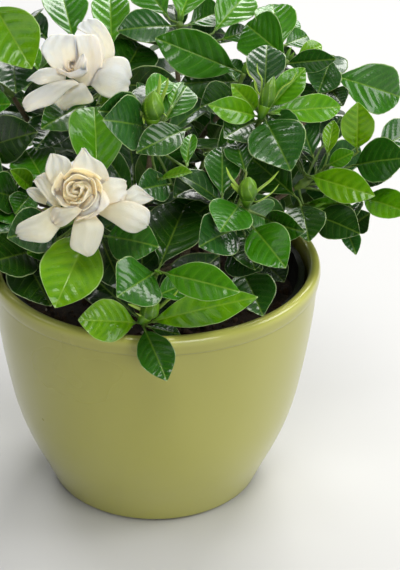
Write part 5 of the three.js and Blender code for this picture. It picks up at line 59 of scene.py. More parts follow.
SHOOTS = [
 ("leafy_shoot_01", [[[-28.7,38.4,241.9],[-31.4,31.2,247.0],[-34.9,22.2,253.3]],1.5,1.15], [[-29.6,35.9,243.7],[-31.7,30.5,247.5],[-29.5,36.2,243.4],[-31.2,31.7,246.6],[-29.8,35.5,244.0],[-30.3,34.2,244.9],[-29.5,36.2,243.5],[-31.6,30.9,247.2],[-30.6,33.3,245.5]], False, [
  [[-29.6,35.9,243.7],[-38.5,17.5,241.5],[-64.5,-25.1,243.1],[0.569,-0.317,0.759],25,0.1,14,-0.0,1.2,0,1],
  [[-31.7,30.5,247.5],[-22.2,28.1,249.3],[-8.9,68.8,259.3],[0.324,-0.324,0.889],30,0.06,10,0.0,1.1,0,2],
  [[-29.5,36.2,243.4],[-48.4,43.9,268.3],[-58.4,86.9,287.2],[0.03,-0.398,0.917],28,0.1,14,0.0,1.9,0,3],
  [[-31.2,31.7,246.6],[-25.9,41.1,264.4],[-27.8,83.2,287.3],[0.001,-0.478,0.878],24,0.1,14,0.0,2.3,0,4],
  [[-29.8,35.5,244.0],[-63.0,50.5,267.0],[-80.4,79.4,271.8],[-0.268,-0.314,0.911],18,0.08,10,-0.0,1.0,0,5],
  [[-30.3,34.2,244.9],[-34.4,16.9,240.5],[-20.0,6.5,249.8],[-0.69,-0.614,0.383],10,0.05,12,0.0,2.9,0,6],
  [[-29.5,36.2,243.5],[-53.4,27.2,229.1],[-68.5,-16.1,226.2],[0.208,-0.138,0.968],26,0.08,10,-0.0,0.5,0,7],
  [[-31.6,30.9,247.2],[-29.7,30.3,247.4],[15.6,20.3,250.1],[-0.21,-0.803,0.558],23.2,0.1,10,-6.9,0.43,1,8],
  [[-30.6,33.3,245.5],[-32.5,33.5,244.9],[-78.5,22.6,242.5],[0.147,-0.756,0.638],23.7,0.1,10,2.3,0.56,1,9],
 ]),
 ("leafy_shoot_02", [[[-35.8,-46.2,199.7],[-36.7,-53.4,205.3],[-37.8,-62.4,212.3]],1.5,1.15], [[-37.0,-55.9,207.3],[-37.5,-59.7,210.2],[-36.3,-50.4,203.0],[-36.3,-49.8,202.5],[-36.2,-49.2,202.0],[-36.1,-48.3,201.4],[-36.1,-48.3,201.4],[-36.6,-52.7,204.8],[-36.3,-50.3,202.9]], False, [
  [[-37.0,-55.9,207.3],[-32.7,-49.9,215.7],[-35.3,-4.2,247.9],[0.085,-0.57,0.817],35,0.12,26,0.0,2.5,0,10],
  [[-37.5,-59.7,210.2],[-35.2,-66.7,201.7],[-54.1,-109.8,175.2],[0.172,-0.569,0.804],34,0.12,9,-0.0,3.0,0,11],
  [[-36.3,-50.4,203.0],[-28.7,-65.4,196.0],[1.8,-93.3,203.6],[-0.615,-0.511,0.601],26,0.12,9,-0.0,1.7,0,12],
  [[-36.3,-49.8,202.5],[-53.2,-60.9,198.7],[-79.6,-93.3,209.0],[0.699,-0.378,0.606],27,0.1,9,0.0,0.8,0,13],
  [[-36.2,-49.2,202.0],[-52.5,-58.8,190.1],[-70.0,-85.1,195.0],[0.673,-0.326,0.664],20,0.06,8,0.0,2.2,0,14],
  [[-36.1,-48.3,201.4],[-78.4,-58.0,185.9],[-56.8,-100.6,171.2],[-0.078,-0.36,0.93],32,0.06,8,-0.0,0.35,0,15],
  [[-36.1,-48.3,201.4],[-63.8,-59.4,184.1],[-90.4,-104.1,198.9],[0.72,-0.209,0.662],28,0.06,8,0.0,0.4,0,16],
  [[-36.6,-52.7,204.8],[-38.4,-52.0,205.3],[-66.5,-50.0,219.9],[0.194,-0.851,0.489],15.9,0.1,10,-5.5,0.2,1,17],
  [[-36.3,-50.3,202.9],[-35.6,-51.5,201.5],[-18.2,-79.5,169.1],[-0.103,-0.779,0.618],23.1,0.1,10,-1.1,0.25,1,18],
 ]),
 ("leafy_shoot_03", [[[-2.6,-40.5,238.1],[-2.8,-44.0,246.7],[-3.1,-48.3,257.3]],1.5,1.15], [[-3.0,-47.6,255.5],[-2.9,-45.0,249.4],[-3.1,-47.8,256.1],[-2.8,-43.6,245.8],[-3.0,-46.1,252.0],[-2.7,-42.1,242.0],[-2.8,-43.4,245.4],[-2.7,-41.5,240.6],[-2.7,-41.7,241.2],[-2.8,-42.5,243.1],[-2.7,-42.2,242.4]], False, [
  [[-3.0,-47.6,255.5],[-6.9,-42.1,257.7],[-30.4,-72.9,273.9],[0.829,-0.503,0.247],24,0.1,12,-0.0,0.9,0,19],
  [[-2.9,-45.0,249.4],[-4.7,-41.3,250.8],[-27.7,-77.2,270.6],[0.872,-0.425,0.242],30,0.1,9,-0.0,1.3,0,20],
  [[-3.1,-47.8,256.1],[-6.9,-40.5,264.7],[7.0,-16.8,270.1],[0.306,-0.378,0.874],15,0.1,14,-0.0,2.2,0,21],
  [[-2.8,-43.6,245.8],[7.9,-42.4,262.0],[14.8,-18.3,269.0],[-0.287,-0.188,0.939],9,0.08,20,-0.0,2.2,0,22],
  [[-3.0,-46.1,252.0],[4.1,-42.3,253.7],[17.8,-10.5,263.5],[0.301,-0.397,0.867],20,0.08,10,-0.0,1.6,0,23],
  [[-2.7,-42.1,242.0],[19.0,-41.9,251.1],[-10.5,-71.7,249.2],[0.454,-0.497,0.739],19,0.08,10,0.0,0.9,0,24],
  [[-2.8,-43.4,245.4],[-2.0,-38.8,247.3],[11.8,-18.1,216.0],[0.575,-0.776,-0.259],24,0.06,10,0.0,1.3,0,25],
  [[-2.7,-41.5,240.6],[1.3,-62.3,229.5],[19.6,-77.2,240.6],[-0.627,-0.209,0.75],8,0.05,18,0.0,2.8,0,26],
  [[-2.7,-41.7,241.2],[9.1,-51.1,221.3],[-9.5,-78.1,230.3],[0.745,-0.318,0.586],20,0.05,10,-0.0,1.1,0,27],
  [[-2.8,-42.5,243.1],[16.8,-54.3,232.5],[20.5,-28.1,241.6],[-0.232,-0.287,0.929],10,0.06,14,-0.0,2.2,0,28],
  [[-2.7,-42.2,242.4],[-2.8,-40.4,243.1],[-4.6,2.0,259.1],[-0.023,-0.354,0.935],22.7,0.1,10,6.6,0.36,1,29],
 ]),
 ("leafy_shoot_04", [[[51.7,-17.2,231.5],[55.8,-18.9,239.5],[60.9,-21.0,249.6]],1.5,1.15], [[60.3,-20.7,248.5],[60.3,-20.7,248.5],[60.3,-20.7,248.5],[60.3,-20.7,248.5],[60.3,-20.7,248.5],[60.3,-20.7,248.5],[60.0,-20.6,247.9],[56.9,-19.3,241.7],[58.5,-20.0,244.9]], False, [
  [[60.3,-20.7,248.5],[57.8,-20.9,252.0],[41.6,-33.5,273.9],[0.504,-0.855,-0.119],14,0.1,16,0.0,2.9,0,30],
  [[60.3,-20.7,248.5],[58.4,-22.2,249.6],[28.8,-42.3,265.0],[0.627,-0.742,0.238],15,0.12,10,-0.0,2.7,0,31],
  [[60.3,-20.7,248.5],[60.5,-23.3,251.9],[106.5,-6.5,249.3],[0.326,-0.818,0.474],16.5,0.14,12,0.0,2.7,0,32],
  [[60.3,-20.7,248.5],[61.4,-20.7,248.3],[73.2,-72.6,239.2],[-0.315,-0.233,0.92],33,0.1,10,-0.0,1.3,0,33],
  [[60.3,-20.7,248.5],[63.6,-18.6,252.3],[84.2,-11.9,275.1],[-0.092,-0.93,0.357],16,0.1,14,-0.0,2.6,0,34],
  [[60.3,-20.7,248.5],[61.8,-10.8,254.0],[65.2,28.3,273.9],[-0.021,-0.451,0.892],23,0.08,9,-0.0,0.9,0,35],
  [[60.0,-20.6,247.9],[63.0,-11.7,248.2],[80.1,-44.3,244.5],[-0.635,-0.407,0.657],20,0.06,10,0.0,1.4,0,36],
  [[56.9,-19.3,241.7],[58.7,-10.1,242.6],[37.9,-44.0,246.1],[0.556,-0.261,0.789],24,0.06,10,-0.0,0.8,0,37],
  [[58.5,-20.0,244.9],[59.7,-16.6,245.2],[75.3,33.9,241.3],[0.271,-0.009,0.962],27.7,0.119,13.9,2.0,1.09,1,38],
 ]),
 ("leafy_shoot_05", [[[42.2,-59.0,203.3],[46.0,-64.7,209.4],[50.7,-71.8,217.1]],1.5,1.15], [[43.8,-61.4,205.9],[45.7,-64.3,209.0],[49.7,-70.2,215.4],[49.3,-69.6,214.7],[45.6,-64.1,208.8],[49.4,-69.8,215.0],[49.0,-69.2,214.4],[43.3,-60.6,205.1],[43.5,-60.9,205.4],[43.3,-60.7,205.2],[44.9,-63.1,207.8]], False, [
  [[43.8,-61.4,205.9],[49.8,-58.2,230.8],[45.2,-31.9,239.0],[-0.167,-0.32,0.933],17,0.06,10,0.0,1.3,0,39],
  [[45.7,-64.3,209.0],[36.6,-64.8,218.0],[37.5,-30.7,234.8],[0.054,-0.442,0.896],21,0.06,10,-0.0,1.5,0,40],
  [[49.7,-70.2,215.4],[46.3,-69.7,218.0],[34.4,-97.0,214.6],[0.309,-0.248,0.918],26,0.1,12,-0.0,1.9,0,41],
  [[49.3,-69.6,214.7],[48.6,-68.5,216.2],[61.9,-48.8,197.8],[0.791,-0.607,-0.077],22,0.08,12,-0.0,1.7,0,42],
  [[45.6,-64.1,208.8],[44.4,-70.9,203.2],[23.2,-99.7,207.0],[0.594,-0.341,0.729],27,0.12,10,0.0,1.2,0,43],
  [[49.4,-69.8,215.0],[52.8,-75.7,207.5],[69.2,-111.5,200.5],[-0.426,-0.357,0.831],26,0.14,14,0.0,1.9,0,44],
  [[49.0,-69.2,214.4],[58.7,-67.8,209.7],[79.7,-98.9,215.6],[-0.831,-0.526,0.18],17,0.1,12,-0.0,1.1,0,45],
  [[43.3,-60.6,205.1],[49.3,-62.9,197.3],[53.4,-102.5,194.5],[-0.095,-0.08,0.992],24,0.06,10,-0.0,0.7,0,46],
  [[43.5,-60.9,205.4],[47.5,-65.4,175.9],[58.1,-109.8,170.2],[-0.208,-0.174,0.963],26,0.08,8,-0.0,0.9,0,47],
  [[43.3,-60.7,205.2],[39.6,-60.3,184.7],[58.1,-91.1,188.4],[-0.615,-0.28,0.737],24,0.06,8,-0.0,0.6,0,48],
  [[44.9,-63.1,207.8],[41.4,-62.4,210.4],[10.6,-54.8,229.4],[0.435,-0.33,0.838],21.7,0.09,13.2,-7.8,0.7,1,49],
 ]),
 ("leafy_shoot_06", [[[-6.0,-70.7,141.5],[-6.5,-78.0,147.0],[-7.1,-87.2,153.9]],1.5,1.15], [[-7.0,-85.9,153.0],[-6.9,-84.3,151.7],[-7.0,-86.2,153.1],[-6.5,-77.8,146.8],[-6.7,-80.6,149.0],[-6.4,-77.2,146.4],[-6.5,-78.1,147.1]], False, [
  [[-7.0,-85.9,153.0],[-8.7,-86.3,152.3],[-42.4,-100.6,162.5],[0.462,-0.743,0.485],24,0.1,9,-0.0,3.0,0,50],
  [[-6.9,-84.3,151.7],[-6.5,-84.9,150.8],[55.4,-105.1,179.3],[-0.456,-0.771,0.445],19.5,0.1,10,-0.0,2.8,0,51],
  [[-7.0,-86.2,153.1],[-7.0,-90.6,152.8],[6.2,-124.1,137.8],[-0.15,-0.453,0.879],20.5,0.1,9,0.0,1.2,0,52],
  [[-6.5,-77.8,146.8],[-5.4,-78.6,145.8],[14.4,-77.1,139.0],[0.289,-0.651,0.702],9,0.04,9,-0.0,1.0,0,53],
  [[-6.7,-80.6,149.0],[-8.1,-79.8,150.0],[-44.0,-62.2,177.1],[0.012,-0.832,0.554],24.1,0.1,10,7.4,0.24,1,54],
  [[-6.4,-77.2,146.4],[-6.5,-76.0,148.0],[-7.9,-52.2,191.9],[-0.046,-0.88,0.473],25.0,0.1,10,-1.0,0.39,1,55],
  [[-6.5,-78.1,147.1],[-5.0,-77.4,148.2],[36.0,-61.7,182.2],[-0.127,-0.833,0.539],27.8,0.1,10,-0.4,0.42,1,56],
 ]),
 ("leafy_shoot_07", [[[82.7,1.5,193.8],[90.2,1.3,199.1],[99.7,1.0,205.7]],1.5,1.15], [[92.2,1.2,200.5],[86.7,1.4,196.6],[98.6,1.0,204.9],[98.6,1.0,204.9],[89.0,1.3,198.2],[86.6,1.4,196.6],[84.9,1.4,195.4],[87.5,1.4,197.2],[88.1,1.4,197.6],[84.9,1.4,195.4],[87.9,1.4,197.5],[90.9,1.3,199.5],[89.9,1.3,198.8],[86.5,1.4,196.4],[89.6,1.3,198.6],[97.1,1.1,203.9]], True, [
  [[92.2,1.2,200.5],[88.4,-5.0,205.7],[126.0,-31.5,204.7],[-0.478,-0.697,0.534],20,0.1,10,0.0,2.9,0,57],
  [[86.7,1.4,196.6],[118.1,-1.4,218.2],[116.0,-7.1,252.7],[-0.109,-0.979,-0.17],20,0.06,10,0.0,3.2,0,58],
  [[98.6,1.0,204.9],[101.4,4.9,212.1],[106.4,22.8,228.9],[-0.198,-0.641,0.742],10,0.04,14,0.0,3.1,0,59],
  [[98.6,1.0,204.9],[100.4,-1.0,209.6],[115.6,-6.7,221.2],[-0.539,-0.779,0.32],11,0.05,16,0.0,2.5,0,60],
  [[89.0,1.3,198.2],[116.4,4.1,207.4],[144.9,-21.7,224.2],[-0.734,-0.541,0.411],27,0.1,10,0.0,1.3,0,61],
  [[86.6,1.4,196.6],[131.1,18.8,209.9],[159.7,43.6,213.0],[0.3,-0.451,0.841],24,0.1,10,-0.0,1.2,0,62],
  [[84.9,1.4,195.4],[121.2,-5.1,190.8],[146.3,-35.9,195.4],[-0.571,-0.356,0.74],20,0.1,12,0.0,2.7,0,63],
  [[87.5,1.4,197.2],[95.1,17.3,205.2],[87.7,46.7,220.8],[-0.19,-0.496,0.847],22,0.06,10,0.0,1.5,0,64],
  [[88.1,1.4,197.6],[98.7,20.1,210.6],[113.6,43.0,223.0],[0.0,-0.48,0.877],16,0.06,10,-0.0,0.7,0,65],
  [[84.9,1.4,195.4],[87.6,-4.2,186.3],[113.7,-25.6,198.7],[-0.524,-0.803,-0.282],12,0.06,8,-0.0,2.4,0,66],
  [[87.9,1.4,197.5],[120.5,2.0,195.3],[137.6,-14.9,209.7],[-0.781,-0.357,0.512],9,0.05,10,0.0,1.0,0,67],
  [[90.9,1.3,199.5],[89.8,1.6,201.2],[60.7,9.3,235.3],[0.76,-0.008,0.65],22.7,0.1,10,-5.5,0.16,1,68],
  [[89.9,1.3,198.8],[88.8,1.9,200.4],[60.9,15.1,233.4],[0.764,0.003,0.645],22.6,0.1,10,5.0,0.57,1,69],
  [[86.5,1.4,196.4],[87.4,2.5,195.1],[123.1,25.7,179.1],[0.534,-0.268,0.802],22.7,0.1,10,-1.9,0.36,1,70],
  [[89.6,1.3,198.6],[92.3,3.2,199.8],[122.4,21.9,213.0],[0.264,-0.802,0.535],20.4,0.114,12.6,2.2,1.0,1,71],
  [[97.1,1.1,203.9],[95.1,4.8,201.8],[101.1,56.7,195.9],[0.105,0.101,0.989],27.0,0.109,11.5,-2.4,0.5,1,72],
 ]),
 ("leafy_shoot_08", [[[68.6,35.4,242.7],[73.0,37.5,250.5],[78.4,40.0,260.3]],1.5,1.15], [[77.8,39.7,259.2],[72.9,37.4,250.4],[77.8,39.7,259.2],[76.8,39.2,257.5],[70.2,36.2,245.6],[77.8,39.7,259.2],[72.4,37.2,249.6],[71.3,36.7,247.5],[71.6,36.8,248.1]], True, [
  [[77.8,39.7,259.2],[79.5,40.2,260.1],[55.2,72.6,271.0],[-0.515,-0.594,0.618],31,0.1,12,0.0,1.8,0,73],
  [[72.9,37.4,250.4],[76.6,51.8,264.6],[93.3,71.7,263.8],[0.501,-0.391,0.772],15,0.06,10,-0.0,1.5,0,74],
  [[77.8,39.7,259.2],[83.3,42.8,261.0],[100.5,56.2,263.7],[0.391,-0.638,0.663],11,0.05,10,-0.0,3.1,0,75],
  [[76.8,39.2,257.5],[75.9,39.1,258.0],[105.3,20.9,268.1],[-0.577,-0.749,0.326],14,0.06,10,0.0,1.0,0,76],
  [[70.2,36.2,245.6],[104.8,37.9,263.6],[95.9,22.1,246.4],[0.032,-0.745,0.666],21,0.06,10,0.0,1.1,0,77],
  [[77.8,39.7,259.2],[74.8,49.6,260.4],[71.9,89.8,277.9],[-0.001,-0.4,0.916],26,0.1,12,0.0,2.2,0,78],
  [[72.4,37.2,249.6],[65.0,70.8,265.3],[89.0,102.8,263.1],[0.428,-0.263,0.865],20,0.06,12,0.0,1.9,0,79],
  [[71.3,36.7,247.5],[71.4,38.6,247.0],[73.0,88.2,227.4],[0.482,0.308,0.82],26.7,0.1,10,-6.7,0.51,1,80],
  [[71.6,36.8,248.1],[71.5,38.8,247.7],[71.6,92.7,239.1],[0.478,0.137,0.867],27.3,0.1,10,-7.5,0.18,1,81],
 ]),
 ("leafy_shoot_09", [[[93.9,30.6,231.6],[99.7,32.3,238.5],[106.9,34.3,247.2]],1.5,1.15], [[106.1,34.1,246.2],[104.6,33.7,244.4],[97.3,31.6,235.7],[97.4,31.6,235.8],[101.9,32.9,241.2],[104.7,33.7,244.5]], True, [
  [[106.1,34.1,246.2],[103.6,37.6,252.4],[149.5,51.4,232.2],[0.381,-0.887,0.26],31,0.12,14,-0.0,1.7,0,82],
  [[104.6,33.7,244.4],[104.6,37.3,243.5],[110.5,16.3,240.6],[-0.392,-0.234,0.89],16,0.06,10,0.0,0.5,0,83],
  [[97.3,31.6,235.7],[102.1,59.1,237.4],[86.9,34.2,230.6],[0.115,-0.329,0.937],22,0.06,10,0.0,0.6,0,84],
  [[97.4,31.6,235.8],[98.0,33.3,234.9],[109.4,70.3,212.9],[0.648,0.233,0.725],22.3,0.1,10,3.8,0.51,1,85],
  [[101.9,32.9,241.2],[101.0,34.6,241.5],[77.4,79.8,250.4],[0.629,0.181,0.756],25.9,0.1,10,5.5,0.33,1,86],
  [[104.7,33.7,244.5],[103.9,38.5,244.1],[104.5,87.3,247.0],[0.45,-0.057,0.891],24.6,0.114,11.7,1.1,1.0,1,87],
 ]),
 ("leafy_shoot_10", [[[1.1,-81.4,182.2],[1.2,-89.5,186.4],[1.3,-99.7,191.7]],1.5,1.15], [[1.3,-98.6,191.1],[1.2,-91.3,187.3],[1.3,-94.8,189.2],[1.1,-83.8,183.4]], True, [
  [[1.3,-98.6,191.1],[2.4,-100.2,192.0],[44.0,-131.0,196.7],[-0.53,-0.629,0.569],20,0.12,10,-0.0,2.3,0,88],
  [[1.2,-91.3,187.3],[1.3,-91.1,187.7],[17.3,-39.8,203.5],[0.128,-0.327,0.936],33,0.06,8,-0.0,0.7,0,89],
  [[1.3,-94.8,189.2],[0.2,-94.9,189.1],[-20.2,-129.1,192.7],[0.61,-0.286,0.739],31,0.08,9,-0.0,1.5,0,90],
  [[1.1,-83.8,183.4],[-2.0,-96.3,173.8],[20.9,-74.0,172.2],[0.51,-0.472,0.719],17,0.06,9,0.0,1.8,0,91],
 ]),
 ("leafy_shoot_11", [[[-84.3,26.6,241.6],[-89.4,28.0,249.1],[-95.8,29.7,258.5]],1.5,1.15], [[-86.7,27.3,245.0],[-85.8,27.0,243.8],[-87.6,27.5,246.4],[-86.0,27.1,244.0],[-87.9,27.6,246.8],[-95.1,29.5,257.4],[-95.1,29.5,257.4],[-89.6,28.0,249.3],[-90.2,28.2,250.2],[-89.2,27.9,248.7]], True, [
  [[-86.7,27.3,245.0],[-94.8,35.2,296.9],[-69.9,-5.3,271.4],[-0.223,-0.614,0.757],33,0.1,12,0.0,2.9,0,92],
  [[-85.8,27.0,243.8],[-82.1,40.5,278.1],[-67.9,13.1,263.7],[0.228,-0.358,0.905],12,0.08,12,-0.0,2.5,0,93],
  [[-87.6,27.5,246.4],[-84.8,38.1,265.3],[-80.0,-0.2,254.7],[0.069,-0.256,0.964],28,0.08,8,0.0,1.0,0,94],
  [[-86.0,27.1,244.0],[-112.0,21.8,233.8],[-83.0,-1.6,248.5],[-0.666,-0.452,0.594],22,0.08,10,-0.0,2.0,0,95],
  [[-87.9,27.6,246.8],[-104.3,16.3,211.8],[-67.2,-12.8,236.0],[-0.697,-0.665,0.269],28,0.08,10,-0.0,0.5,0,96],
  [[-95.1,29.5,257.4],[-105.6,32.6,262.3],[-119.3,-3.8,293.7],[0.882,-0.45,-0.136],28,0.1,12,-0.0,1.5,0,97],
  [[-95.1,29.5,257.4],[-104.4,26.9,252.0],[-123.1,-18.8,260.3],[0.565,-0.081,0.821],28,0.1,12,0.0,1.2,0,98],
  [[-89.6,28.0,249.3],[-88.2,29.3,250.0],[-67.1,63.4,283.7],[-0.782,-0.119,0.611],26.2,0.1,10,-1.1,0.17,1,99],
  [[-90.2,28.2,250.2],[-91.9,28.0,249.1],[-131.5,22.1,222.3],[-0.569,0.148,0.809],24.1,0.1,10,4.2,0.58,1,100],
  [[-89.2,27.9,248.7],[-88.6,29.8,248.7],[-73.3,75.1,246.4],[-0.534,0.222,0.816],23.9,0.1,10,-6.5,0.36,1,101],
 ]),
 ("leafy_shoot_12", [[[-68.8,-30.3,195.5],[-75.4,-33.6,201.1],[-83.6,-37.7,208.0]],1.5,1.15], [[-71.6,-31.7,197.9],[-71.4,-31.6,197.7],[-75.9,-33.9,201.4],[-77.1,-34.5,202.5],[-77.8,-34.8,203.1],[-77.1,-34.5,202.5],[-81.9,-36.9,206.6],[-78.0,-34.9,203.3]], True, [
  [[-71.6,-31.7,197.9],[-62.0,-29.5,209.8],[-75.7,0.2,219.0],[-0.18,-0.365,0.913],28,0.06,10,-0.0,2.2,0,102],
  [[-71.4,-31.6,197.7],[-69.2,-39.2,212.5],[-80.4,-51.4,229.8],[0.793,-0.602,0.09],12,0.08,28,0.0,2.9,0,103],
  [[-75.9,-33.9,201.4],[-70.2,-35.1,207.4],[-78.2,-57.7,205.8],[0.343,-0.185,0.921],17,0.06,12,0.0,1.6,0,104],
  [[-77.1,-34.5,202.5],[-76.1,-34.8,203.4],[-94.4,-59.9,221.6],[0.86,-0.383,0.338],24,0.08,10,0.0,1.0,0,105],
  [[-77.8,-34.8,203.1],[-77.0,-37.7,202.3],[-93.4,-65.9,207.4],[0.602,-0.213,0.77],22,0.08,10,0.0,1.9,0,106],
  [[-77.1,-34.5,202.5],[-76.9,-42.2,198.2],[-97.0,-77.7,202.3],[0.379,-0.11,0.919],26,0.1,10,-0.0,1.4,0,107],
  [[-81.9,-36.9,206.6],[-82.9,-31.9,208.4],[-115.8,10.9,207.7],[-0.39,-0.287,0.875],30,0.1,12,0.0,1.4,0,108],
  [[-78.0,-34.9,203.3],[-78.9,-35.8,201.7],[-103.8,-56.7,171.7],[-0.631,-0.283,0.723],22.1,0.1,10,4.1,0.53,1,109],
 ]),
 ("leafy_shoot_13", [[[75.0,-13.6,180.2],[83.0,-15.5,184.4],[93.0,-17.8,189.6]],1.5,1.15], [[87.1,-16.5,186.5],[86.7,-16.4,186.3],[89.5,-17.0,187.8],[82.0,-15.3,183.8],[82.8,-15.4,184.3],[79.4,-14.7,182.5],[77.3,-14.2,181.4]], True, [
  [[87.1,-16.5,186.5],[83.5,-14.2,194.4],[56.8,21.7,205.2],[-0.416,-0.529,0.74],28,0.08,10,0.0,0.9,0,110],
  [[86.7,-16.4,186.3],[84.8,-13.9,191.0],[87.0,-53.5,186.3],[-0.107,-0.124,0.987],25,0.1,10,-0.0,0.8,0,111],
  [[89.5,-17.0,187.8],[92.2,-13.3,184.2],[117.0,-44.6,186.9],[-0.574,-0.392,0.719],23,0.08,10,-0.0,0.7,0,112],
  [[82.0,-15.3,183.8],[121.5,-15.2,194.9],[111.4,-36.3,189.8],[-0.476,0.013,0.879],12,0.05,10,0.0,0.9,0,113],
  [[82.8,-15.4,184.3],[114.9,-16.3,175.8],[124.0,-30.2,193.2],[-0.781,-0.619,-0.083],16,0.06,10,-0.0,0.6,0,114],
  [[79.4,-14.7,182.5],[109.7,-18.9,179.1],[115.7,-43.4,172.7],[-0.057,-0.268,0.962],12,0.14,20,0.0,1.4,0,115],
  [[77.3,-14.2,181.4],[65.0,3.9,143.1],[76.5,-23.8,144.3],[-0.367,-0.113,0.923],18,0.06,8,0.0,0.3,0,116],
 ]),
 ("leafy_shoot_14", [[[44.7,30.3,234.8],[48.2,32.4,243.1],[52.6,34.9,253.4]],1.5,1.15], [[52.1,34.7,252.2],[50.1,33.5,247.6],[47.3,31.8,240.9],[47.7,32.1,241.8],[46.7,31.5,239.5]], True, [
  [[52.1,34.7,252.2],[52.0,35.5,253.6],[-0.3,28.8,277.7],[0.232,-0.941,0.246],28,0.08,14,-0.0,1.6,0,117],
  [[50.1,33.5,247.6],[50.7,42.3,245.2],[14.3,20.6,252.4],[0.506,-0.669,0.545],24,0.08,10,-0.0,0.9,0,118],
  [[47.3,31.8,240.9],[50.7,38.3,237.8],[25.9,7.4,243.3],[0.65,-0.41,0.64],24,0.08,10,-0.0,0.8,0,119],
  [[47.7,32.1,241.8],[49.7,45.5,242.6],[43.3,70.0,248.7],[-0.057,-0.254,0.965],16,0.06,10,-0.0,1.5,0,120],
  [[46.7,31.5,239.5],[47.5,29.7,239.7],[64.4,-15.1,239.9],[0.405,0.158,0.901],23.9,0.1,10,6.3,0.57,1,121],
 ]),
 ("leafy_shoot_15", [[[13.0,52.6,257.6],[13.8,55.6,266.3],[14.8,59.4,277.1]],1.5,1.15], [[14.5,58.4,274.4],[14.7,58.8,275.6],[13.6,54.9,264.3],[13.3,53.6,260.7],[14.6,58.6,274.9],[14.7,58.9,275.9],[13.4,54.1,262.0],[13.7,55.2,265.1],[13.9,56.1,267.9],[13.9,56.1,267.9]], True, [
  [[14.5,58.4,274.4],[12.3,58.3,274.6],[-22.6,35.4,279.5],[0.487,-0.608,0.627],22,0.08,12,0.0,1.1,0,122],
  [[14.7,58.8,275.6],[13.5,58.9,275.7],[24.9,96.3,290.9],[0.101,-0.401,0.91],24,0.1,12,-0.0,2.3,0,123],
  [[13.6,54.9,264.3],[34.2,65.0,267.2],[57.6,102.5,280.0],[0.301,-0.471,0.829],26,0.1,12,-0.0,2.3,0,124],
  [[13.3,53.6,260.7],[39.2,67.0,262.7],[58.5,84.4,261.7],[0.454,-0.452,0.768],14,0.06,12,-0.0,1.6,0,125],
  [[14.6,58.6,274.9],[18.4,65.8,272.0],[41.5,98.4,269.6],[0.565,-0.346,0.749],22,0.08,12,-0.0,1.4,0,126],
  [[14.7,58.9,275.9],[8.7,64.0,276.4],[-9.7,104.9,286.6],[-0.34,-0.37,0.865],26,0.1,12,-0.0,2.0,0,127],
  [[13.4,54.1,262.0],[11.5,54.8,262.0],[-39.9,72.3,258.0],[0.044,0.343,0.938],27.2,0.1,10,1.2,0.14,1,128],
  [[13.7,55.2,265.1],[13.5,57.1,264.5],[9.5,103.0,257.8],[0.105,0.152,0.983],23.3,0.1,10,-3.4,0.55,1,129],
  [[13.9,56.1,267.9],[16.0,58.2,265.4],[44.9,92.8,256.8],[0.522,-0.229,0.822],25.7,0.102,12.0,5.5,0.85,1,130],
  [[13.9,56.1,267.9],[13.0,60.9,267.1],[10.1,89.7,277.4],[0.159,-0.316,0.935],16.9,0.127,12.9,7.4,0.69,1,131],
 ]),
 ("leafy_shoot_16", [[[-13.4,79.7,154.4],[-15.0,88.6,155.6],[-17.0,99.9,157.1]],1.5,1.15], [[-14.3,84.7,155.1],[-14.6,86.7,155.4],[-15.0,88.6,155.6],[-15.3,90.6,155.9],[-15.7,92.6,156.2],[-16.0,94.5,156.4],[-16.4,96.5,156.7],[-16.7,98.4,156.9]], True, [
  [[-14.3,84.7,155.1],[-12.3,85.1,155.1],[30.1,118.3,148.8],[-0.43,0.665,0.611],24.5,0.125,8.7,8.9,0.44,1,132],
  [[-14.6,86.7,155.4],[-15.9,86.3,156.9],[-52.2,92.7,188.5],[0.34,0.918,0.202],23.5,0.121,10.4,-5.8,0.6,1,133],
  [[-15.0,88.6,155.6],[-16.9,88.4,155.0],[-60.2,100.2,137.0],[-0.028,0.805,0.593],21.9,0.13,14.9,-9.1,0.77,1,134],
  [[-15.3,90.6,155.9],[-13.8,90.7,157.1],[9.9,117.4,178.6],[-0.814,0.53,0.238],19.9,0.087,14.0,-7.2,1.57,1,135],
  [[-15.7,92.6,156.2],[-16.6,92.2,157.9],[-40.8,117.8,189.3],[0.653,0.749,-0.109],21.7,0.142,12.1,6.8,1.81,1,136],
  [[-16.0,94.5,156.4],[-14.6,94.9,155.1],[4.3,131.3,134.6],[-0.315,0.585,0.747],20.8,0.135,14.4,-9.7,1.69,1,137],
  [[-16.4,96.5,156.7],[-14.8,96.6,157.9],[-2.6,128.9,174.4],[-0.926,0.176,0.335],16.3,0.116,14.4,8.1,2.09,1,138],
  [[-16.7,98.4,156.9],[-18.5,98.2,156.0],[-37.4,126.1,152.9],[0.364,0.344,0.866],14.9,0.128,14.2,-5.3,2.85,1,139],
 ]),
 ("leafy_shoot_17", [[[-72.4,37.0,166.6],[-80.4,40.7,169.3],[-90.4,45.2,172.6]],1.5,1.15], [[-76.9,39.1,168.1],[-78.6,39.9,168.7],[-80.4,40.7,169.3],[-82.1,41.5,169.8],[-83.9,42.3,170.4],[-85.6,43.0,171.0],[-87.3,43.8,171.6],[-89.1,44.6,172.2]], True, [
  [[-76.9,39.1,168.1],[-77.5,37.3,168.8],[-102.1,-12.5,175.0],[-0.662,0.406,0.63],26.5,0.096,9.7,-5.8,0.82,1,140],
  [[-78.6,39.9,168.7],[-78.4,41.4,167.4],[-87.8,80.1,133.2],[-0.711,0.361,0.603],22.5,0.113,10.8,-1.9,0.9,1,141],
  [[-80.4,40.7,169.3],[-79.6,41.1,171.0],[-81.8,59.2,207.1],[-0.999,-0.026,-0.047],22.2,0.127,15.0,-2.4,0.96,1,142],
  [[-82.1,41.5,169.8],[-83.0,40.9,168.1],[-114.7,38.3,139.3],[-0.651,0.324,0.686],19.0,0.104,10.7,-9.8,1.41,1,143],
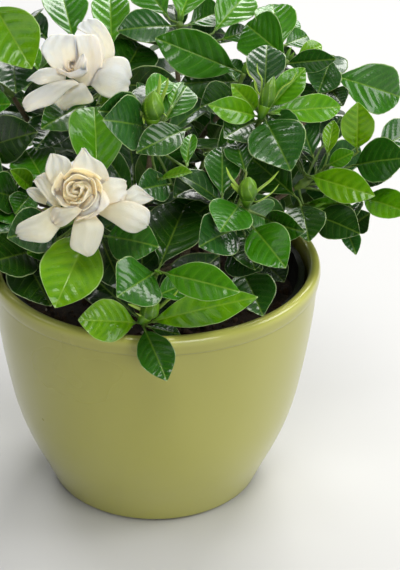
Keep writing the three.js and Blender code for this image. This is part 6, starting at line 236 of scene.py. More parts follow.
  [[-83.9,42.3,170.4],[-83.4,43.9,169.4],[-100.6,79.3,160.0],[-0.573,-0.06,0.817],16.7,0.128,15.8,3.0,1.52,1,144],
  [[-85.6,43.0,171.0],[-86.1,41.3,171.9],[-115.5,26.2,189.6],[-0.194,0.881,0.432],17.5,0.128,12.3,-9.4,1.72,1,145],
  [[-87.3,43.8,171.6],[-88.2,43.3,169.9],[-125.4,47.8,153.9],[-0.345,0.301,0.889],18.1,0.134,18.0,-7.2,2.54,1,146],
  [[-89.1,44.6,172.2],[-88.3,45.0,174.0],[-106.8,61.4,201.9],[-0.854,-0.401,-0.332],16.8,0.09,19.7,-3.2,3.03,1,147],
 ]),
 ("leafy_shoot_18", [[[51.8,60.5,153.8],[57.9,67.2,154.9],[65.6,75.7,156.3]],1.5,1.15], [[55.3,64.3,154.4],[56.6,65.8,154.7],[57.9,67.2,154.9],[59.3,68.7,155.2],[60.6,70.2,155.4],[62.0,71.6,155.7],[63.3,73.1,155.9],[64.6,74.6,156.2]], True, [
  [[55.3,64.3,154.4],[56.7,63.0,154.6],[107.6,46.4,146.7],[0.332,0.734,0.593],27.3,0.145,12.2,2.8,0.98,1,148],
  [[56.6,65.8,154.7],[55.6,66.5,156.3],[40.2,103.2,191.4],[0.955,0.251,0.157],30.3,0.084,10.0,-7.2,1.08,1,149],
  [[57.9,67.2,154.9],[56.5,68.6,155.0],[46.1,122.0,148.7],[0.73,0.218,0.648],24.0,0.082,10.8,3.6,0.85,1,150],
  [[59.3,68.7,155.2],[60.5,67.4,156.1],[108.6,56.8,171.7],[0.057,0.897,0.438],24.4,0.145,14.9,1.7,1.14,1,151],
  [[60.6,70.2,155.4],[59.4,71.0,156.8],[55.7,101.3,177.6],[0.986,0.011,0.163],16.9,0.1,11.8,-3.3,1.62,1,152],
  [[62.0,71.6,155.7],[63.2,70.7,154.3],[95.0,77.0,137.3],[0.281,0.603,0.746],14.4,0.113,14.5,7.9,2.18,1,153],
  [[63.3,73.1,155.9],[64.5,71.8,156.9],[100.9,80.3,171.6],[-0.362,0.834,0.418],17.7,0.131,14.3,9.1,2.3,1,154],
  [[64.6,74.6,156.2],[63.6,75.7,154.8],[73.9,102.3,148.8],[0.453,0.027,0.891],11.6,0.122,18.6,-0.0,2.52,1,155],
 ]),
 ("leafy_shoot_19", [[[-20.7,71.5,209.7],[-22.5,77.6,216.4],[-24.8,85.1,224.8]],1.5,1.15], [[-21.7,75.0,213.5],[-22.1,76.3,215.0],[-22.5,77.6,216.4],[-22.9,78.9,217.9],[-23.3,80.2,219.3],[-23.7,81.5,220.8],[-24.1,82.8,222.3],[-24.5,84.1,223.7],[-24.3,83.4,222.9],[-23.2,80.0,219.1]], True, [
  [[-21.7,75.0,213.5],[-19.7,75.3,213.7],[31.0,91.0,216.3],[-0.184,0.454,0.872],26.7,0.089,10.3,7.4,0.93,1,156],
  [[-22.1,76.3,215.0],[-24.0,76.2,214.5],[-82.4,87.3,209.3],[0.005,0.443,0.897],26.9,0.088,9.6,-6.3,0.83,1,157],
  [[-22.5,77.6,216.4],[-22.6,79.1,215.1],[-28.0,124.2,188.7],[-0.145,0.487,0.861],23.7,0.138,11.2,1.6,0.94,1,158],
  [[-22.9,78.9,217.9],[-22.3,77.6,219.2],[-15.4,67.1,259.4],[-0.357,0.888,0.291],19.1,0.149,15.9,0.6,1.53,1,159],
  [[-23.3,80.2,219.3],[-25.2,79.7,219.3],[-60.9,87.6,233.0],[0.406,0.422,0.81],16.9,0.087,16.9,6.3,1.37,1,160],
  [[-23.7,81.5,220.8],[-21.8,82.0,220.8],[3.6,112.7,241.6],[-0.659,0.035,0.752],20.5,0.134,16.5,1.0,1.84,1,161],
  [[-24.1,82.8,222.3],[-23.8,81.4,223.6],[-26.2,81.8,259.2],[-0.181,0.983,-0.022],14.2,0.111,13.4,7.5,2.45,1,162],
  [[-24.5,84.1,223.7],[-24.7,85.6,222.3],[-31.7,115.0,229.7],[0.013,-0.239,0.971],13.2,0.125,16.3,-3.4,2.79,1,163],
  [[-24.3,83.4,222.9],[-19.4,85.6,222.4],[17.2,110.8,225.4],[0.264,-0.48,0.837],21.8,0.128,12.8,-4.4,0.65,1,164],
  [[-23.2,80.0,219.1],[-25.9,77.8,220.4],[-45.4,57.9,226.1],[0.317,-0.037,0.948],14.1,0.113,12.1,-7.1,0.9,1,165],
 ]),
 ("leafy_shoot_20", [[[38.3,68.2,201.4],[41.8,74.2,207.4],[46.3,81.7,215.0]],1.5,1.15], [[41.1,72.9,206.1],[41.8,74.2,207.4],[42.6,75.5,208.7],[43.4,76.8,210.0],[44.1,78.1,211.4],[44.9,79.4,212.7],[45.7,80.7,214.0],[45.0,79.5,212.8]], True, [
  [[41.1,72.9,206.1],[39.5,74.1,205.8],[7.6,113.7,201.0],[0.35,0.386,0.853],24.7,0.087,12.4,6.6,0.99,1,166],
  [[41.8,74.2,207.4],[43.1,74.9,206.0],[77.3,100.5,175.3],[0.332,0.509,0.794],21.5,0.139,10.0,6.1,1.12,1,167],
  [[42.6,75.5,208.7],[41.6,74.6,210.2],[25.0,69.8,259.1],[0.649,0.704,0.289],24.9,0.083,12.8,-6.8,1.08,1,168],
  [[43.4,76.8,210.0],[41.8,78.0,209.8],[29.3,112.3,217.7],[0.528,-0.004,0.849],16.2,0.085,15.2,2.6,1.74,1,169],
  [[44.1,78.1,211.4],[45.7,76.8,211.7],[77.8,76.0,230.9],[-0.379,0.643,0.666],17.5,0.14,17.6,0.4,2.17,1,170],
  [[44.9,79.4,212.7],[43.8,78.5,214.1],[42.5,86.1,244.6],[0.783,0.611,-0.119],12.9,0.114,15.9,1.6,2.12,1,171],
  [[45.7,80.7,214.0],[46.7,81.6,212.5],[65.8,106.6,217.2],[-0.155,-0.066,0.986],14.5,0.125,19.1,3.8,2.51,1,172],
  [[45.0,79.5,212.8],[45.9,76.7,214.9],[63.4,71.0,246.2],[-0.817,-0.438,0.376],19.5,0.084,13.3,-7.6,1.27,1,173],
 ]),
 ("leafy_shoot_21", [[[74.3,24.0,154.8],[83.1,26.3,156.1],[94.1,29.3,157.7]],1.5,1.15], [[79.3,25.3,155.5],[81.2,25.8,155.8],[83.1,26.3,156.1],[85.0,26.9,156.4],[88.9,27.9,156.9],[90.8,28.4,157.2],[92.7,28.9,157.5],[89.7,28.1,157.0]], True, [
  [[79.3,25.3,155.5],[79.5,23.9,157.0],[97.4,-10.9,186.2],[0.725,0.622,0.297],25.2,0.112,13.3,-5.5,0.95,1,174],
  [[81.2,25.8,155.8],[80.7,27.3,157.1],[55.1,67.7,181.7],[0.825,0.198,0.529],27.5,0.12,11.6,1.3,1.02,1,175],
  [[83.1,26.3,156.1],[83.5,24.5,156.9],[120.4,-3.6,170.2],[0.449,0.788,0.421],20.5,0.112,10.1,9.1,0.83,1,176],
  [[85.0,26.9,156.4],[84.5,27.8,158.0],[90.8,55.2,191.9],[0.964,-0.265,0.036],20.3,0.096,14.3,9.6,1.44,1,177],
  [[88.9,27.9,156.9],[89.1,26.3,158.1],[121.0,12.3,175.7],[0.241,0.923,0.299],16.0,0.091,18.0,7.0,2.15,1,178],
  [[90.8,28.4,157.2],[90.3,29.5,158.8],[111.1,50.9,180.6],[0.708,-0.706,0.017],16.3,0.125,13.9,4.1,2.58,1,179],
  [[92.7,28.9,157.5],[93.2,27.7,156.0],[124.4,23.4,146.4],[0.32,0.362,0.876],14.4,0.129,18.8,-2.0,3.1,1,180],
  [[89.7,28.1,157.0],[89.1,27.6,160.5],[93.6,24.1,202.5],[0.129,-0.987,-0.094],22.4,0.108,12.0,7.2,1.16,1,181],
 ]),
 ("leafy_shoot_22", [[[-76.4,-2.7,154.0],[-85.5,-3.5,155.2],[-96.9,-4.5,156.6]],1.5,1.15], [[-81.6,-3.2,154.6],[-85.5,-3.5,155.2],[-87.5,-3.7,155.4],[-89.5,-3.9,155.7],[-91.4,-4.0,155.9],[-93.4,-4.2,156.2],[-95.4,-4.4,156.4]], True, [
  [[-81.6,-3.2,154.6],[-81.3,-3.1,156.6],[-77.3,-2.8,205.2],[-0.993,-0.087,0.083],28.7,0.138,9.3,5.0,0.9,1,182],
  [[-85.5,-3.5,155.2],[-85.7,-1.5,155.4],[-119.9,44.9,156.8],[-0.644,-0.491,0.587],29.2,0.097,15.3,1.1,0.86,1,183],
  [[-87.5,-3.7,155.4],[-87.4,-5.6,155.0],[-106.0,-43.1,144.5],[-0.747,0.195,0.635],20.6,0.09,15.1,-0.3,1.0,1,184],
  [[-89.5,-3.9,155.7],[-89.8,-2.5,154.3],[-128.3,12.8,134.3],[-0.522,-0.25,0.816],20.1,0.116,14.9,3.6,1.34,1,185],
  [[-91.4,-4.0,155.9],[-91.2,-4.0,157.9],[-122.9,-6.6,187.6],[-0.678,-0.075,-0.731],20.0,0.085,14.6,7.6,2.04,1,186],
  [[-93.4,-4.2,156.2],[-93.2,-6.2,156.1],[-121.6,-32.6,157.7],[-0.467,0.544,0.697],17.1,0.125,15.5,-4.1,2.55,1,187],
  [[-95.4,-4.4,156.4],[-95.5,-2.4,156.7],[-126.0,7.8,162.5],[-0.081,-0.664,0.744],14.4,0.107,15.3,2.3,2.93,1,188],
 ]),
 ("leafy_shoot_23", [[[-46.9,68.7,179.5],[-51.8,75.4,183.5],[-57.8,83.8,188.6]],1.5,1.15], [[-49.7,72.5,181.8],[-50.7,74.0,182.7],[-51.8,75.4,183.5],[-52.8,76.9,184.4],[-53.9,78.3,185.3],[-54.9,79.8,186.2],[-56.0,81.2,187.1],[-57.0,82.7,188.0]], True, [
  [[-49.7,72.5,181.8],[-50.7,71.1,182.8],[-74.0,28.7,194.7],[-0.46,0.465,0.756],25.4,0.113,8.9,1.9,0.92,1,189],
  [[-50.7,74.0,182.7],[-49.0,74.9,183.0],[-8.6,103.7,187.2],[-0.45,0.527,0.721],24.3,0.103,11.0,-9.5,0.65,1,190],
  [[-51.8,75.4,183.5],[-51.3,74.6,185.3],[-49.2,67.5,223.8],[-0.539,0.822,0.182],21.1,0.103,10.3,-6.5,0.89,1,191],
  [[-52.8,76.9,184.4],[-53.3,77.6,182.6],[-75.3,112.2,149.8],[-0.371,0.505,0.78],24.3,0.137,12.1,-1.6,1.17,1,192],
  [[-53.9,78.3,185.3],[-52.2,79.4,185.4],[-40.3,122.5,197.1],[-0.698,0.0,0.716],20.7,0.128,15.3,-6.7,1.45,1,193],
  [[-54.9,79.8,186.2],[-56.5,78.6,186.3],[-93.2,82.8,197.8],[0.296,0.646,0.704],15.4,0.128,13.2,4.1,1.81,1,194],
  [[-56.0,81.2,187.1],[-56.8,81.7,185.3],[-83.4,108.4,173.8],[-0.122,0.29,0.949],16.1,0.105,14.4,-0.2,2.42,1,195],
  [[-57.0,82.7,188.0],[-58.3,81.3,188.7],[-80.7,93.8,205.6],[0.684,0.472,0.556],13.0,0.133,16.8,9.0,2.52,1,196],
 ]),
 ("leafy_shoot_24", [[[-75.3,8.4,199.8],[-82.3,8.8,205.7],[-91.1,9.3,213.1]],1.5,1.15], [[-79.3,8.6,203.1],[-80.8,8.7,204.4],[-82.3,8.8,205.7]], True, [
  [[-79.3,8.6,203.1],[-80.4,9.4,201.7],[-131.2,28.9,174.1],[-0.478,0.002,0.879],25.9,0.141,12.3,-8.5,0.52,1,197],
  [[-80.8,8.7,204.4],[-81.2,6.8,204.1],[-88.0,-41.4,184.6],[-0.612,-0.22,0.759],27.1,0.099,14.4,-7.4,0.57,1,198],
  [[-82.3,8.8,205.7],[-83.2,7.3,204.8],[-117.4,-26.6,184.3],[-0.545,0.044,0.838],23.1,0.126,11.6,0.8,0.93,1,199],
 ]),
 ("leafy_shoot_25", [[[65.8,44.3,194.9],[72.1,48.1,200.4],[79.9,52.9,207.3]],1.5,1.15], [[69.3,46.5,198.0],[70.7,47.3,199.2],[72.1,48.1,200.4]], True, [
  [[69.3,46.5,198.0],[70.8,45.6,196.9],[127.8,40.0,175.9],[0.356,0.327,0.875],29.3,0.125,13.5,1.4,0.75,1,200],
  [[70.7,47.3,199.2],[69.9,46.3,200.7],[65.0,29.7,238.6],[0.682,0.633,0.366],23.1,0.136,9.2,8.3,0.81,1,201],
  [[72.1,48.1,200.4],[72.4,49.6,199.0],[103.1,89.0,188.2],[0.303,0.026,0.953],25.0,0.092,15.5,9.5,0.85,1,202],
 ]),
 ("leafy_shoot_26", [[[-57.4,41.1,213.4],[-62.5,44.4,220.3],[-68.8,48.4,229.1]],1.5,1.15], [[-60.3,43.0,217.3],[-61.4,43.7,218.8],[-62.5,44.4,220.3],[-63.6,45.1,221.9],[-64.7,45.8,223.4],[-65.8,46.5,224.9],[-66.9,47.2,226.4],[-67.9,47.9,227.9],[-62.0,44.0,219.6],[-67.6,47.7,227.5]], True, [
  [[-60.3,43.0,217.3],[-58.6,43.8,218.1],[-21.0,72.6,236.9],[-0.531,0.149,0.834],28.2,0.115,10.0,-7.2,0.5,1,203],
  [[-61.4,43.7,218.8],[-61.2,41.9,219.8],[-63.1,4.1,243.8],[-0.39,0.508,0.768],22.7,0.141,12.5,-3.4,1.08,1,204],
  [[-62.5,44.4,220.3],[-62.8,46.1,219.3],[-79.4,86.5,206.6],[-0.347,0.148,0.926],19.1,0.105,15.0,-4.2,0.74,1,205],
  [[-63.6,45.1,221.9],[-62.6,43.9,223.1],[-54.9,26.0,267.3],[-0.653,0.656,0.379],23.7,0.101,12.2,9.7,1.19,1,206],
  [[-64.7,45.8,223.4],[-66.3,44.8,222.7],[-103.8,42.0,231.4],[0.188,0.351,0.918],16.2,0.127,13.3,-8.7,1.88,1,207],
  [[-65.8,46.5,224.9],[-64.3,47.8,225.3],[-58.2,73.6,247.8],[-0.704,-0.364,0.61],16.8,0.113,14.4,1.7,1.72,1,208],
  [[-66.9,47.2,226.4],[-65.8,46.1,227.7],[-67.3,41.3,265.6],[-0.7,0.711,0.061],16.8,0.119,19.0,4.1,2.54,1,209],
  [[-67.9,47.9,227.9],[-68.4,49.5,226.8],[-88.0,75.2,237.6],[0.017,-0.378,0.926],13.0,0.117,14.5,4.6,2.51,1,210],
  [[-62.0,44.0,219.6],[-64.7,45.4,217.6],[-108.3,69.3,215.0],[-0.195,-0.255,0.947],26.7,0.095,8.5,7.4,1.09,1,211],
  [[-67.6,47.7,227.5],[-70.3,49.0,225.1],[-116.0,73.2,220.9],[-0.19,-0.193,0.963],26.9,0.105,8.3,-3.2,0.81,1,212],
 ]),
 ("leafy_shoot_27", [[[16.4,82.3,171.5],[18.2,90.7,174.7],[20.4,101.3,178.8]],1.5,1.15], [[17.8,88.9,174.0],[18.2,90.7,174.7],[18.6,92.6,175.4],[19.0,94.4,176.1],[19.3,96.2,176.8],[19.7,98.1,177.5],[20.1,99.9,178.2],[19.7,98.2,177.6]], True, [
  [[17.8,88.9,174.0],[15.8,89.2,174.3],[-27.5,130.1,185.1],[0.588,0.446,0.675],28.0,0.132,13.1,-4.0,0.7,1,213],
  [[18.2,90.7,174.7],[20.0,90.7,173.8],[68.2,114.2,150.6],[0.03,0.672,0.74],27.6,0.094,10.1,-4.6,0.99,1,214],
  [[18.6,92.6,175.4],[16.9,92.4,176.6],[-14.2,116.8,205.6],[0.763,0.526,0.376],23.4,0.106,14.3,-4.8,1.26,1,215],
  [[19.0,94.4,176.1],[18.2,95.2,174.5],[11.0,127.9,152.6],[0.191,0.575,0.796],16.5,0.12,15.4,3.7,1.66,1,216],
  [[19.3,96.2,176.8],[19.5,95.5,178.7],[28.3,116.8,210.0],[-0.296,0.826,-0.48],18.2,0.12,12.6,8.2,1.87,1,217],
  [[19.7,98.1,177.5],[18.0,98.1,178.5],[-6.4,120.2,200.6],[0.789,0.467,0.399],18.1,0.139,15.4,-4.6,2.35,1,218],
  [[20.1,99.9,178.2],[21.7,100.0,177.0],[38.4,126.7,178.2],[-0.329,0.166,0.929],11.9,0.137,14.2,-4.2,2.94,1,219],
  [[19.7,98.2,177.6],[23.5,95.8,181.3],[42.4,100.5,201.8],[-0.469,-0.661,0.585],15.4,0.103,13.0,-4.6,1.04,1,220],
 ]),
 ("leafy_shoot_28", [[[2.0,2.0,212.8],[2.0,2.0,222.0],[2.0,2.0,233.5]],1.5,1.15], [[2.0,2.0,218.0],[2.0,2.0,220.8],[2.0,2.0,223.6],[2.0,2.0,226.4],[2.0,2.0,229.2],[2.0,2.0,232.0]], True, [
  [[2.0,2.0,218.0],[3.8,1.0,218.0],[46.5,-22.3,225.3],[-0.131,0.071,0.989],22.3,0.12,8.7,8.7,0.76,2,221],
  [[2.0,2.0,220.8],[0.6,3.4,220.8],[-33.1,38.3,232.3],[0.161,-0.166,0.973],26.9,0.105,12.7,-8.2,0.83,2,222],
  [[2.0,2.0,223.6],[3.6,3.1,223.6],[38.6,27.5,241.7],[-0.321,-0.223,0.92],20.8,0.08,10.9,-7.6,1.02,2,223],
  [[2.0,2.0,226.4],[0.2,1.2,226.4],[-26.1,-9.6,248.1],[0.561,0.232,0.794],16.2,0.104,14.7,-4.1,1.2,2,224],
  [[2.0,2.0,229.2],[0.8,3.6,229.2],[-10.9,20.3,253.6],[0.442,-0.627,0.641],13.4,0.116,17.0,-7.6,1.2,2,225],
  [[2.0,2.0,232.0],[2.7,0.1,232.0],[8.2,-14.3,260.0],[-0.313,0.818,0.482],12.5,0.136,19.2,1.3,1.2,2,226],
 ]),
 ("leafy_shoot_29", [[[27.1,16.8,198.8],[30.4,19.3,207.1],[34.5,22.4,217.3]],1.5,1.15], [[29.0,18.2,203.5],[30.0,19.0,206.0],[31.0,19.7,208.5],[32.0,20.5,211.0],[33.0,21.2,213.5],[34.0,22.0,216.0],[29.9,18.9,205.7]], True, [
  [[29.0,18.2,203.5],[28.6,20.2,203.1],[23.3,66.8,189.7],[0.234,0.292,0.928],22.0,0.148,9.5,-8.1,0.98,2,227],
  [[30.0,19.0,206.0],[29.9,17.1,206.6],[31.6,-21.4,217.7],[0.241,0.28,0.929],20.5,0.082,14.1,-8.6,0.78,2,228],
  [[31.0,19.7,208.5],[29.1,20.2,209.1],[3.3,33.4,232.1],[0.668,0.011,0.744],18.0,0.087,10.4,-7.8,1.2,2,229],
  [[32.0,20.5,211.0],[33.8,20.8,210.2],[70.0,32.8,216.4],[-0.186,0.053,0.981],18.8,0.102,12.5,7.3,1.2,2,230],
  [[33.0,21.2,213.5],[32.9,19.3,214.1],[38.0,-0.2,234.8],[0.173,0.738,0.653],12.8,0.113,15.9,-6.7,1.2,2,231],
  [[34.0,22.0,216.0],[33.9,23.9,215.5],[41.3,44.7,231.6],[0.057,-0.625,0.779],11.5,0.149,19.5,-9.7,1.2,2,232],
  [[29.9,18.9,205.7],[28.3,15.8,206.3],[19.7,-3.3,212.7],[0.398,0.122,0.909],11.5,0.08,13.0,-3.9,0.88,1,233],
 ]),
 ("leafy_shoot_30", [[[-29.0,16.5,196.5],[-32.3,18.2,204.9],[-36.5,20.3,215.4]],1.5,1.15], [[-30.9,17.4,201.2],[-31.9,18.0,203.8],[-32.9,18.5,206.3],[-34.0,19.0,208.9],[-35.0,19.5,211.4],[-36.0,20.0,214.0]], True, [
  [[-30.9,17.4,201.2],[-30.5,19.4,201.0],[-25.6,65.7,196.3],[-0.248,0.123,0.961],22.4,0.115,12.7,9.4,0.6,2,234],
  [[-31.9,18.0,203.8],[-32.7,16.1,203.8],[-54.9,-17.6,216.4],[-0.086,0.398,0.914],22.5,0.128,12.5,9.0,1.11,2,235],
  [[-32.9,18.5,206.3],[-34.7,18.9,205.5],[-77.7,31.1,204.6],[-0.006,0.057,0.998],20.1,0.126,14.8,5.2,0.98,2,236],
  [[-34.0,19.0,208.9],[-32.2,19.9,209.4],[-3.2,40.4,229.2],[-0.534,-0.057,0.844],19.4,0.131,16.0,-2.5,1.2,2,237],
  [[-35.0,19.5,211.4],[-35.5,17.6,211.6],[-51.9,5.6,239.6],[0.297,0.804,0.516],14.0,0.1,17.1,5.7,1.2,2,238],
  [[-36.0,20.0,214.0],[-35.4,21.9,213.8],[-40.3,42.5,236.3],[-0.206,-0.744,0.635],12.4,0.09,14.8,-8.2,1.2,2,239],
 ]),
 ("leafy_shoot_31", [[[4.0,42.1,197.5],[4.0,46.9,205.4],[4.0,52.8,215.3]],1.5,1.15], [[4.0,44.8,202.0],[4.0,46.2,204.4],[4.0,47.7,206.8],[4.0,49.1,209.2],[4.0,50.6,211.6],[4.0,52.0,214.0]], True, [
  [[4.0,44.8,202.0],[6.0,45.0,201.9],[49.5,47.3,184.3],[0.327,0.393,0.859],22.4,0.097,9.0,-8.6,0.83,2,240],
  [[4.0,46.2,204.4],[2.0,46.0,204.6],[-38.5,50.0,214.8],[0.263,0.341,0.903],18.7,0.14,13.0,4.3,0.74,2,241],
  [[4.0,47.7,206.8],[4.0,49.4,205.8],[4.8,95.8,197.7],[-0.003,0.171,0.985],19.4,0.147,11.3,1.6,1.04,2,242],
  [[4.0,49.1,209.2],[4.0,47.4,210.2],[3.5,36.2,244.6],[0.016,0.95,0.311],16.5,0.104,14.5,-1.6,1.2,2,243],
  [[4.0,50.6,211.6],[2.0,50.2,211.8],[-17.2,58.6,232.5],[0.757,0.211,0.618],12.9,0.091,14.7,-0.3,1.2,2,244],
  [[4.0,52.0,214.0],[5.9,52.4,213.7],[20.8,67.1,230.4],[-0.688,-0.116,0.716],10.8,0.099,16.0,3.9,1.2,2,245],
 ]),
 ("leafy_shoot_32", [[[-10.3,-25.4,188.9],[-11.1,-29.5,197.1],[-12.1,-34.7,207.3]],1.5,1.15], [[-10.8,-27.8,193.5],[-11.0,-29.0,196.0],[-11.3,-30.3,198.5],[-11.5,-31.5,201.0],[-11.8,-32.8,203.5],[-12.0,-34.0,206.0],[-11.2,-30.0,198.1],[-11.4,-31.2,200.4]], True, [
  [[-10.8,-27.8,193.5],[-12.4,-28.8,192.9],[-49.6,-55.5,174.4],[-0.172,-0.387,0.906],22.2,0.121,9.4,-9.0,0.85,2,246],
  [[-11.0,-29.0,196.0],[-9.5,-27.9,196.7],[23.3,-10.1,213.8],[-0.238,-0.407,0.882],18.7,0.089,10.9,-4.6,0.67,2,247],
  [[-11.3,-30.3,198.5],[-9.8,-31.5,198.0],[16.9,-59.7,192.8],[-0.095,-0.269,0.959],16.3,0.088,14.0,-1.7,0.97,2,248],
  [[-11.5,-31.5,201.0],[-12.7,-30.0,201.6],[-33.8,-16.6,229.1],[0.379,-0.683,0.625],16.3,0.091,14.7,-3.6,1.2,2,249],
  [[-11.8,-32.8,203.5],[-10.6,-31.3,204.3],[2.5,-21.3,231.4],[-0.478,-0.722,0.501],14.6,0.086,18.4,-3.2,1.2,2,250],
  [[-12.0,-34.0,206.0],[-13.3,-35.3,205.2],[-27.6,-58.5,222.5],[0.416,0.363,0.834],12.6,0.093,19.9,9.8,1.2,2,251],
  [[-11.2,-30.0,198.1],[-6.7,-29.7,198.3],[18.7,-34.8,211.7],[-0.477,-0.518,0.71],16.7,0.106,13.4,1.1,1.02,1,252],
  [[-11.4,-31.2,200.4],[-12.1,-27.1,204.4],[-16.3,7.4,226.9],[0.128,-0.532,0.837],20.1,0.125,13.1,3.1,0.65,1,253],
 ]),
 ("leafy_shoot_33", [[[33.3,-19.3,189.3],[36.5,-22.5,197.3],[40.5,-26.5,207.3]],1.5,1.15], [[35.1,-21.1,193.8],[36.1,-22.1,196.3],[37.1,-23.1,198.7],[38.1,-24.1,201.1],[39.0,-25.0,203.6],[40.2,-26.2,206.4],[36.1,-22.1,196.2],[39.6,-25.6,205.1],[40.2,-26.2,206.4],[38.0,-24.0,201.1],[38.3,-24.3,201.7],[40.0,-26.0,205.9]], True, [
  [[35.1,-21.1,193.8],[35.7,-22.8,192.9],[52.6,-63.1,169.5],[0.3,-0.381,0.874],23.3,0.093,11.4,4.0,0.82,2,254],
  [[36.1,-22.1,196.3],[34.5,-23.2,196.5],[9.6,-46.2,218.3],[0.758,-0.246,0.604],19.0,0.082,12.2,-6.7,0.62,2,255],
  [[37.1,-23.1,198.7],[38.2,-24.4,197.7],[61.0,-57.0,186.7],[0.334,-0.082,0.939],20.4,0.144,12.0,-9.6,1.2,2,256],
  [[38.1,-24.1,201.1],[37.8,-22.2,201.9],[41.3,-0.3,237.5],[0.538,-0.739,0.405],18.2,0.092,13.5,-0.3,1.2,2,257],
  [[39.0,-25.0,203.6],[37.2,-25.3,204.2],[26.7,-37.7,233.7],[0.916,0.131,0.379],13.5,0.109,18.0,9.0,1.2,2,258],
  [[40.2,-26.2,206.4],[37.7,-29.0,207.4],[9.9,-63.0,218.7],[0.408,-0.031,0.912],25.1,0.129,10.0,5.1,0.67,1,259],
  [[36.1,-22.1,196.2],[32.2,-24.8,196.8],[4.5,-40.7,195.0],[0.247,-0.522,0.816],18.2,0.125,13.8,0.8,1.23,1,260],
  [[39.6,-25.6,205.1],[41.7,-29.1,203.1],[56.4,-50.3,202.8],[-0.241,-0.18,0.954],14.0,0.119,11.7,6.0,0.59,1,261],
  [[40.2,-26.2,206.4],[38.8,-29.3,205.0],[36.6,-60.0,212.2],[-0.195,0.236,0.952],17.1,0.127,13.1,3.8,1.09,1,262],
  [[38.0,-24.0,201.1],[34.8,-27.0,199.2],[16.4,-49.7,193.9],[0.061,-0.274,0.96],16.5,0.083,13.8,1.5,0.89,1,263],
  [[38.3,-24.3,201.7],[42.9,-24.3,200.3],[76.4,-22.8,183.2],[0.365,-0.658,0.659],18.9,0.087,9.6,3.6,0.95,1,264],
  [[40.0,-26.0,205.9],[39.8,-31.8,204.5],[43.6,-53.1,210.2],[-0.406,0.168,0.899],13.1,0.126,12.6,0.8,0.77,1,265],
 ]),
 ("leafy_shoot_34", [[[-38.3,-12.8,183.8],[-42.9,-14.3,191.5],[-48.8,-16.3,201.3]],1.5,1.15], [[-40.9,-13.6,188.2],[-43.7,-14.6,192.9],[-45.2,-15.1,195.3],[-46.6,-15.5,197.6],[-48.0,-16.0,200.0]], True, [
  [[-40.9,-13.6,188.2],[-40.7,-15.6,187.9],[-45.2,-63.1,182.6],[-0.346,-0.071,0.935],23.9,0.138,12.5,-3.4,0.57,2,266],
  [[-43.7,-14.6,192.9],[-42.0,-15.0,193.8],[-31.6,-27.7,229.5],[-0.911,0.225,0.347],17.7,0.114,13.5,-1.1,1.09,2,267],
  [[-45.2,-15.1,195.3],[-46.9,-15.2,194.2],[-85.8,-20.9,195.6],[0.045,-0.064,0.997],17.5,0.14,16.5,7.0,1.2,2,268],
  [[-46.6,-15.5,197.6],[-47.7,-13.9,197.3],[-76.2,6.6,210.9],[0.068,-0.486,0.871],15.8,0.127,16.3,6.0,1.2,2,269],
  [[-48.0,-16.0,200.0],[-47.8,-18.0,199.7],[-58.4,-35.2,218.0],[-0.05,0.739,0.672],10.9,0.091,19.4,7.8,1.2,2,270],
 ]),
 ("leafy_shoot_35", [[[47.7,31.4,182.3],[52.6,35.5,188.8],[58.8,40.7,197.1]],1.5,1.15], [[50.5,33.7,186.0],[52.0,35.0,188.0],[53.5,36.2,190.0],[55.0,37.5,192.0],[58.0,40.0,196.0]], True, [
  [[50.5,33.7,186.0],[48.9,33.8,187.1],[18.9,44.7,218.6],[0.743,0.237,0.626],25.6,0.132,10.5,-8.5,0.57,2,271],
  [[52.0,35.0,188.0],[52.6,36.3,186.7],[81.9,73.4,182.2],[0.146,0.004,0.989],21.5,0.133,12.3,-7.7,0.87,2,272],
  [[53.5,36.2,190.0],[53.9,34.5,190.8],[73.7,15.6,213.3],[0.063,0.793,0.606],17.8,0.098,13.4,9.8,1.18,2,273],
  [[55.0,37.5,192.0],[55.0,39.2,191.0],[68.8,76.3,190.3],[0.261,-0.08,0.962],16.2,0.148,14.1,-5.0,1.2,2,274],
  [[58.0,40.0,196.0],[56.3,40.3,197.0],[58.4,53.2,220.8],[0.919,-0.375,0.122],11.8,0.088,15.6,4.5,1.2,2,275],
 ]),
]
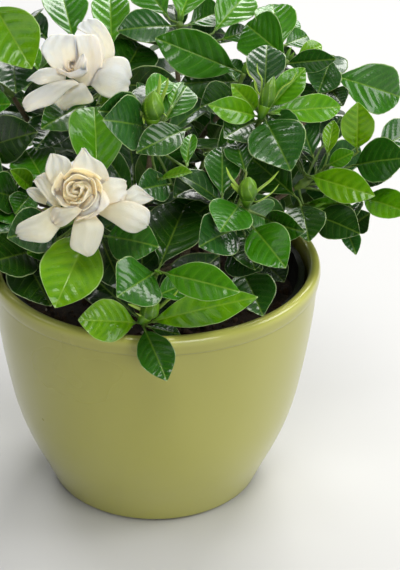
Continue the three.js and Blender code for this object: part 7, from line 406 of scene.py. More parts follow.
STEMS = [
 ("stem_1", [[[[-8.9,-24.4,112.0],[-9.4,-25.6,128.6],[-10.5,-28.5,141.2],[-12.1,-32.7,152.8],[-13.7,-37.6,166.0]],3.6,2.5],[[[-13.7,-37.6,166.0],[-13.4,-38.8,174.0],[-20.4,-31.6,183.2],[-29.5,-29.4,192.0],[-35.7,-45.5,199.2]],2.1,1.45],[[[-13.7,-37.6,166.0],[-12.6,-38.9,179.8],[-8.6,-37.6,199.0],[-4.4,-37.0,219.5],[-2.6,-40.2,237.4]],2.1,1.45],[[[-13.7,-37.6,166.0],[-13.0,-42.2,165.7],[-10.0,-49.0,153.5],[-7.0,-58.2,141.2],[-6.0,-70.0,141.0]],2.1,1.45],[[[-12.1,-32.7,152.8],[-12.4,-37.4,156.0],[0.1,-46.8,164.9],[9.9,-61.2,175.0],[1.1,-80.7,181.8]],2.1,1.45],[[[-13.7,-37.6,166.0],[-13.5,-36.3,172.2],[-11.8,-29.5,174.6],[-10.2,-23.6,178.3],[-10.2,-25.1,188.2]],2.1,1.45]]),
 ("stem_2", [[[[24.7,-8.0,112.0],[26.4,-8.5,128.6],[30.3,-9.7,141.2],[34.7,-11.1,152.8],[38.0,-12.4,166.0]],3.6,2.5],[[[38.0,-12.4,166.0],[37.9,-14.6,175.0],[41.2,-17.7,189.6],[46.3,-19.4,208.5],[51.3,-17.1,230.8]],2.1,1.45],[[[34.7,-11.1,152.8],[27.1,-16.0,167.4],[25.4,-27.4,179.6],[30.1,-42.6,190.9],[41.8,-58.5,202.7]],2.1,1.45],[[[38.0,-12.4,166.0],[43.8,-10.6,174.2],[54.6,-5.7,180.0],[68.1,-0.6,185.7],[82.1,1.5,193.4]],2.1,1.45],[[[38.0,-12.4,166.0],[42.5,-12.4,172.5],[50.3,-11.7,174.2],[61.1,-11.6,175.3],[74.3,-13.5,179.8]],2.1,1.45],[[[38.0,-12.4,166.0],[37.6,-12.9,172.5],[33.9,-13.3,175.2],[31.1,-14.9,178.9],[33.0,-19.0,188.6]],2.1,1.45]]),
 ("stem_3", [[[[16.0,20.5,112.0],[16.7,20.8,128.6],[18.5,22.2,141.2],[21.3,25.5,152.8],[24.6,31.5,166.0]],3.6,2.5],[[[21.3,25.5,152.8],[26.2,31.6,175.3],[34.2,34.1,199.9],[47.5,34.8,223.2],[68.2,35.3,242.0]],2.1,1.45],[[[24.6,31.5,166.0],[32.2,28.6,170.4],[51.9,26.2,184.4],[75.1,26.3,205.4],[93.4,30.5,231.0]],2.1,1.45],[[[24.6,31.5,166.0],[23.0,31.0,181.0],[23.0,30.5,201.0],[32.0,31.0,221.0],[44.4,30.1,234.1]],2.1,1.45],[[[24.6,31.5,166.0],[23.9,36.2,182.5],[19.2,41.3,208.3],[14.4,46.8,235.7],[12.9,52.3,256.9]],2.1,1.45],[[[24.6,31.5,166.0],[28.0,36.1,168.9],[33.6,41.8,163.5],[41.3,49.5,156.2],[51.2,59.9,153.7]],2.1,1.45],[[[24.6,31.5,166.0],[26.8,37.6,174.6],[29.3,46.4,182.7],[32.7,56.9,191.0],[38.0,67.7,200.8]],2.1,1.45],[[[24.6,31.5,166.0],[30.6,31.9,169.0],[42.4,27.7,163.9],[57.5,23.4,156.9],[73.6,23.8,154.7]],2.1,1.45],[[[21.3,25.5,152.8],[27.5,33.7,165.8],[36.4,38.5,177.0],[48.6,41.4,186.4],[65.2,43.9,194.4]],2.1,1.45],[[[24.6,31.5,166.0],[24.1,38.9,171.0],[20.0,51.1,170.3],[16.2,66.0,168.9],[16.3,81.6,171.2]],2.1,1.45],[[[24.6,31.5,166.0],[22.4,29.3,175.3],[14.5,18.9,185.4],[6.0,7.4,197.3],[2.0,2.0,212.0]],2.1,1.45],[[[24.6,31.5,166.0],[25.2,30.8,173.5],[24.0,24.0,179.3],[23.6,17.3,186.5],[26.8,16.6,198.1]],2.1,1.45],[[[24.6,31.5,166.0],[22.7,33.9,173.4],[15.5,34.5,179.0],[7.7,36.1,185.8],[4.0,41.7,196.9]],2.1,1.45],[[[24.6,31.5,166.0],[27.8,32.5,171.5],[32.7,29.7,172.6],[39.2,27.8,174.3],[47.3,31.1,181.7]],2.1,1.45]]),
 ("stem_4", [[[[-14.9,21.3,112.0],[-15.5,22.1,128.6],[-17.2,24.3,141.2],[-19.8,27.9,152.8],[-22.9,32.8,166.0]],3.6,2.5],[[[-22.9,32.8,166.0],[-16.0,33.0,184.3],[-12.7,39.8,211.1],[-16.0,44.6,234.2],[-28.4,39.0,241.5]],2.1,1.45],[[[-22.9,32.8,166.0],[-22.2,38.9,169.2],[-17.8,49.5,163.9],[-13.6,63.3,156.7],[-13.2,78.9,154.3]],2.1,1.45],[[[-22.9,32.8,166.0],[-29.2,34.1,170.6],[-41.3,33.2,168.6],[-56.4,33.1,165.4],[-71.7,36.7,166.3]],2.1,1.45],[[[-22.9,32.8,166.0],[-23.2,38.7,175.9],[-21.2,48.2,186.4],[-19.4,59.6,197.4],[-20.5,71.0,209.1]],2.1,1.45],[[[-22.9,32.8,166.0],[-26.3,38.0,172.1],[-31.5,46.2,173.7],[-38.4,56.5,174.8],[-46.5,68.1,179.1]],2.1,1.45],[[[-22.9,32.8,166.0],[-27.9,34.9,176.4],[-36.6,35.6,187.9],[-47.0,36.9,200.2],[-57.0,40.8,212.8]],2.1,1.45],[[[-22.9,32.8,166.0],[-24.0,31.6,173.2],[-24.0,24.8,178.2],[-24.8,17.9,184.4],[-28.7,16.3,195.7]],2.1,1.45]]),
 ("stem_5", [[[[-24.4,-8.9,112.0],[-25.2,-8.9,128.6],[-27.5,-9.4,141.2],[-31.6,-10.8,152.8],[-37.6,-13.7,166.0]],3.6,2.5],[[[-37.6,-13.7,166.0],[-45.5,-9.0,180.4],[-58.3,4.1,201.4],[-72.3,18.4,223.4],[-83.9,26.5,240.9]],2.1,1.45],[[[-37.6,-13.7,166.0],[-42.6,-16.3,173.9],[-49.2,-20.0,180.2],[-57.6,-24.6,186.6],[-68.3,-30.1,195.0]],2.1,1.45],[[[-37.6,-13.7,166.0],[-42.9,-12.9,169.0],[-50.6,-8.5,163.6],[-61.3,-3.9,156.4],[-75.6,-2.6,153.9]],2.1,1.45],[[[-37.6,-13.7,166.0],[-43.4,-11.5,174.5],[-52.0,-4.1,182.0],[-62.6,4.1,189.9],[-74.7,8.4,199.3]],2.1,1.45],[[[-37.6,-13.7,166.0],[-38.5,-14.2,171.3],[-35.7,-12.8,172.3],[-33.9,-11.6,174.3],[-37.9,-12.6,183.1]],2.1,1.45]]),
]
FLOWERS = [
 ("flower_1", [-44.32,-2.32,270.61], [-0.3,-0.78,0.55], [-34.9,22.2,253.3], [
  (False, [[[-27.6,-3.5,271.4],[-31.6,-2.8,272.6],[-35.6,-2.0,273.8]],[[-23.5,-2.4,278.0],[-28.8,0.1,279.0],[-34.1,-0.3,281.1]],[[-23.7,-0.7,285.2],[-30.1,2.4,285.8],[-36.3,1.2,287.9]],[[-27.4,3.3,292.2],[-34.3,4.7,290.6],[-41.0,2.7,290.4]],[[-32.7,7.9,296.2],[-38.6,7.4,293.6],[-44.4,5.7,291.5]],[[-37.0,10.3,296.2],[-40.0,9.8,295.1],[-43.1,9.3,293.9]]]),
  (False, [[[-38.3,-9.7,263.8],[-35.5,-7.5,267.9],[-32.7,-5.3,272.1]],[[-35.4,-13.2,263.7],[-32.2,-12.7,271.6],[-29.3,-6.1,277.1]],[[-30.7,-15.6,259.7],[-26.4,-14.4,270.9],[-22.3,-5.2,279.0]],[[-22.8,-13.1,256.4],[-19.5,-11.0,267.5],[-16.3,-2.5,276.1]],[[-15.9,-7.1,257.3],[-14.7,-5.4,262.9],[-13.5,-1.5,267.7]]]),
  (False, [[[-40.5,-12.9,266.0],[-44.4,-13.0,265.6],[-48.4,-13.2,265.1]],[[-38.1,-15.0,263.4],[-44.3,-16.8,262.9],[-50.7,-15.8,261.2]],[[-35.4,-15.2,256.0],[-45.4,-16.4,256.8],[-55.6,-14.3,256.3]],[[-45.9,-13.3,252.6],[-51.6,-13.8,253.3],[-57.4,-12.5,253.3]],[[-50.8,-11.7,248.8],[-51.5,-11.6,249.0],[-52.2,-11.6,249.1]]]),
  (False, [[[-40.2,-10.3,262.5],[-43.9,-8.7,265.1],[-47.7,-7.2,267.8]],[[-32.5,-12.7,267.0],[-39.2,-7.5,270.9],[-45.6,-7.0,276.6]],[[-29.9,-10.6,277.1],[-37.8,-5.8,279.2],[-45.4,-6.7,283.4]],[[-31.0,-6.6,286.4],[-38.5,-4.0,286.6],[-45.9,-5.1,288.3]],[[-33.1,-2.2,291.2],[-39.3,-1.7,290.9],[-45.5,-2.0,290.9]]]),
  (False, [[[-51.4,-6.9,268.1],[-47.2,-6.0,270.0],[-43.0,-5.0,271.9]],[[-58.6,-9.2,274.0],[-51.1,-5.4,275.8],[-43.2,-6.6,279.5]],[[-62.6,-8.5,280.1],[-53.5,-4.8,282.0],[-44.0,-6.1,285.7]],[[-64.3,-5.9,283.8],[-54.6,-3.2,285.9],[-44.8,-3.6,289.2]],[[-60.0,0.3,290.1],[-52.8,0.3,290.1],[-45.6,-0.1,290.2]]]),
  (False, [[[-50.6,-13.9,267.9],[-50.4,-13.0,269.5],[-50.2,-12.1,271.2]],[[-59.5,-13.4,266.1],[-58.5,-12.5,270.3],[-57.7,-9.4,273.6]],[[-65.3,-11.8,264.5],[-64.7,-11.2,269.1],[-64.4,-7.5,272.4]],[[-69.7,-8.0,265.0],[-69.2,-7.7,267.3],[-68.8,-5.9,268.9]],[[-73.3,-5.0,264.0],[-73.2,-4.9,264.2],[-73.2,-4.8,264.4]]]),
  (False, [[[-40.9,-12.1,269.7],[-43.7,-11.9,269.9],[-46.5,-11.7,270.0]],[[-38.9,-13.2,275.1],[-42.0,-14.5,275.8],[-45.4,-12.8,275.4]],[[-38.3,-12.8,279.4],[-40.9,-14.5,279.8],[-43.7,-12.9,278.9]],[[-40.1,-11.4,282.7],[-40.6,-11.5,282.8],[-41.1,-11.3,282.7]]]),
  (False, [[[-41.5,-8.3,268.2],[-46.0,-8.4,267.7],[-50.4,-7.6,268.9]],[[-38.2,-12.8,272.6],[-46.4,-15.6,270.4],[-54.8,-12.2,272.9]],[[-38.4,-12.8,277.9],[-47.5,-16.1,273.8],[-55.9,-13.5,275.6]]]),
  (False, [[[-42.7,-15.9,266.7],[-44.5,-15.2,267.8],[-46.4,-14.6,268.9]],[[-48.7,-18.3,264.2],[-51.6,-18.7,266.9],[-54.7,-15.8,268.2]],[[-57.6,-20.0,256.3],[-59.8,-19.8,261.9],[-62.3,-14.8,265.5]],[[-67.3,-16.6,251.5],[-69.5,-16.5,256.2],[-72.0,-12.3,259.2]],[[-72.9,-12.9,247.5],[-74.4,-12.0,250.3],[-76.1,-10.0,252.7]]]),
  (True, [[[-46.8,1.2,272.4],[-47.9,0.6,271.0],[-48.2,-0.4,269.5],[-47.7,-1.5,268.2],[-46.5,-2.5,267.3],[-45.0,-3.3,267.1],[-43.5,-3.6,267.4]],[[-48.0,-0.4,274.2],[-49.3,-1.5,272.8],[-49.8,-2.8,271.2],[-49.2,-4.1,269.8],[-47.9,-5.2,268.8],[-46.1,-5.9,268.3],[-44.2,-5.9,268.4]],[[-49.3,-1.4,276.0],[-51.1,-3.0,274.5],[-51.6,-4.8,272.7],[-51.0,-6.5,271.0],[-49.4,-7.7,269.7],[-47.1,-8.4,269.0],[-44.7,-8.2,268.9]],[[-50.1,-2.4,277.1],[-52.5,-4.6,276.0],[-52.3,-6.1,273.6],[-51.9,-7.9,271.8],[-50.6,-10.0,270.7],[-47.7,-9.9,270.0],[-45.0,-9.2,269.3]]]),
  (True, [[[-43.8,-3.4,267.5],[-42.2,-3.5,268.3],[-41.3,-2.9,269.6],[-41.2,-2.1,270.9],[-41.9,-1.1,271.8],[-43.2,-0.3,272.2],[-44.6,0.0,271.9]],[[-44.6,-6.0,268.6],[-42.9,-6.4,269.9],[-41.9,-6.1,271.5],[-41.9,-5.1,273.1],[-42.7,-3.9,274.2],[-44.1,-2.8,274.4],[-45.6,-1.9,273.8]],[[-45.3,-8.4,269.4],[-43.4,-9.2,271.1],[-42.2,-9.0,273.2],[-42.2,-7.9,275.2],[-43.2,-6.4,276.4],[-44.8,-4.8,276.6],[-46.5,-3.5,275.6]],[[-45.9,-10.3,270.3],[-44.0,-10.4,272.1],[-43.0,-10.7,274.4],[-42.7,-10.2,276.9],[-43.9,-8.0,277.4],[-45.3,-6.2,277.5],[-47.2,-5.1,277.2]]]),
  (True, [[[-42.8,-0.9,271.6],[-44.0,-0.4,271.6],[-45.1,-0.4,271.2],[-45.7,-0.7,270.3],[-45.7,-1.3,269.5],[-45.1,-1.9,268.9],[-44.2,-2.4,268.8]],[[-43.4,-3.1,273.6],[-45.0,-2.9,274.0],[-46.5,-3.1,273.6],[-47.3,-3.6,272.6],[-47.3,-4.3,271.4],[-46.5,-4.8,270.5],[-45.1,-4.9,270.1]],[[-43.8,-4.9,275.4],[-45.9,-5.0,276.1],[-47.8,-5.4,275.7],[-48.8,-6.1,274.6],[-48.8,-6.9,273.1],[-47.7,-7.3,271.9],[-45.9,-7.2,271.1]],[[-44.3,-6.0,276.0],[-46.6,-7.0,277.1],[-48.8,-7.5,277.5],[-49.3,-7.8,275.7],[-49.1,-8.7,274.5],[-48.7,-9.6,273.2],[-46.4,-8.4,272.2]]]),
  (True, [[[-44.3,-1.3,270.2],[-44.1,-1.7,269.7],[-43.5,-2.1,269.5],[-42.9,-2.3,269.6],[-42.4,-2.2,270.0],[-42.3,-1.9,270.5],[-42.6,-1.5,270.9]],[[-45.5,-3.6,271.9],[-45.4,-4.6,271.5],[-44.8,-5.3,271.5],[-44.0,-5.6,271.7],[-43.4,-5.4,272.1],[-43.2,-4.7,272.6],[-43.4,-3.8,272.7]],[[-46.6,-5.5,273.3],[-46.6,-7.1,273.1],[-46.0,-8.1,273.1],[-45.0,-8.6,273.5],[-44.3,-8.2,274.0],[-43.9,-7.2,274.3],[-44.0,-5.8,274.3]],[[-46.7,-7.4,274.5],[-47.4,-9.1,274.5],[-46.5,-9.6,274.3],[-46.0,-10.3,275.2],[-45.1,-10.6,275.6],[-44.6,-8.7,275.4],[-44.8,-7.2,274.9]]]),
 ]),
 ("flower_2", [-40.93,-87.22,231.53], [-0.098,-0.787,0.61], [-37.8,-62.4,212.3], [
  (False, [[[-59.1,-83.8,224.2],[-58.2,-82.6,226.5],[-57.3,-81.4,228.8]],[[-64.5,-81.1,224.8],[-62.4,-80.3,227.6],[-60.4,-78.4,229.9]],[[-67.8,-77.8,226.4],[-66.2,-77.2,228.7],[-64.6,-75.6,230.6]],[[-69.8,-75.3,228.7],[-69.3,-75.0,229.3],[-68.7,-74.8,229.8]]]),
  (False, [[[-25.2,-90.0,225.3],[-26.3,-88.3,228.3],[-27.5,-86.6,231.3]],[[-16.0,-89.0,223.5],[-18.8,-87.7,227.7],[-21.8,-84.7,231.1]],[[-9.6,-86.2,224.8],[-12.6,-85.3,228.8],[-15.7,-82.2,231.8]],[[-5.5,-83.9,225.1],[-8.0,-80.5,229.0],[-10.4,-79.0,233.7]],[[-0.6,-80.2,225.8],[-1.3,-80.0,226.2],[-2.1,-79.7,226.7]]]),
  (False, [[[-30.9,-93.9,224.0],[-28.5,-92.2,227.3],[-26.2,-90.5,230.6]],[[-22.2,-98.4,220.4],[-19.2,-97.6,226.8],[-16.4,-92.8,231.1]],[[-15.8,-99.7,216.4],[-12.6,-98.9,224.2],[-9.5,-92.8,229.4]],[[-10.7,-96.7,213.9],[-7.2,-96.2,220.2],[-3.6,-91.2,224.3]],[[-5.2,-92.1,214.2],[-4.3,-91.3,215.7],[-3.3,-90.6,217.2]]]),
  (False, [[[-48.7,-95.7,219.7],[-51.3,-93.5,223.7],[-53.9,-91.2,227.7]],[[-52.2,-97.9,215.6],[-55.8,-96.7,220.8],[-59.7,-92.7,224.5]],[[-57.5,-98.8,209.5],[-62.2,-97.9,216.2],[-67.3,-92.4,220.5]],[[-65.9,-94.8,207.8],[-69.5,-94.3,212.7],[-73.3,-90.3,215.8]],[[-73.1,-91.4,207.5],[-74.4,-90.5,209.1],[-75.7,-89.5,210.7]]]),
  (False, [[[-33.0,-97.2,226.2],[-37.0,-97.3,225.9],[-41.0,-97.3,225.6]],[[-30.4,-99.8,223.7],[-36.8,-102.2,223.6],[-43.4,-100.6,221.5]],[[-27.3,-101.4,219.0],[-35.9,-104.6,218.9],[-44.7,-102.4,216.0]],[[-30.0,-101.4,208.4],[-37.6,-103.4,208.9],[-45.3,-101.4,207.4]],[[-32.7,-100.6,203.4],[-36.6,-101.2,203.7],[-40.6,-100.4,203.3]],[[-36.0,-99.5,201.1],[-36.7,-99.4,201.2],[-37.5,-99.3,201.4]]]),
  (False, [[[-26.1,-94.5,229.4],[-28.4,-92.4,235.4],[-30.7,-88.4,240.4]],[[-21.6,-94.2,230.4],[-23.8,-92.0,236.7],[-26.1,-87.6,242.0]],[[-18.1,-92.0,230.4],[-19.9,-89.5,236.1],[-21.6,-85.9,241.2]],[[-15.8,-87.1,229.0],[-15.7,-84.0,233.5],[-15.6,-82.0,238.4]]]),
  (False, [[[-50.3,-94.8,227.6],[-50.3,-91.9,231.9],[-50.3,-89.8,236.7]],[[-54.9,-93.9,229.0],[-54.4,-90.8,233.0],[-53.7,-89.2,237.6]],[[-59.7,-88.5,232.2],[-58.2,-85.8,235.7],[-56.7,-84.5,239.8]],[[-63.4,-82.6,234.5],[-61.1,-80.6,237.5],[-58.8,-79.2,240.9]],[[-65.3,-78.2,236.2],[-64.1,-77.7,237.1],[-63.0,-77.2,238.1]]]),
  (False, [[[-50.3,-90.6,233.2],[-47.5,-88.6,234.8],[-44.6,-88.5,237.3]],[[-55.5,-88.1,238.4],[-50.1,-86.3,240.1],[-44.6,-86.2,242.6]],[[-58.5,-83.2,243.1],[-51.6,-81.7,244.6],[-44.7,-81.6,246.8]],[[-58.0,-77.5,246.2],[-52.9,-76.6,247.3],[-47.7,-76.4,248.7]],[[-56.2,-72.5,249.1],[-55.5,-72.5,249.2],[-54.8,-72.5,249.3]]]),
  (False, [[[-45.7,-89.6,235.3],[-38.3,-87.9,234.5],[-30.8,-89.9,235.5]],[[-45.1,-88.1,242.2],[-36.3,-86.9,240.4],[-27.3,-89.6,240.4]],[[-44.3,-85.4,247.2],[-34.6,-85.5,244.5],[-24.7,-88.3,243.0]],[[-42.9,-80.7,249.5],[-35.5,-80.7,248.3],[-27.9,-82.2,247.7]],[[-40.2,-76.1,251.9],[-37.0,-76.6,250.5],[-33.8,-77.6,249.4]],[[-39.6,-72.5,252.2],[-38.7,-72.5,252.3],[-37.8,-72.5,252.3]]]),
  (False, [[[-42.3,-93.5,228.3],[-36.4,-94.5,233.2],[-30.8,-89.9,235.5]],[[-40.7,-99.4,226.0],[-33.8,-99.4,233.0],[-27.2,-93.7,237.2]],[[-36.3,-102.4,224.8],[-30.2,-102.4,230.6],[-24.4,-97.7,234.1]],[[-30.5,-102.3,227.5],[-27.4,-101.9,230.1],[-24.3,-100.0,232.1]]]),
  (False, [[[-38.5,-101.0,229.4],[-40.5,-100.3,230.6],[-42.5,-99.6,231.8]],[[-41.9,-102.6,226.3],[-44.7,-102.7,229.1],[-47.6,-100.0,230.6]],[[-46.6,-102.5,222.0],[-49.9,-102.0,226.5],[-53.5,-98.3,229.4]],[[-50.3,-99.5,219.0],[-52.9,-98.9,222.1],[-55.6,-96.5,224.2]],[[-52.7,-97.4,218.6],[-54.1,-96.9,219.3],[-55.5,-96.5,220.1]]]),
  (True, [[[-34.3,-87.4,236.0],[-35.9,-86.3,237.1],[-37.8,-85.5,237.8],[-39.9,-85.1,238.0],[-42.0,-85.1,237.7],[-43.8,-85.4,237.0],[-45.2,-86.0,236.0]],[[-31.6,-88.8,238.8],[-34.0,-87.6,240.8],[-36.8,-86.7,241.9],[-39.8,-86.2,242.3],[-42.7,-86.1,241.8],[-45.2,-86.3,240.6],[-47.1,-86.8,238.9]],[[-29.8,-90.1,241.1],[-32.6,-88.9,243.7],[-36.1,-88.0,245.2],[-39.7,-87.4,245.7],[-43.2,-87.2,245.1],[-46.2,-87.3,243.5],[-48.6,-87.6,241.2]],[[-28.8,-91.1,242.6],[-31.8,-90.3,246.0],[-35.8,-89.0,246.9],[-39.7,-88.3,247.6],[-43.6,-88.5,247.7],[-46.7,-88.4,245.1],[-49.3,-88.0,242.4]]]),
  (True, [[[-45.5,-85.1,237.1],[-46.9,-86.1,235.6],[-47.7,-87.3,234.0],[-47.7,-88.5,232.4],[-47.0,-89.7,230.9],[-45.8,-90.8,229.8],[-44.2,-91.5,229.1]],[[-47.5,-85.6,240.4],[-49.6,-87.4,238.6],[-50.7,-89.3,236.5],[-50.7,-91.1,234.3],[-49.7,-92.7,232.2],[-48.0,-93.9,230.4],[-45.7,-94.6,229.1]],[[-49.0,-86.3,243.0],[-51.6,-88.7,241.1],[-52.9,-91.1,238.7],[-52.9,-93.4,236.0],[-51.8,-95.3,233.4],[-49.6,-96.6,231.2],[-46.8,-97.1,229.4]],[[-50.2,-87.0,245.3],[-52.6,-89.4,242.5],[-54.2,-92.4,240.1],[-54.8,-95.5,237.6],[-52.9,-96.9,234.3],[-50.6,-98.2,231.6],[-47.8,-99.5,229.7]]]),
  (True, [[[-41.5,-93.7,226.7],[-38.4,-93.5,227.5],[-35.9,-92.6,229.0],[-34.5,-91.2,231.0],[-34.1,-89.6,233.1],[-34.9,-88.1,235.0],[-36.5,-86.8,236.4]],[[-41.8,-97.9,225.3],[-37.3,-98.0,226.7],[-33.8,-96.9,229.2],[-31.7,-95.0,232.2],[-31.2,-92.5,235.2],[-32.2,-90.0,237.8],[-34.6,-87.7,239.6]],[[-42.1,-101.1,224.7],[-36.7,-101.4,226.6],[-32.4,-100.3,229.7],[-29.9,-98.0,233.4],[-29.2,-95.0,237.0],[-30.5,-91.8,240.1],[-33.4,-88.7,242.1]],[[-42.3,-102.8,224.1],[-36.4,-103.8,226.9],[-31.4,-103.2,230.3],[-28.7,-99.7,234.0],[-28.2,-96.6,238.2],[-29.2,-93.4,242.1],[-32.7,-89.4,243.6]]]),
  (True, [[[-39.2,-92.5,228.6],[-36.8,-92.0,229.7],[-35.3,-90.9,231.3],[-34.8,-89.6,233.1],[-35.4,-88.2,234.8],[-36.8,-87.1,236.0],[-38.7,-86.4,236.6]],[[-38.9,-96.5,228.3],[-35.5,-96.2,230.2],[-33.4,-94.9,232.8],[-32.7,-93.0,235.5],[-33.5,-90.9,237.9],[-35.5,-89.0,239.5],[-38.3,-87.5,240.0]],[[-38.8,-99.7,228.5],[-34.8,-99.6,231.1],[-32.1,-98.2,234.3],[-31.3,-96.0,237.7],[-32.3,-93.4,240.5],[-34.7,-90.9,242.3],[-38.1,-88.8,242.7]],[[-38.9,-101.7,229.5],[-34.4,-102.1,232.0],[-31.6,-100.0,235.2],[-31.2,-98.0,239.2],[-31.7,-95.6,242.6],[-34.4,-92.1,243.8],[-38.1,-89.9,243.9]]]),
  (True, [[[-47.6,-88.0,233.0],[-47.4,-89.2,231.6],[-46.6,-90.2,230.3],[-45.3,-91.1,229.4],[-43.8,-91.7,229.0],[-42.1,-91.9,228.9],[-40.6,-91.8,229.3]],[[-50.4,-89.8,235.0],[-50.2,-91.9,233.3],[-49.1,-93.7,231.7],[-47.3,-95.0,230.5],[-45.0,-95.8,229.7],[-42.6,-95.8,229.5],[-40.3,-95.2,229.7]],[[-52.4,-91.5,236.7],[-52.2,-94.3,234.8],[-50.9,-96.7,233.1],[-48.7,-98.3,231.6],[-45.9,-99.1,230.7],[-42.9,-99.0,230.2],[-40.1,-98.0,230.3]],[[-53.7,-92.8,238.0],[-53.4,-95.6,235.6],[-51.6,-98.8,234.4],[-49.6,-100.9,232.8],[-46.4,-101.1,231.1],[-43.1,-100.9,231.2],[-40.1,-100.4,231.1]]]),
  (True, [[[-36.9,-87.3,235.7],[-38.4,-86.4,236.6],[-40.3,-86.0,236.8],[-42.1,-86.0,236.5],[-43.5,-86.5,235.6],[-44.3,-87.3,234.5],[-44.4,-88.3,233.3]],[[-35.4,-89.4,238.6],[-37.7,-88.6,240.3],[-40.4,-88.3,240.9],[-43.1,-88.4,240.4],[-45.1,-89.0,239.1],[-46.3,-89.9,237.2],[-46.4,-90.7,235.1]],[[-34.5,-91.2,241.0],[-37.3,-90.7,243.3],[-40.6,-90.5,244.2],[-43.8,-90.7,243.7],[-46.3,-91.4,242.0],[-47.7,-92.2,239.6],[-47.8,-92.9,236.7]],[[-34.2,-92.3,242.2],[-37.6,-92.9,244.9],[-40.9,-92.6,246.1],[-44.2,-92.2,245.4],[-46.5,-93.6,243.7],[-48.2,-94.4,241.4],[-48.4,-94.1,237.7]]]),
  (True, [[[-42.4,-90.9,230.1],[-40.7,-91.4,229.8],[-38.9,-91.3,230.2],[-37.7,-90.8,231.1],[-37.1,-89.9,232.3],[-37.3,-89.0,233.4],[-38.2,-88.3,234.2]],[[-43.7,-94.4,231.0],[-41.2,-95.5,231.0],[-38.8,-95.7,231.8],[-36.9,-95.0,233.2],[-36.1,-93.7,234.8],[-36.4,-92.1,236.3],[-37.6,-90.4,237.1]],[[-44.7,-97.2,232.1],[-41.7,-98.9,232.3],[-38.7,-99.4,233.5],[-36.5,-98.6,235.2],[-35.5,-96.9,237.1],[-35.8,-94.7,238.7],[-37.3,-92.4,239.4]],[[-44.8,-99.2,233.8],[-41.9,-100.9,233.9],[-38.8,-101.3,234.6],[-37.0,-101.0,237.2],[-35.8,-99.3,239.0],[-35.7,-96.3,240.0],[-37.6,-94.2,240.6]]]),
  (True, [[[-41.9,-86.9,235.4],[-43.2,-87.2,234.8],[-44.0,-87.8,233.9],[-44.0,-88.6,232.9],[-43.3,-89.3,232.1],[-42.2,-89.7,231.7],[-41.0,-89.8,231.8]],[[-42.4,-88.9,238.4],[-44.4,-89.8,238.1],[-45.5,-91.1,236.9],[-45.6,-92.3,235.5],[-44.6,-93.3,234.3],[-42.9,-93.6,233.5],[-41.1,-93.1,233.3]],[[-42.7,-90.8,240.9],[-45.2,-92.3,240.7],[-46.7,-94.0,239.6],[-46.7,-95.6,237.9],[-45.5,-96.7,236.3],[-43.4,-96.8,235.2],[-41.2,-95.9,234.7]],[[-42.9,-92.6,241.9],[-45.6,-93.9,242.2],[-46.7,-96.7,241.5],[-46.7,-98.0,239.8],[-45.9,-98.6,237.6],[-43.7,-98.9,237.1],[-41.6,-97.7,236.5]]]),
  (True, [[[-40.4,-89.9,231.7],[-39.4,-89.7,232.2],[-39.0,-89.2,232.9],[-39.2,-88.6,233.6],[-39.9,-88.2,234.1],[-40.8,-88.0,234.1],[-41.6,-88.2,233.7]],[[-40.6,-93.2,233.3],[-39.3,-93.4,234.4],[-38.7,-93.0,235.7],[-39.0,-92.3,236.8],[-40.1,-91.5,237.4],[-41.3,-91.0,237.2],[-42.4,-90.7,236.2]],[[-40.8,-96.0,234.8],[-39.3,-96.6,236.4],[-38.6,-96.3,238.1],[-39.0,-95.5,239.6],[-40.2,-94.5,240.2],[-41.8,-93.7,239.8],[-43.0,-93.0,238.3]],[[-41.0,-97.6,235.9],[-39.8,-99.0,238.4],[-39.4,-98.4,239.9],[-39.2,-97.4,241.1],[-40.7,-97.2,242.1],[-42.0,-96.2,241.1],[-43.2,-94.2,239.4]]]),
  (True, [[[-41.7,-88.4,233.4],[-42.1,-88.7,233.0],[-42.0,-89.1,232.5],[-41.5,-89.4,232.2],[-40.9,-89.4,232.3],[-40.5,-89.3,232.6],[-40.4,-89.0,233.0]],[[-42.3,-91.1,235.8],[-42.8,-92.0,235.6],[-42.7,-92.8,235.2],[-42.1,-93.3,235.0],[-41.3,-93.3,234.9],[-40.7,-92.7,235.0],[-40.5,-91.8,235.2]],[[-42.8,-93.4,237.9],[-43.4,-94.9,237.9],[-43.4,-96.1,237.6],[-42.6,-96.7,237.3],[-41.6,-96.6,237.2],[-40.8,-95.7,237.2],[-40.6,-94.2,237.1]],[[-43.0,-95.5,239.5],[-43.2,-96.8,239.3],[-43.6,-98.1,239.2],[-43.0,-99.5,239.5],[-42.1,-98.6,239.4],[-41.0,-97.4,238.5],[-40.8,-96.2,238.7]]]),
 ]),
]
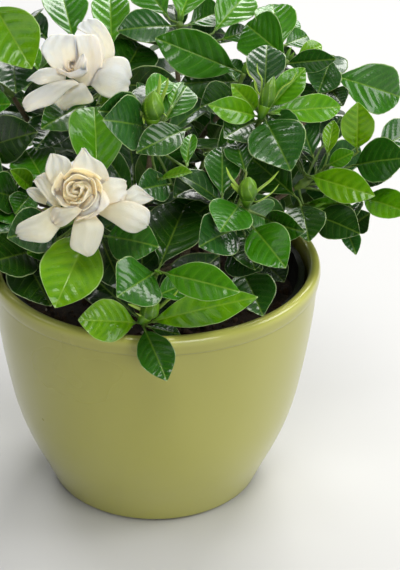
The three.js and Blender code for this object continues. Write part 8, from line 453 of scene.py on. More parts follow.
BUDS = [
 ("flower_bud_1", [-3.1,-48.3,257.3], [-1.9,-53.7,259.6], [-0.8,-57.6,279.2], 6.0, [[[1.3,-47.7,272.9],[2.4,-45.6,283.7]],[[4.0,-48.0,272.5],[6.7,-48.6,283.2]],[[-9.5,-51.8,264.7],[-18.1,-55.3,268.4]],[[1.3,-52.1,264.8],[6.2,-59.7,265.1]],[[-5.2,-51.9,264.8],[-6.3,-58.7,260.6]]]),
 ("flower_bud_2", [60.9,-21.0,249.6], [59.8,-26.1,253.0], [66.3,-18.9,272.9], 4.2, [[[56.3,-18.9,268.1],[50.7,-15.2,276.8]],[[59.7,-18.4,269.1],[56.8,-15.5,279.3]],[[59.1,-22.7,261.3],[55.2,-19.0,270.0]],[[69.8,-20.8,265.3],[79.2,-17.9,275.0]]]),
 ("flower_bud_3", [50.7,-71.8,217.1], [49.7,-75.6,222.0], [50.2,-79.1,238.6], 5.2, [[[44.8,-72.7,229.1],[38.0,-72.2,241.3]],[[45.3,-73.8,227.2],[40.7,-75.7,233.4]],[[54.5,-74.0,227.3],[66.9,-70.1,238.1]],[[56.2,-76.4,223.0],[67.0,-73.2,231.7]]]),
 ("flower_bud_4", [-7.1,-87.2,153.9], [-7.0,-93.1,158.7], [1.3,-92.9,170.0], 5.0, [[[-8.1,-90.0,166.5],[-18.0,-87.5,171.4]],[[-6.9,-91.9,163.1],[-15.1,-93.7,168.6]],[[-2.0,-88.3,170.0],[-6.9,-87.2,181.9]],[[5.2,-89.8,167.6],[12.8,-91.4,176.7]],[[-5.3,-93.8,159.8],[-10.8,-95.3,163.8]]]),
]
WORLD_STRENGTH = 0.10
FLOOR_COLOUR = (0.565, 0.565, 0.563, 1)
# name, place, aims at, size, watts, colour (metres)
LIGHTS = [
    ("key_window", (0.75, 1.75, 1.75), (0, 0, 0.15), (1.5, 1.0), 51, (1, 0.99, 0.97)),
    ("back_window", (-0.9, 1.9, 1.15), (0, 0, 0.2), (0.9, 1.0), 17, (0.97, 0.98, 1)),
    ("side_window", (1.9, 0.1, 1.2), (0, 0, 0.12), (1.0, 0.9), 19, (1, 1, 1)),
    ("top_window", (0.15, -0.75, 2.1), (0, 0, 0.2), (1.0, 0.9), 25, (1, 0.985, 0.955)),
    ("front_fill", (0.9, -2.0, 0.65), (0, 0, 0.05), (1.1, 0.8), 18, (1, 1, 1)),
    ("left_fill", (-2.0, -0.2, 1.6), (0, 0, 0.05), (1.2, 1.0), 4.5, (1, 1, 1)),
]


# ---- small helpers -----------------------------------------------------------
def unit(v):
    v = np.asarray(v, float)
    n = np.linalg.norm(v, axis=-1, keepdims=True)
    return v / np.maximum(n, 1e-12)


def smoothstep(x, lo, hi):
    t = np.clip((np.asarray(x, float) - lo) / (hi - lo), 0, 1)
    return t * t * (3 - 2 * t)


def pchip(xs, ys, x):
    "a smooth curve through the points that never overshoots them"
    xs, ys, x = np.asarray(xs, float), np.asarray(ys, float), np.asarray(x, float)
    h, d = np.diff(xs), np.diff(ys) / np.diff(xs)
    m = np.zeros_like(ys)
    m[0], m[-1] = d[0], d[-1]
    for i in range(1, len(xs) - 1):
        if d[i - 1] * d[i] > 0:
            w1, w2 = 2 * h[i] + h[i - 1], h[i] + 2 * h[i - 1]
            m[i] = (w1 + w2) / (w1 / d[i - 1] + w2 / d[i])
    k = np.clip(np.searchsorted(xs, x, side="right") - 1, 0, len(xs) - 2)
    t = (x - xs[k]) / h[k]
    return ((1 + 2 * t) * (1 - t) ** 2 * ys[k] + t * (1 - t) ** 2 * h[k] * m[k]
            + t * t * (3 - 2 * t) * ys[k + 1] + t * t * (t - 1) * h[k] * m[k + 1])


def catmull(P, t):
    "points on the smooth curve through P at parameters t in 0..1"
    P = np.asarray(P, float)
    n = len(P) - 1
    x = np.clip(np.asarray(t, float), 0, 1) * n
    i = np.minimum(x.astype(int), n - 1)
    f = (x - i).reshape((-1,) + (1,) * (P.ndim - 1))
    Q = np.concatenate([[2 * P[0] - P[1]], P, [2 * P[-1] - P[-2]]])
    p0, p1, p2, p3 = Q[i], Q[i + 1], Q[i + 2], Q[i + 3]
    return 0.5 * (2 * p1 + (p2 - p0) * f + (2 * p0 - 5 * p1 + 4 * p2 - p3) * f * f
                  + (3 * p1 - p0 - 3 * p2 + p3) * f ** 3)


def value_noise(seed, n=64):
    "a smooth one-dimensional noise of period n"
    a = np.random.RandomState(seed).uniform(-1, 1, n)

    def f(x):
        x = np.asarray(x, float)
        i = np.floor(x).astype(int)
        t = x - i
        t = t * t * (3 - 2 * t)
        return a[i % n] * (1 - t) + a[(i + 1) % n] * t
    return f


class Build:
    "collects closed shells; every vertex has three attribute vectors, a, b and c"

    def __init__(self):
        self.v, self.f, self.m, self.a, self.b, self.c, self.n = [], [], [], [], [], [], 0

    def add(self, pts, faces, mat=0, a=None, b=None, c=None):
        pts = np.asarray(pts, float).reshape(-1, 3)
        k = len(pts)
        full = lambda x: (np.zeros((k, 3)) if x is None else np.broadcast_to(np.asarray(x, float), (k, 3)))
        self.v.append(pts)
        faces = np.asarray(faces, int)
        if faces.shape[1] == 3:
            faces = np.concatenate([faces, -np.ones((len(faces), 1), int) - self.n], 1)
        self.f.append(faces + self.n)
        self.m.append(np.full(len(faces), mat))
        self.a.append(full(a)); self.b.append(full(b)); self.c.append(full(c))
        self.n += k

    def sheet(self, top, bottom, mat=0, a=None, b=None, c=None, c_low=None):
        "a thin closed shell between two grids of the same size"
        nt, nv = top.shape[:2]
        ids = np.arange(nt * nv).reshape(nt, nv)
        lo = ids + nt * nv
        q = []
        q.append(np.stack([ids[:-1, :-1], ids[:-1, 1:], ids[1:, 1:], ids[1:, :-1]], -1).reshape(-1, 4))
        q.append(np.stack([lo[:-1, :-1], lo[1:, :-1], lo[1:, 1:], lo[:-1, 1:]], -1).reshape(-1, 4))
        q.append(np.stack([ids[:-1, 0], ids[1:, 0], lo[1:, 0], lo[:-1, 0]], -1))
        q.append(np.stack([ids[:-1, -1], lo[:-1, -1], lo[1:, -1], ids[1:, -1]], -1))
        q.append(np.stack([ids[0, :-1], lo[0, :-1], lo[0, 1:], ids[0, 1:]], -1))
        q.append(np.stack([ids[-1, :-1], ids[-1, 1:], lo[-1, 1:], lo[-1, :-1]], -1))
        rep = lambda x: None if x is None else np.concatenate([np.asarray(x).reshape(-1, 3)] * 2)
        cc = None if c is None else np.concatenate([np.asarray(c).reshape(-1, 3),
                                                    np.asarray(c if c_low is None else c_low).reshape(-1, 3)])
        self.add(np.concatenate([top.reshape(-1, 3), bottom.reshape(-1, 3)]), np.concatenate(q), mat, rep(a), rep(b), cc)

    def tube(self, pts, radii, sides=10, mat=0, squash=1.0, up=None, b=None, c=None):
        "a closed tube along pts"
        P, R = np.asarray(pts, float), np.asarray(radii, float)
        n = len(P)
        D = unit(np.gradient(P, axis=0))
        u = np.cross(D[0], [0, 0, 1.0]) if up is None else np.asarray(up, float)
        if np.linalg.norm(u) < 1e-6:
            u = np.array([1.0, 0, 0])
        rings = []
        for i in range(n):
            u = unit(u - D[i] * (u @ D[i]))
            w = np.cross(D[i], u)
            an = np.arange(sides) * 2 * math.pi / sides
            rings.append(P[i] + R[i] * (np.cos(an)[:, None] * u + squash * np.sin(an)[:, None] * w))
        pts2 = np.concatenate(rings + [P[:1] - D[:1] * R[0] * 0.3, P[-1:] + D[-1:] * R[-1] * 0.5])
        ids = np.arange(n * sides).reshape(n, sides)
        nx = np.roll(ids, -1, 1)
        q = np.stack([ids[:-1], nx[:-1], nx[1:], ids[1:]], -1).reshape(-1, 4)
        s0, s1 = n * sides, n * sides + 1
        cap = np.concatenate([np.stack([np.full(sides, s0), nx[0], ids[0]], -1),
                              np.stack([np.full(sides, s1), ids[-1], nx[-1]], -1)])
        along = np.concatenate([np.repeat(np.linspace(0, 1, n), sides), [0, 1]])
        round_ = np.concatenate([np.tile(np.arange(sides) / sides, n), [0, 0]])
        a = np.stack([along, round_, np.zeros_like(along)], -1)
        base = self.n
        self.add(pts2, q, mat, a, b, c)
        self.f.append(np.concatenate([cap + base, np.full((len(cap), 1), -1)], 1))
        self.m.append(np.full(len(cap), mat))

    def object(self, name, materials):
        v = np.concatenate(self.v) * MM
        f = np.concatenate(self.f)
        m = np.concatenate(self.m)
        sizes = np.where(f[:, 3] < 0, 3, 4)
        flat = f.reshape(-1)[(np.arange(4)[None] < sizes[:, None]).reshape(-1)]
        me = bpy.data.meshes.new(name)
        me.vertices.add(len(v)); me.vertices.foreach_set("co", v.astype(np.float32).reshape(-1))
        me.loops.add(len(flat)); me.loops.foreach_set("vertex_index", flat.astype(np.int32))
        me.polygons.add(len(f))
        me.polygons.foreach_set("loop_start", np.concatenate([[0], np.cumsum(sizes)[:-1]]).astype(np.int32))
        me.polygons.foreach_set("material_index", m.astype(np.int32))
        me.update(calc_edges=True)
        me.polygons.foreach_set("use_smooth", np.ones(len(f), bool))
        for key, arr in (("pa", self.a), ("pb", self.b), ("pc", self.c)):
            at = me.attributes.new(key, "FLOAT_VECTOR", "POINT")
            at.data.foreach_set("vector", np.concatenate(arr).astype(np.float32).reshape(-1))
        for mat in materials:
            me.materials.append(mat)
        me.validate()
        ob = bpy.data.objects.new(name, me)
        bpy.context.scene.collection.objects.link(ob)
        return ob


def show(build, node, materials):
    ob = build.object(node + "_fine", materials)
    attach(ob, "root")
    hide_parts(node)
    return ob


# ---- node materials ----------------------------------------------------------
def srgb(r, g, b):
    f = lambda c: (c / 255 / 12.92) if c / 255 <= 0.04045 else ((c / 255 + 0.055) / 1.055) ** 2.4
    return (f(r), f(g), f(b), 1.0)


class Nodes:
    def __init__(self, name):
        self.mat = bpy.data.materials.new(name)
        self.mat.use_nodes = True
        self.t = self.mat.node_tree
        self.t.nodes.clear()
        self.out = self.t.nodes.new("ShaderNodeOutputMaterial")
        self.p = self.t.nodes.new("ShaderNodeBsdfPrincipled")
        self.t.links.new(self.p.outputs[0], self.out.inputs[0])

    def put(self, socket, x):
        if isinstance(x, bpy.types.NodeSocket):
            self.t.links.new(x, socket)
        elif x is not None:
            socket.default_value = x

    def attr(self, name):
        n = self.t.nodes.new("ShaderNodeAttribute")
        n.attribute_name = name
        s = self.t.nodes.new("ShaderNodeSeparateXYZ")
        self.t.links.new(n.outputs["Vector"], s.inputs[0])
        return s.outputs[0], s.outputs[1], s.outputs[2]

    def place(self):
        return self.t.nodes.new("ShaderNodeTexCoord").outputs["Object"]

    def xyz(self, x, y, z):
        n = self.t.nodes.new("ShaderNodeCombineXYZ")
        for i, k in enumerate((x, y, z)):
            self.put(n.inputs[i], k)
        return n.outputs[0]

    def math(self, op, a, b=None, c=None, clamp=False):
        n = self.t.nodes.new("ShaderNodeMath")
        n.operation = op
        n.use_clamp = clamp
        for i, k in enumerate((a, b, c)):
            if k is not None:
                self.put(n.inputs[i], k)
        return n.outputs[0]

    def range(self, x, lo, hi, a=0.0, b=1.0, smooth=True):
        n = self.t.nodes.new("ShaderNodeMapRange")
        n.interpolation_type = "SMOOTHSTEP" if smooth else "LINEAR"
        for i, k in enumerate((x, lo, hi, a, b)):
            self.put(n.inputs[i], k)
        return n.outputs[0]

    def mix(self, fac, a, b, blend="MIX"):
        n = self.t.nodes.new("ShaderNodeMix")
        n.data_type = "RGBA"
        n.blend_type = blend
        self.put(n.inputs[0], fac); self.put(n.inputs[6], a); self.put(n.inputs[7], b)
        return n.outputs[2]

    def noise(self, vec, scale, detail=3.0, rough=0.5, dist=0.0):
        n = self.t.nodes.new("ShaderNodeTexNoise")
        self.put(n.inputs["Vector"], vec)
        n.inputs["Scale"].default_value = scale
        n.inputs["Detail"].default_value = detail
        n.inputs["Roughness"].default_value = rough
        n.inputs["Distortion"].default_value = dist
        return n.outputs[0]

    def cells(self, vec, scale, feature="F1"):
        n = self.t.nodes.new("ShaderNodeTexVoronoi")
        n.feature = feature
        self.put(n.inputs["Vector"], vec)
        n.inputs["Scale"].default_value = scale
        return n.outputs["Distance"]

    def ramp(self, fac, stops):
        n = self.t.nodes.new("ShaderNodeValToRGB")
        e = n.color_ramp.elements
        while len(e) < len(stops):
            e.new(0.5)
        for k, (pos, col) in zip(e, stops):
            k.position, k.color = pos, col
        self.put(n.inputs[0], fac)
        return n.outputs[0]

    def bump(self, height, strength, distance):
        n = self.t.nodes.new("ShaderNodeBump")
        n.inputs["Strength"].default_value = strength
        n.inputs["Distance"].default_value = distance
        self.put(n.inputs["Height"], height)
        self.t.links.new(n.outputs[0], self.p.inputs["Normal"])

    def set(self, **kw):
        for k, v in kw.items():
            self.put(self.p.inputs[k.replace("_", " ")], v)
        return self.mat


def leaf_material():
    N = Nodes("gardenia_leaf")
    u, v, x = N.attr("pa")          # along 0..1, across -1..1, distance from the midrib in mm
    ph, tone, seed = N.attr("pb")   # vein phase, tone 0 dark .. 1 yellow-green, seed
    side, edge, _ = N.attr("pc")    # 1 on the upper face, nearness to the margin
    here = N.place()
    # body colour by each leaf's tone, with slow patches; the tone is mostly the leaf's age, and on some leaves in shade
    # it is set lower as painted shade
    patch = N.noise(here, 55, 2.0)
    t = N.math("ADD", tone, N.math("MULTIPLY", N.math("SUBTRACT", patch, 0.5), 0.22))
    body = N.ramp(t, [(0.0, srgb(12, 36, 5)), (0.22, srgb(20, 60, 5)), (0.42, srgb(32, 88, 3)),
                      (0.62, srgb(52, 120, 2)), (0.82, srgb(78, 140, 0)), (1.0, srgb(112, 160, 2))])
    # some of the older leaves are a cooler, bluer green
    cool = N.math("MULTIPLY", N.range(seed, 0.10, 0.90, 0.0, 0.62), N.range(t, 0.40, 0.75, 1.0, 0.0))
    body = N.mix(cool, body, N.ramp(t, [(0.0, srgb(12, 38, 20)), (0.6, srgb(42, 96, 48))]))
    # paler near the midrib and along side veins, deeper between them
    dv = N.math("ABSOLUTE", N.math("SUBTRACT", N.math("FRACT", N.math("ADD", ph, 0.5)), 0.5))
    side_vein = N.range(dv, 0.0, 0.085, 1.0, 0.0)
    fade = N.range(N.math("ABSOLUTE", v), 0.93, 0.55, 0.0, 1.0)
    side_vein = N.math("MULTIPLY", side_vein, fade)
    mid = N.range(x, 0.20, 0.72, 1.0, 0.0)
    vein_col = N.mix(0.48, body, srgb(142, 178, 56))
    # the cushions between the side veins are darker green, more so on young leaves: partly the leaf's own colour,
    # partly painted shade for the quilted swellings
    deep = N.mix(0.55, body, N.ramp(t, [(0.0, srgb(8, 26, 6)), (0.5, srgb(22, 70, 2)), (1.0, srgb(46, 116, 2))]))
    cushion_shade = N.math("MULTIPLY", N.range(dv, 0.10, 0.42), N.range(N.math("ABSOLUTE", v), 0.98, 0.60, 0.25, 1.0))
    mottle = N.range(N.noise(here, 190, 4.0, 0.6), 0.34, 0.62)
    c = N.mix(N.math("MULTIPLY", cushion_shade, N.math("ADD", 0.22, N.math("MULTIPLY", mottle, 0.62))), body, deep)
    c = N.mix(N.math("MULTIPLY", side_vein, 0.26), c, vein_col)
    c = N.mix(N.math("MULTIPLY", mid, N.range(t, 0.10, 0.80, 0.46, 0.80)), c, vein_col)
    # fine net of the smallest veins
    net = N.cells(here, 900, "DISTANCE_TO_EDGE")
    c = N.mix(N.range(net, 0.0, 0.12, 0.12, 0.0), c, vein_col)
    # pale thin margin
    c = N.mix(N.math("MULTIPLY", edge, 0.80), c, N.mix(0.66, body, srgb(204, 222, 160)))
    # small blemishes
    spot = N.range(N.noise(here, 230, 2.0, 0.6), 0.70, 0.78, 0.0, 0.35)
    c = N.mix(spot, c, srgb(70, 92, 34))
    # the underside is paler and dull
    under = N.mix(0.36, body, srgb(112, 152, 62))
    under = N.mix(N.math("MULTIPLY", N.math("MAXIMUM", side_vein, mid), 0.5), under, srgb(160, 190, 120))
    c = N.mix(side, under, c)
    rough = N.range(N.noise(here, 120, 3.0), 0.3, 0.7, 0.22, 0.36, smooth=False)
    rough = N.math("ADD", rough, N.math("MULTIPLY", N.math("SUBTRACT", 1.0, side), 0.30))
    h = N.math("ADD", N.math("MULTIPLY", side_vein, -0.8), N.math("MULTIPLY", N.range(net, 0.0, 0.25), 0.35))
    h = N.math("ADD", h, N.math("MULTIPLY", N.noise(here, 260, 3.0), 0.8))
    N.bump(h, 0.35, 0.00035)
    return N.set(Base_Color=c, Roughness=rough, IOR=1.45, Specular_IOR_Level=0.22, Coat_Weight=0.42, Coat_Roughness=0.09,
                 Subsurface_Weight=0.10, Subsurface_Radius=(0.6, 1.0, 0.15), Subsurface_Scale=0.0015)


def twig_material():
    N = Nodes("green_twig")
    u, r, _ = N.attr("pa")
    here = N.place()
    n = N.noise(here, 300, 4.0)
    c = N.ramp(n, [(0.2, srgb(62, 92, 28)), (0.55, srgb(96, 128, 42)), (0.85, srgb(138, 150, 74))])
    c = N.mix(N.range(N.cells(here, 700), 0.0, 0.25, 0.4, 0.0), c, srgb(150, 138, 96))
    N.bump(N.noise(here, 900, 4.0), 0.4, 0.0003)
    return N.set(Base_Color=c, Roughness=0.5)


def bark_material():
    N = Nodes("woody_bark")
    here = N.place()
    u, r, _ = N.attr("pa")
    streak = N.noise(N.xyz(N.math("MULTIPLY", r, 9.0), N.math("MULTIPLY", u, 5.0), 0.0), 6.0, 5.0, 0.6)
    c = N.ramp(streak, [(0.25, srgb(66, 54, 40)), (0.5, srgb(104, 90, 68)), (0.8, srgb(150, 136, 108))])
    c = N.mix(N.range(N.noise(here, 420, 3.0), 0.62, 0.72, 0.0, 0.7), c, srgb(178, 166, 140))
    N.bump(N.math("ADD", streak, N.noise(here, 700, 4.0)), 0.7, 0.0006)
    return N.set(Base_Color=c, Roughness=0.82)


def petal_material(name, tip, base, heart, edge_col):
    N = Nodes(name)
    s, v, th = N.attr("pa")         # throat to tip, across, heart 0/1
    e, inner, seed = N.attr("pb")
    here = N.place()
    slow = N.noise(here, 70, 3.0)
    c = N.mix(N.range(s, 0.1, 0.75), base, tip)
    c = N.mix(N.math("MULTIPLY", th, 0.75), c, heart)
    c = N.mix(N.range(slow, 0.42, 0.72, 0.0, 0.22), c, edge_col)
    vein = N.noise(N.xyz(N.math("MULTIPLY", v, 7.0), N.math("MULTIPLY", s, 1.1), seed), 5.0, 3.0, 0.55)
    c = N.mix(N.range(vein, 0.5, 0.75, 0.0, 0.16), c, edge_col)
    c = N.mix(N.math("MULTIPLY", e, N.math("SUBTRACT", 0.50, N.math("MULTIPLY", th, 0.34))), c, edge_col)
    N.bump(N.math("ADD", vein, N.math("MULTIPLY", N.noise(here, 900, 2.0), 0.25)), 0.35, 0.0008)
    return N.set(Base_Color=c, Roughness=0.46, IOR=1.4, Subsurface_Weight=0.80,
                 Subsurface_Radius=(1.0, 0.80, 0.52), Subsurface_Scale=0.007, Sheen_Weight=0.12, Sheen_Roughness=0.5)


def bud_material():
    N = Nodes("green_bud")
    s, v, k = N.attr("pa")
    sepal, _, _ = N.attr("pb")
    here = N.place()
    n = N.noise(here, 160, 3.0)
    c = N.mix(N.range(s, 0.0, 1.0), srgb(46, 92, 10), srgb(104, 150, 24))
    c = N.mix(N.range(n, 0.4, 0.7, 0.0, 0.35), c, srgb(34, 76, 10))
    c = N.mix(N.math("MULTIPLY", k, 0.7), c, srgb(146, 184, 44))
    c = N.mix(N.math("MULTIPLY", sepal, N.range(s, 0.0, 0.8, 0.35, 0.75)), c, srgb(170, 200, 78))
    N.bump(N.noise(here, 800, 3.0), 0.3, 0.0003)
    return N.set(Base_Color=c, Roughness=0.36, Subsurface_Weight=0.15, Subsurface_Radius=(0.6, 1.0, 0.2),
                 Subsurface_Scale=0.002)


def mix_material():
    N = Nodes("potting_mix")
    tone, kind, _ = N.attr("pb")
    here = N.place()
    n = N.noise(here, 420, 5.0, 0.65)
    c = N.ramp(n, [(0.25, srgb(22, 16, 12)), (0.5, srgb(44, 32, 22)), (0.8, srgb(84, 62, 42))])
    c = N.mix(N.math("MULTIPLY", tone, 0.6), c, srgb(96, 70, 44))
    c = N.mix(kind, c, srgb(196, 190, 176))
    N.bump(N.noise(here, 1100, 5.0, 0.7), 0.9, 0.0012)
    return N.set(Base_Color=c, Roughness=0.95)


def glaze_material():
    N = Nodes("olive_glaze")
    here = N.place()
    s = N.t.nodes.new("ShaderNodeSeparateXYZ")
    N.t.links.new(here, s.inputs[0])
    slow = N.noise(here, 9, 3.0, 0.5)
    fine = N.noise(here, 260, 3.0, 0.6)
    c = N.mix(N.range(slow, 0.35, 0.7), GLAZE_A, GLAZE_B)
    # the glaze pools a little darker under the lip and thins to a lighter line on its edge
    # painted shade: the glaze is darker in a band under the lip, where the lip shades the body; the lip's edge is a
    # lighter line, partly thinner glaze and partly a painted highlight
    z = s.outputs[2]
    c = N.mix(N.range(N.math("ABSOLUTE", N.math("SUBTRACT", z, 0.1385)), 0.0, 0.0016, 0.32, 0.0), c, GLAZE_PAINTED_SHADE)
    # lighter lip edge: partly thinner glaze, partly a painted highlight
    c = N.mix(N.range(z, 0.1425, 0.1480, 0.0, 0.75), c, GLAZE_THIN_AND_HIGHLIGHT)
    # painted shade on the foot, where the planter meets the floor
    c = N.mix(N.range(z, 0.0035, 0.0, 0.0, 0.5), c, GLAZE_PAINTED_SHADE)
    rough = N.range(slow, 0.3, 0.7, 0.26, 0.34, smooth=False)
    N.bump(N.math("ADD", N.math("MULTIPLY", N.noise(here, 24, 2.0), 0.5), N.math("MULTIPLY", fine, 0.06)), 0.05, 0.0010)
    return N.set(Base_Color=c, Roughness=rough, IOR=1.5, Coat_Weight=0.50, Coat_Roughness=0.14)


def pot_material():
    N = Nodes("black_pot_plastic")
    here = N.place()
    n = N.noise(here, 700, 3.0)
    c = N.mix(N.range(n, 0.3, 0.7), srgb(15, 15, 15), srgb(30, 30, 29))
    N.bump(n, 0.25, 0.0004)
    return N.set(Base_Color=c, Roughness=0.5)


GLAZE_A, GLAZE_B = srgb(164, 162, 76), srgb(168, 166, 80)
# the darker glaze colour is painted shade, the lighter one thinner glaze with a painted highlight
GLAZE_PAINTED_SHADE, GLAZE_THIN_AND_HIGHLIGHT = srgb(122, 122, 46), srgb(196, 198, 96)
LEAF, TWIG, BARK, BUD = leaf_material(), twig_material(), bark_material(), bud_material()
PETAL_1 = petal_material("petal_white", srgb(254, 246, 227), srgb(252, 236, 208), srgb(252, 230, 198), srgb(230, 204, 162))
PETAL_2 = petal_material("petal_cream", srgb(254, 237, 207), srgb(252, 227, 184), srgb(254, 236, 188), srgb(226, 188, 132))
MIX, GLAZE, POT = mix_material(), glaze_material(), pot_material()

# ---- leaves ------------------------------------------------------------------
STALK_SHARE = 0.09
OUT_U = [0, .05, .12, .20, .30, .40, .50, .60, .70, .80, .88, .94, .98, 1.0]
OUT_W = [.05, .11, .30, .52, .76, .92, .995, 1.0, .90, .68, .44, .235, .09, .012]
ACROSS = {0: [0, .035, .10, .20, .33, .46, .59, .72, .84, .95, 1.0],
          1: [0, .06, .20, .42, .68, .93, 1.0], 2: [0, .06, .3, .6, .92, 1.0]}
ROWS = {0: 41, 1: 24, 2: 18}


def leaf(B, row):
    at, foot, tip, up, width, arch, fold, twist, tone, detail, seed = row
    rs = np.random.RandomState(1000 + seed)
    at, foot, tip, N0 = (np.array(x, float) for x in (at, foot, tip, up))
    D0 = tip - foot
    L = np.linalg.norm(D0)
    P = [foot, foot + D0 * .30 + N0 * arch * L * .9, foot + D0 * .72 + N0 * arch * L * 1.15, tip]
    bez = lambda t: ((1 - t) ** 3 * P[0] + 3 * (1 - t) ** 2 * t * P[1] + 3 * (1 - t) * t * t * P[2] + t ** 3 * P[3])
    dbz = lambda t: (3 * (1 - t) ** 2 * (P[1] - P[0]) + 6 * (1 - t) * t * (P[2] - P[1]) + 3 * t * t * (P[3] - P[2]))
    u = np.linspace(0, 1, ROWS[detail])
    u = 0.5 * u + 0.5 * (1 - np.cos(math.pi * u)) / 2
    t = (STALK_SHARE + (1 - STALK_SHARE) * u)[:, None]
    M, D = bez(t), unit(dbz(t))
    S = unit(np.cross(D, N0[None]))
    Nn = np.cross(S, D)
    tw = np.radians(twist) * t
    S, Nn = S * np.cos(tw) + Nn * np.sin(tw), -S * np.sin(tw) + Nn * np.cos(tw)
    half = ACROSS[detail]
    v = np.array([-x for x in half[:0:-1]] + list(half))
    w = pchip(OUT_U, OUT_W, u) * width / 2
    blade = L * (1 - STALK_SHARE)
    x = w[:, None] * np.abs(v)[None]
    sgn = np.sign(v)[None]
    s = u[:, None] * blade
    # side veins leave the midrib at an angle and bend towards the tip
    spacing = blade / (7.4 + rs.uniform(-.5, .7))
    ph = (s - 0.50 * x - 0.030 * x * x * (26 / max(width, 8)) - 0.12 * spacing * sgn) / spacing + 20
    swell = np.abs(np.sin(math.pi * ph)) ** 0.85
    a = np.abs(v)[None]
    hold = smoothstep(a, 0.02, 0.30) * (1 - 0.55 * smoothstep(a, 0.72, 1.0)) * smoothstep(u, 0.03, 0.16)[:, None] * (1 - smoothstep(u, 0.86, 0.99))[:, None]
    amp = (0.036 * width) * rs.uniform(0.75, 1.25)
    fo = math.radians(fold)
    h = x * math.sin(fo) + w[:, None] * 0.06 * a * a
    h = h + amp * (swell - 0.5) * hold
    h = h - 0.34 * np.exp(-(x / 0.75) ** 2) * (1 - 0.7 * u[:, None])
    # slow waves in the margin and an uneven outline
    wave = rs.uniform(0.015, 0.040) * width
    ps = rs.uniform(0, 2 * math.pi, 2)
    fq = rs.uniform(1.2, 2.1, 2)
    k = np.where(v < 0, 0, 1)
    h = h + wave * (a ** 2.2) * np.sin(2 * math.pi * fq[k][None] * u[:, None] + ps[k][None]) * smoothstep(u, 0.05, 0.3)[:, None] * (1 - smoothstep(u, .9, 1))[:, None]
    ns = [value_noise(seed * 7 + 3), value_noise(seed * 7 + 5)]
    out = 1 + 0.022 * np.stack([ns[0](u * 9), ns[1](u * 9)], 1)[:, k]
    xx = w[:, None] * v[None] * math.cos(fo) * out
    top = M[:, None] + S[:, None] * xx[..., None] + Nn[:, None] * h[..., None]
    # normals of the sheet, for its thickness
    gu, gv = np.gradient(top, axis=0), np.gradient(top, axis=1)
    n = unit(np.cross(gv, gu))
    n = np.where((n * Nn[:, None]).sum(-1, keepdims=True) < 0, -n, n)
    th = 0.40 * (1 - 0.45 * smoothstep(a, 0.8, 1.0)) + 0.95 * np.exp(-(x / 0.8) ** 2) * (1 - 0.75 * u[:, None])
    th = th * (0.25 + 0.75 * (1 - smoothstep(u, .95, 1)))[:, None]
    low = top - n * th[..., None]
    one = np.ones_like(x)
    A = np.stack([u[:, None] * one, v[None] * one, x], -1)
    Bq = np.stack([ph, tone / 3.2 * one, seed * 0.137 % 1 * one], -1)
    mar = np.maximum(smoothstep(a, 0.955, 0.995) * one, smoothstep(u, .975, 1)[:, None] * one)
    B.sheet(top, low, 0, A, Bq, np.stack([one, mar, one], -1), np.stack([0 * one, mar, one], -1))
    # stalk
    q1 = bez(np.array([[STALK_SHARE * 0.5]]))[0]
    q2 = bez(np.array([[STALK_SHARE + 0.05]]))[0] - Nn[0] * 0.5
    side_pts = [at, at * 0.5 + foot * 0.5 - unit(dbz(np.array([[0.01]])))[0] * np.linalg.norm(foot - at) * 0.05, foot, q1, q2]
    tt = np.linspace(0, 1, 9 if detail == 0 else 6)
    pts = catmull(side_pts, tt)
    B.tube(pts, np.interp(tt, [0, .15, 1], [1.15, .82, .55]), 8 if detail == 0 else 6, 1)


def twig(B, p, r0, r1, ends, tip_bud):
    t = np.linspace(0, 1, 22)
    pts = catmull(p, t)
    r = np.interp(t, [0, 1], [r0, r1])
    for e in ends:                              # a swollen joint where leaves leave
        d = np.linalg.norm(pts - np.array(e), axis=1)
        r = r + 0.35 * np.exp(-(d / 1.3) ** 2)
    B.tube(pts, r, 12, 1)
    if tip_bud:                                 # folded young leaf tips
        ax = unit(np.array(p[-1]) - np.array(p[-2]))
        for k, (ln, wd) in enumerate(((9.0, 1.5), (7.0, 1.2))):
            sd = unit(np.cross(ax, [0.3, 0.8, 0.2])) * (1 - 2 * k)
            s = np.linspace(0, 1, 9)
            q = np.array(p[-1])[None] - ax * 1.0 + ax * (s * ln)[:, None] + sd * (0.8 * np.sin(s * 2.4) + 0.9 * s)[:, None]
            B.tube(q, wd * np.interp(s, [0, .3, .75, 1], [.65, 1, .55, .08]), 10, 2, squash=0.55, up=sd)


for name, tw, ends, tip_bud, rows in SHOOTS:
    B = Build()
    twig(B, tw[0], tw[1], tw[2], ends, tip_bud)
    for row in rows:
        leaf(B, row)
    show(B, name, [LEAF, TWIG, BUD])

# ---- stems -------------------------------------------------------------------
for name, tubes in STEMS:
    B = Build()
    for k, (p, r0, r1) in enumerate(tubes):
        t = np.linspace(0, 1, 30)
        r = np.interp(t, [0, 1], [r0, r1])
        nz = value_noise(sum(map(ord, name)) + 17 * k)
        r = r * (1 + 0.07 * nz(t * 13)) + 0.22 * np.maximum(0, nz(t * 6 + 9) - .55)
        B.tube(catmull(p, t), r, 14, 0)
    show(B, name, [BARK])

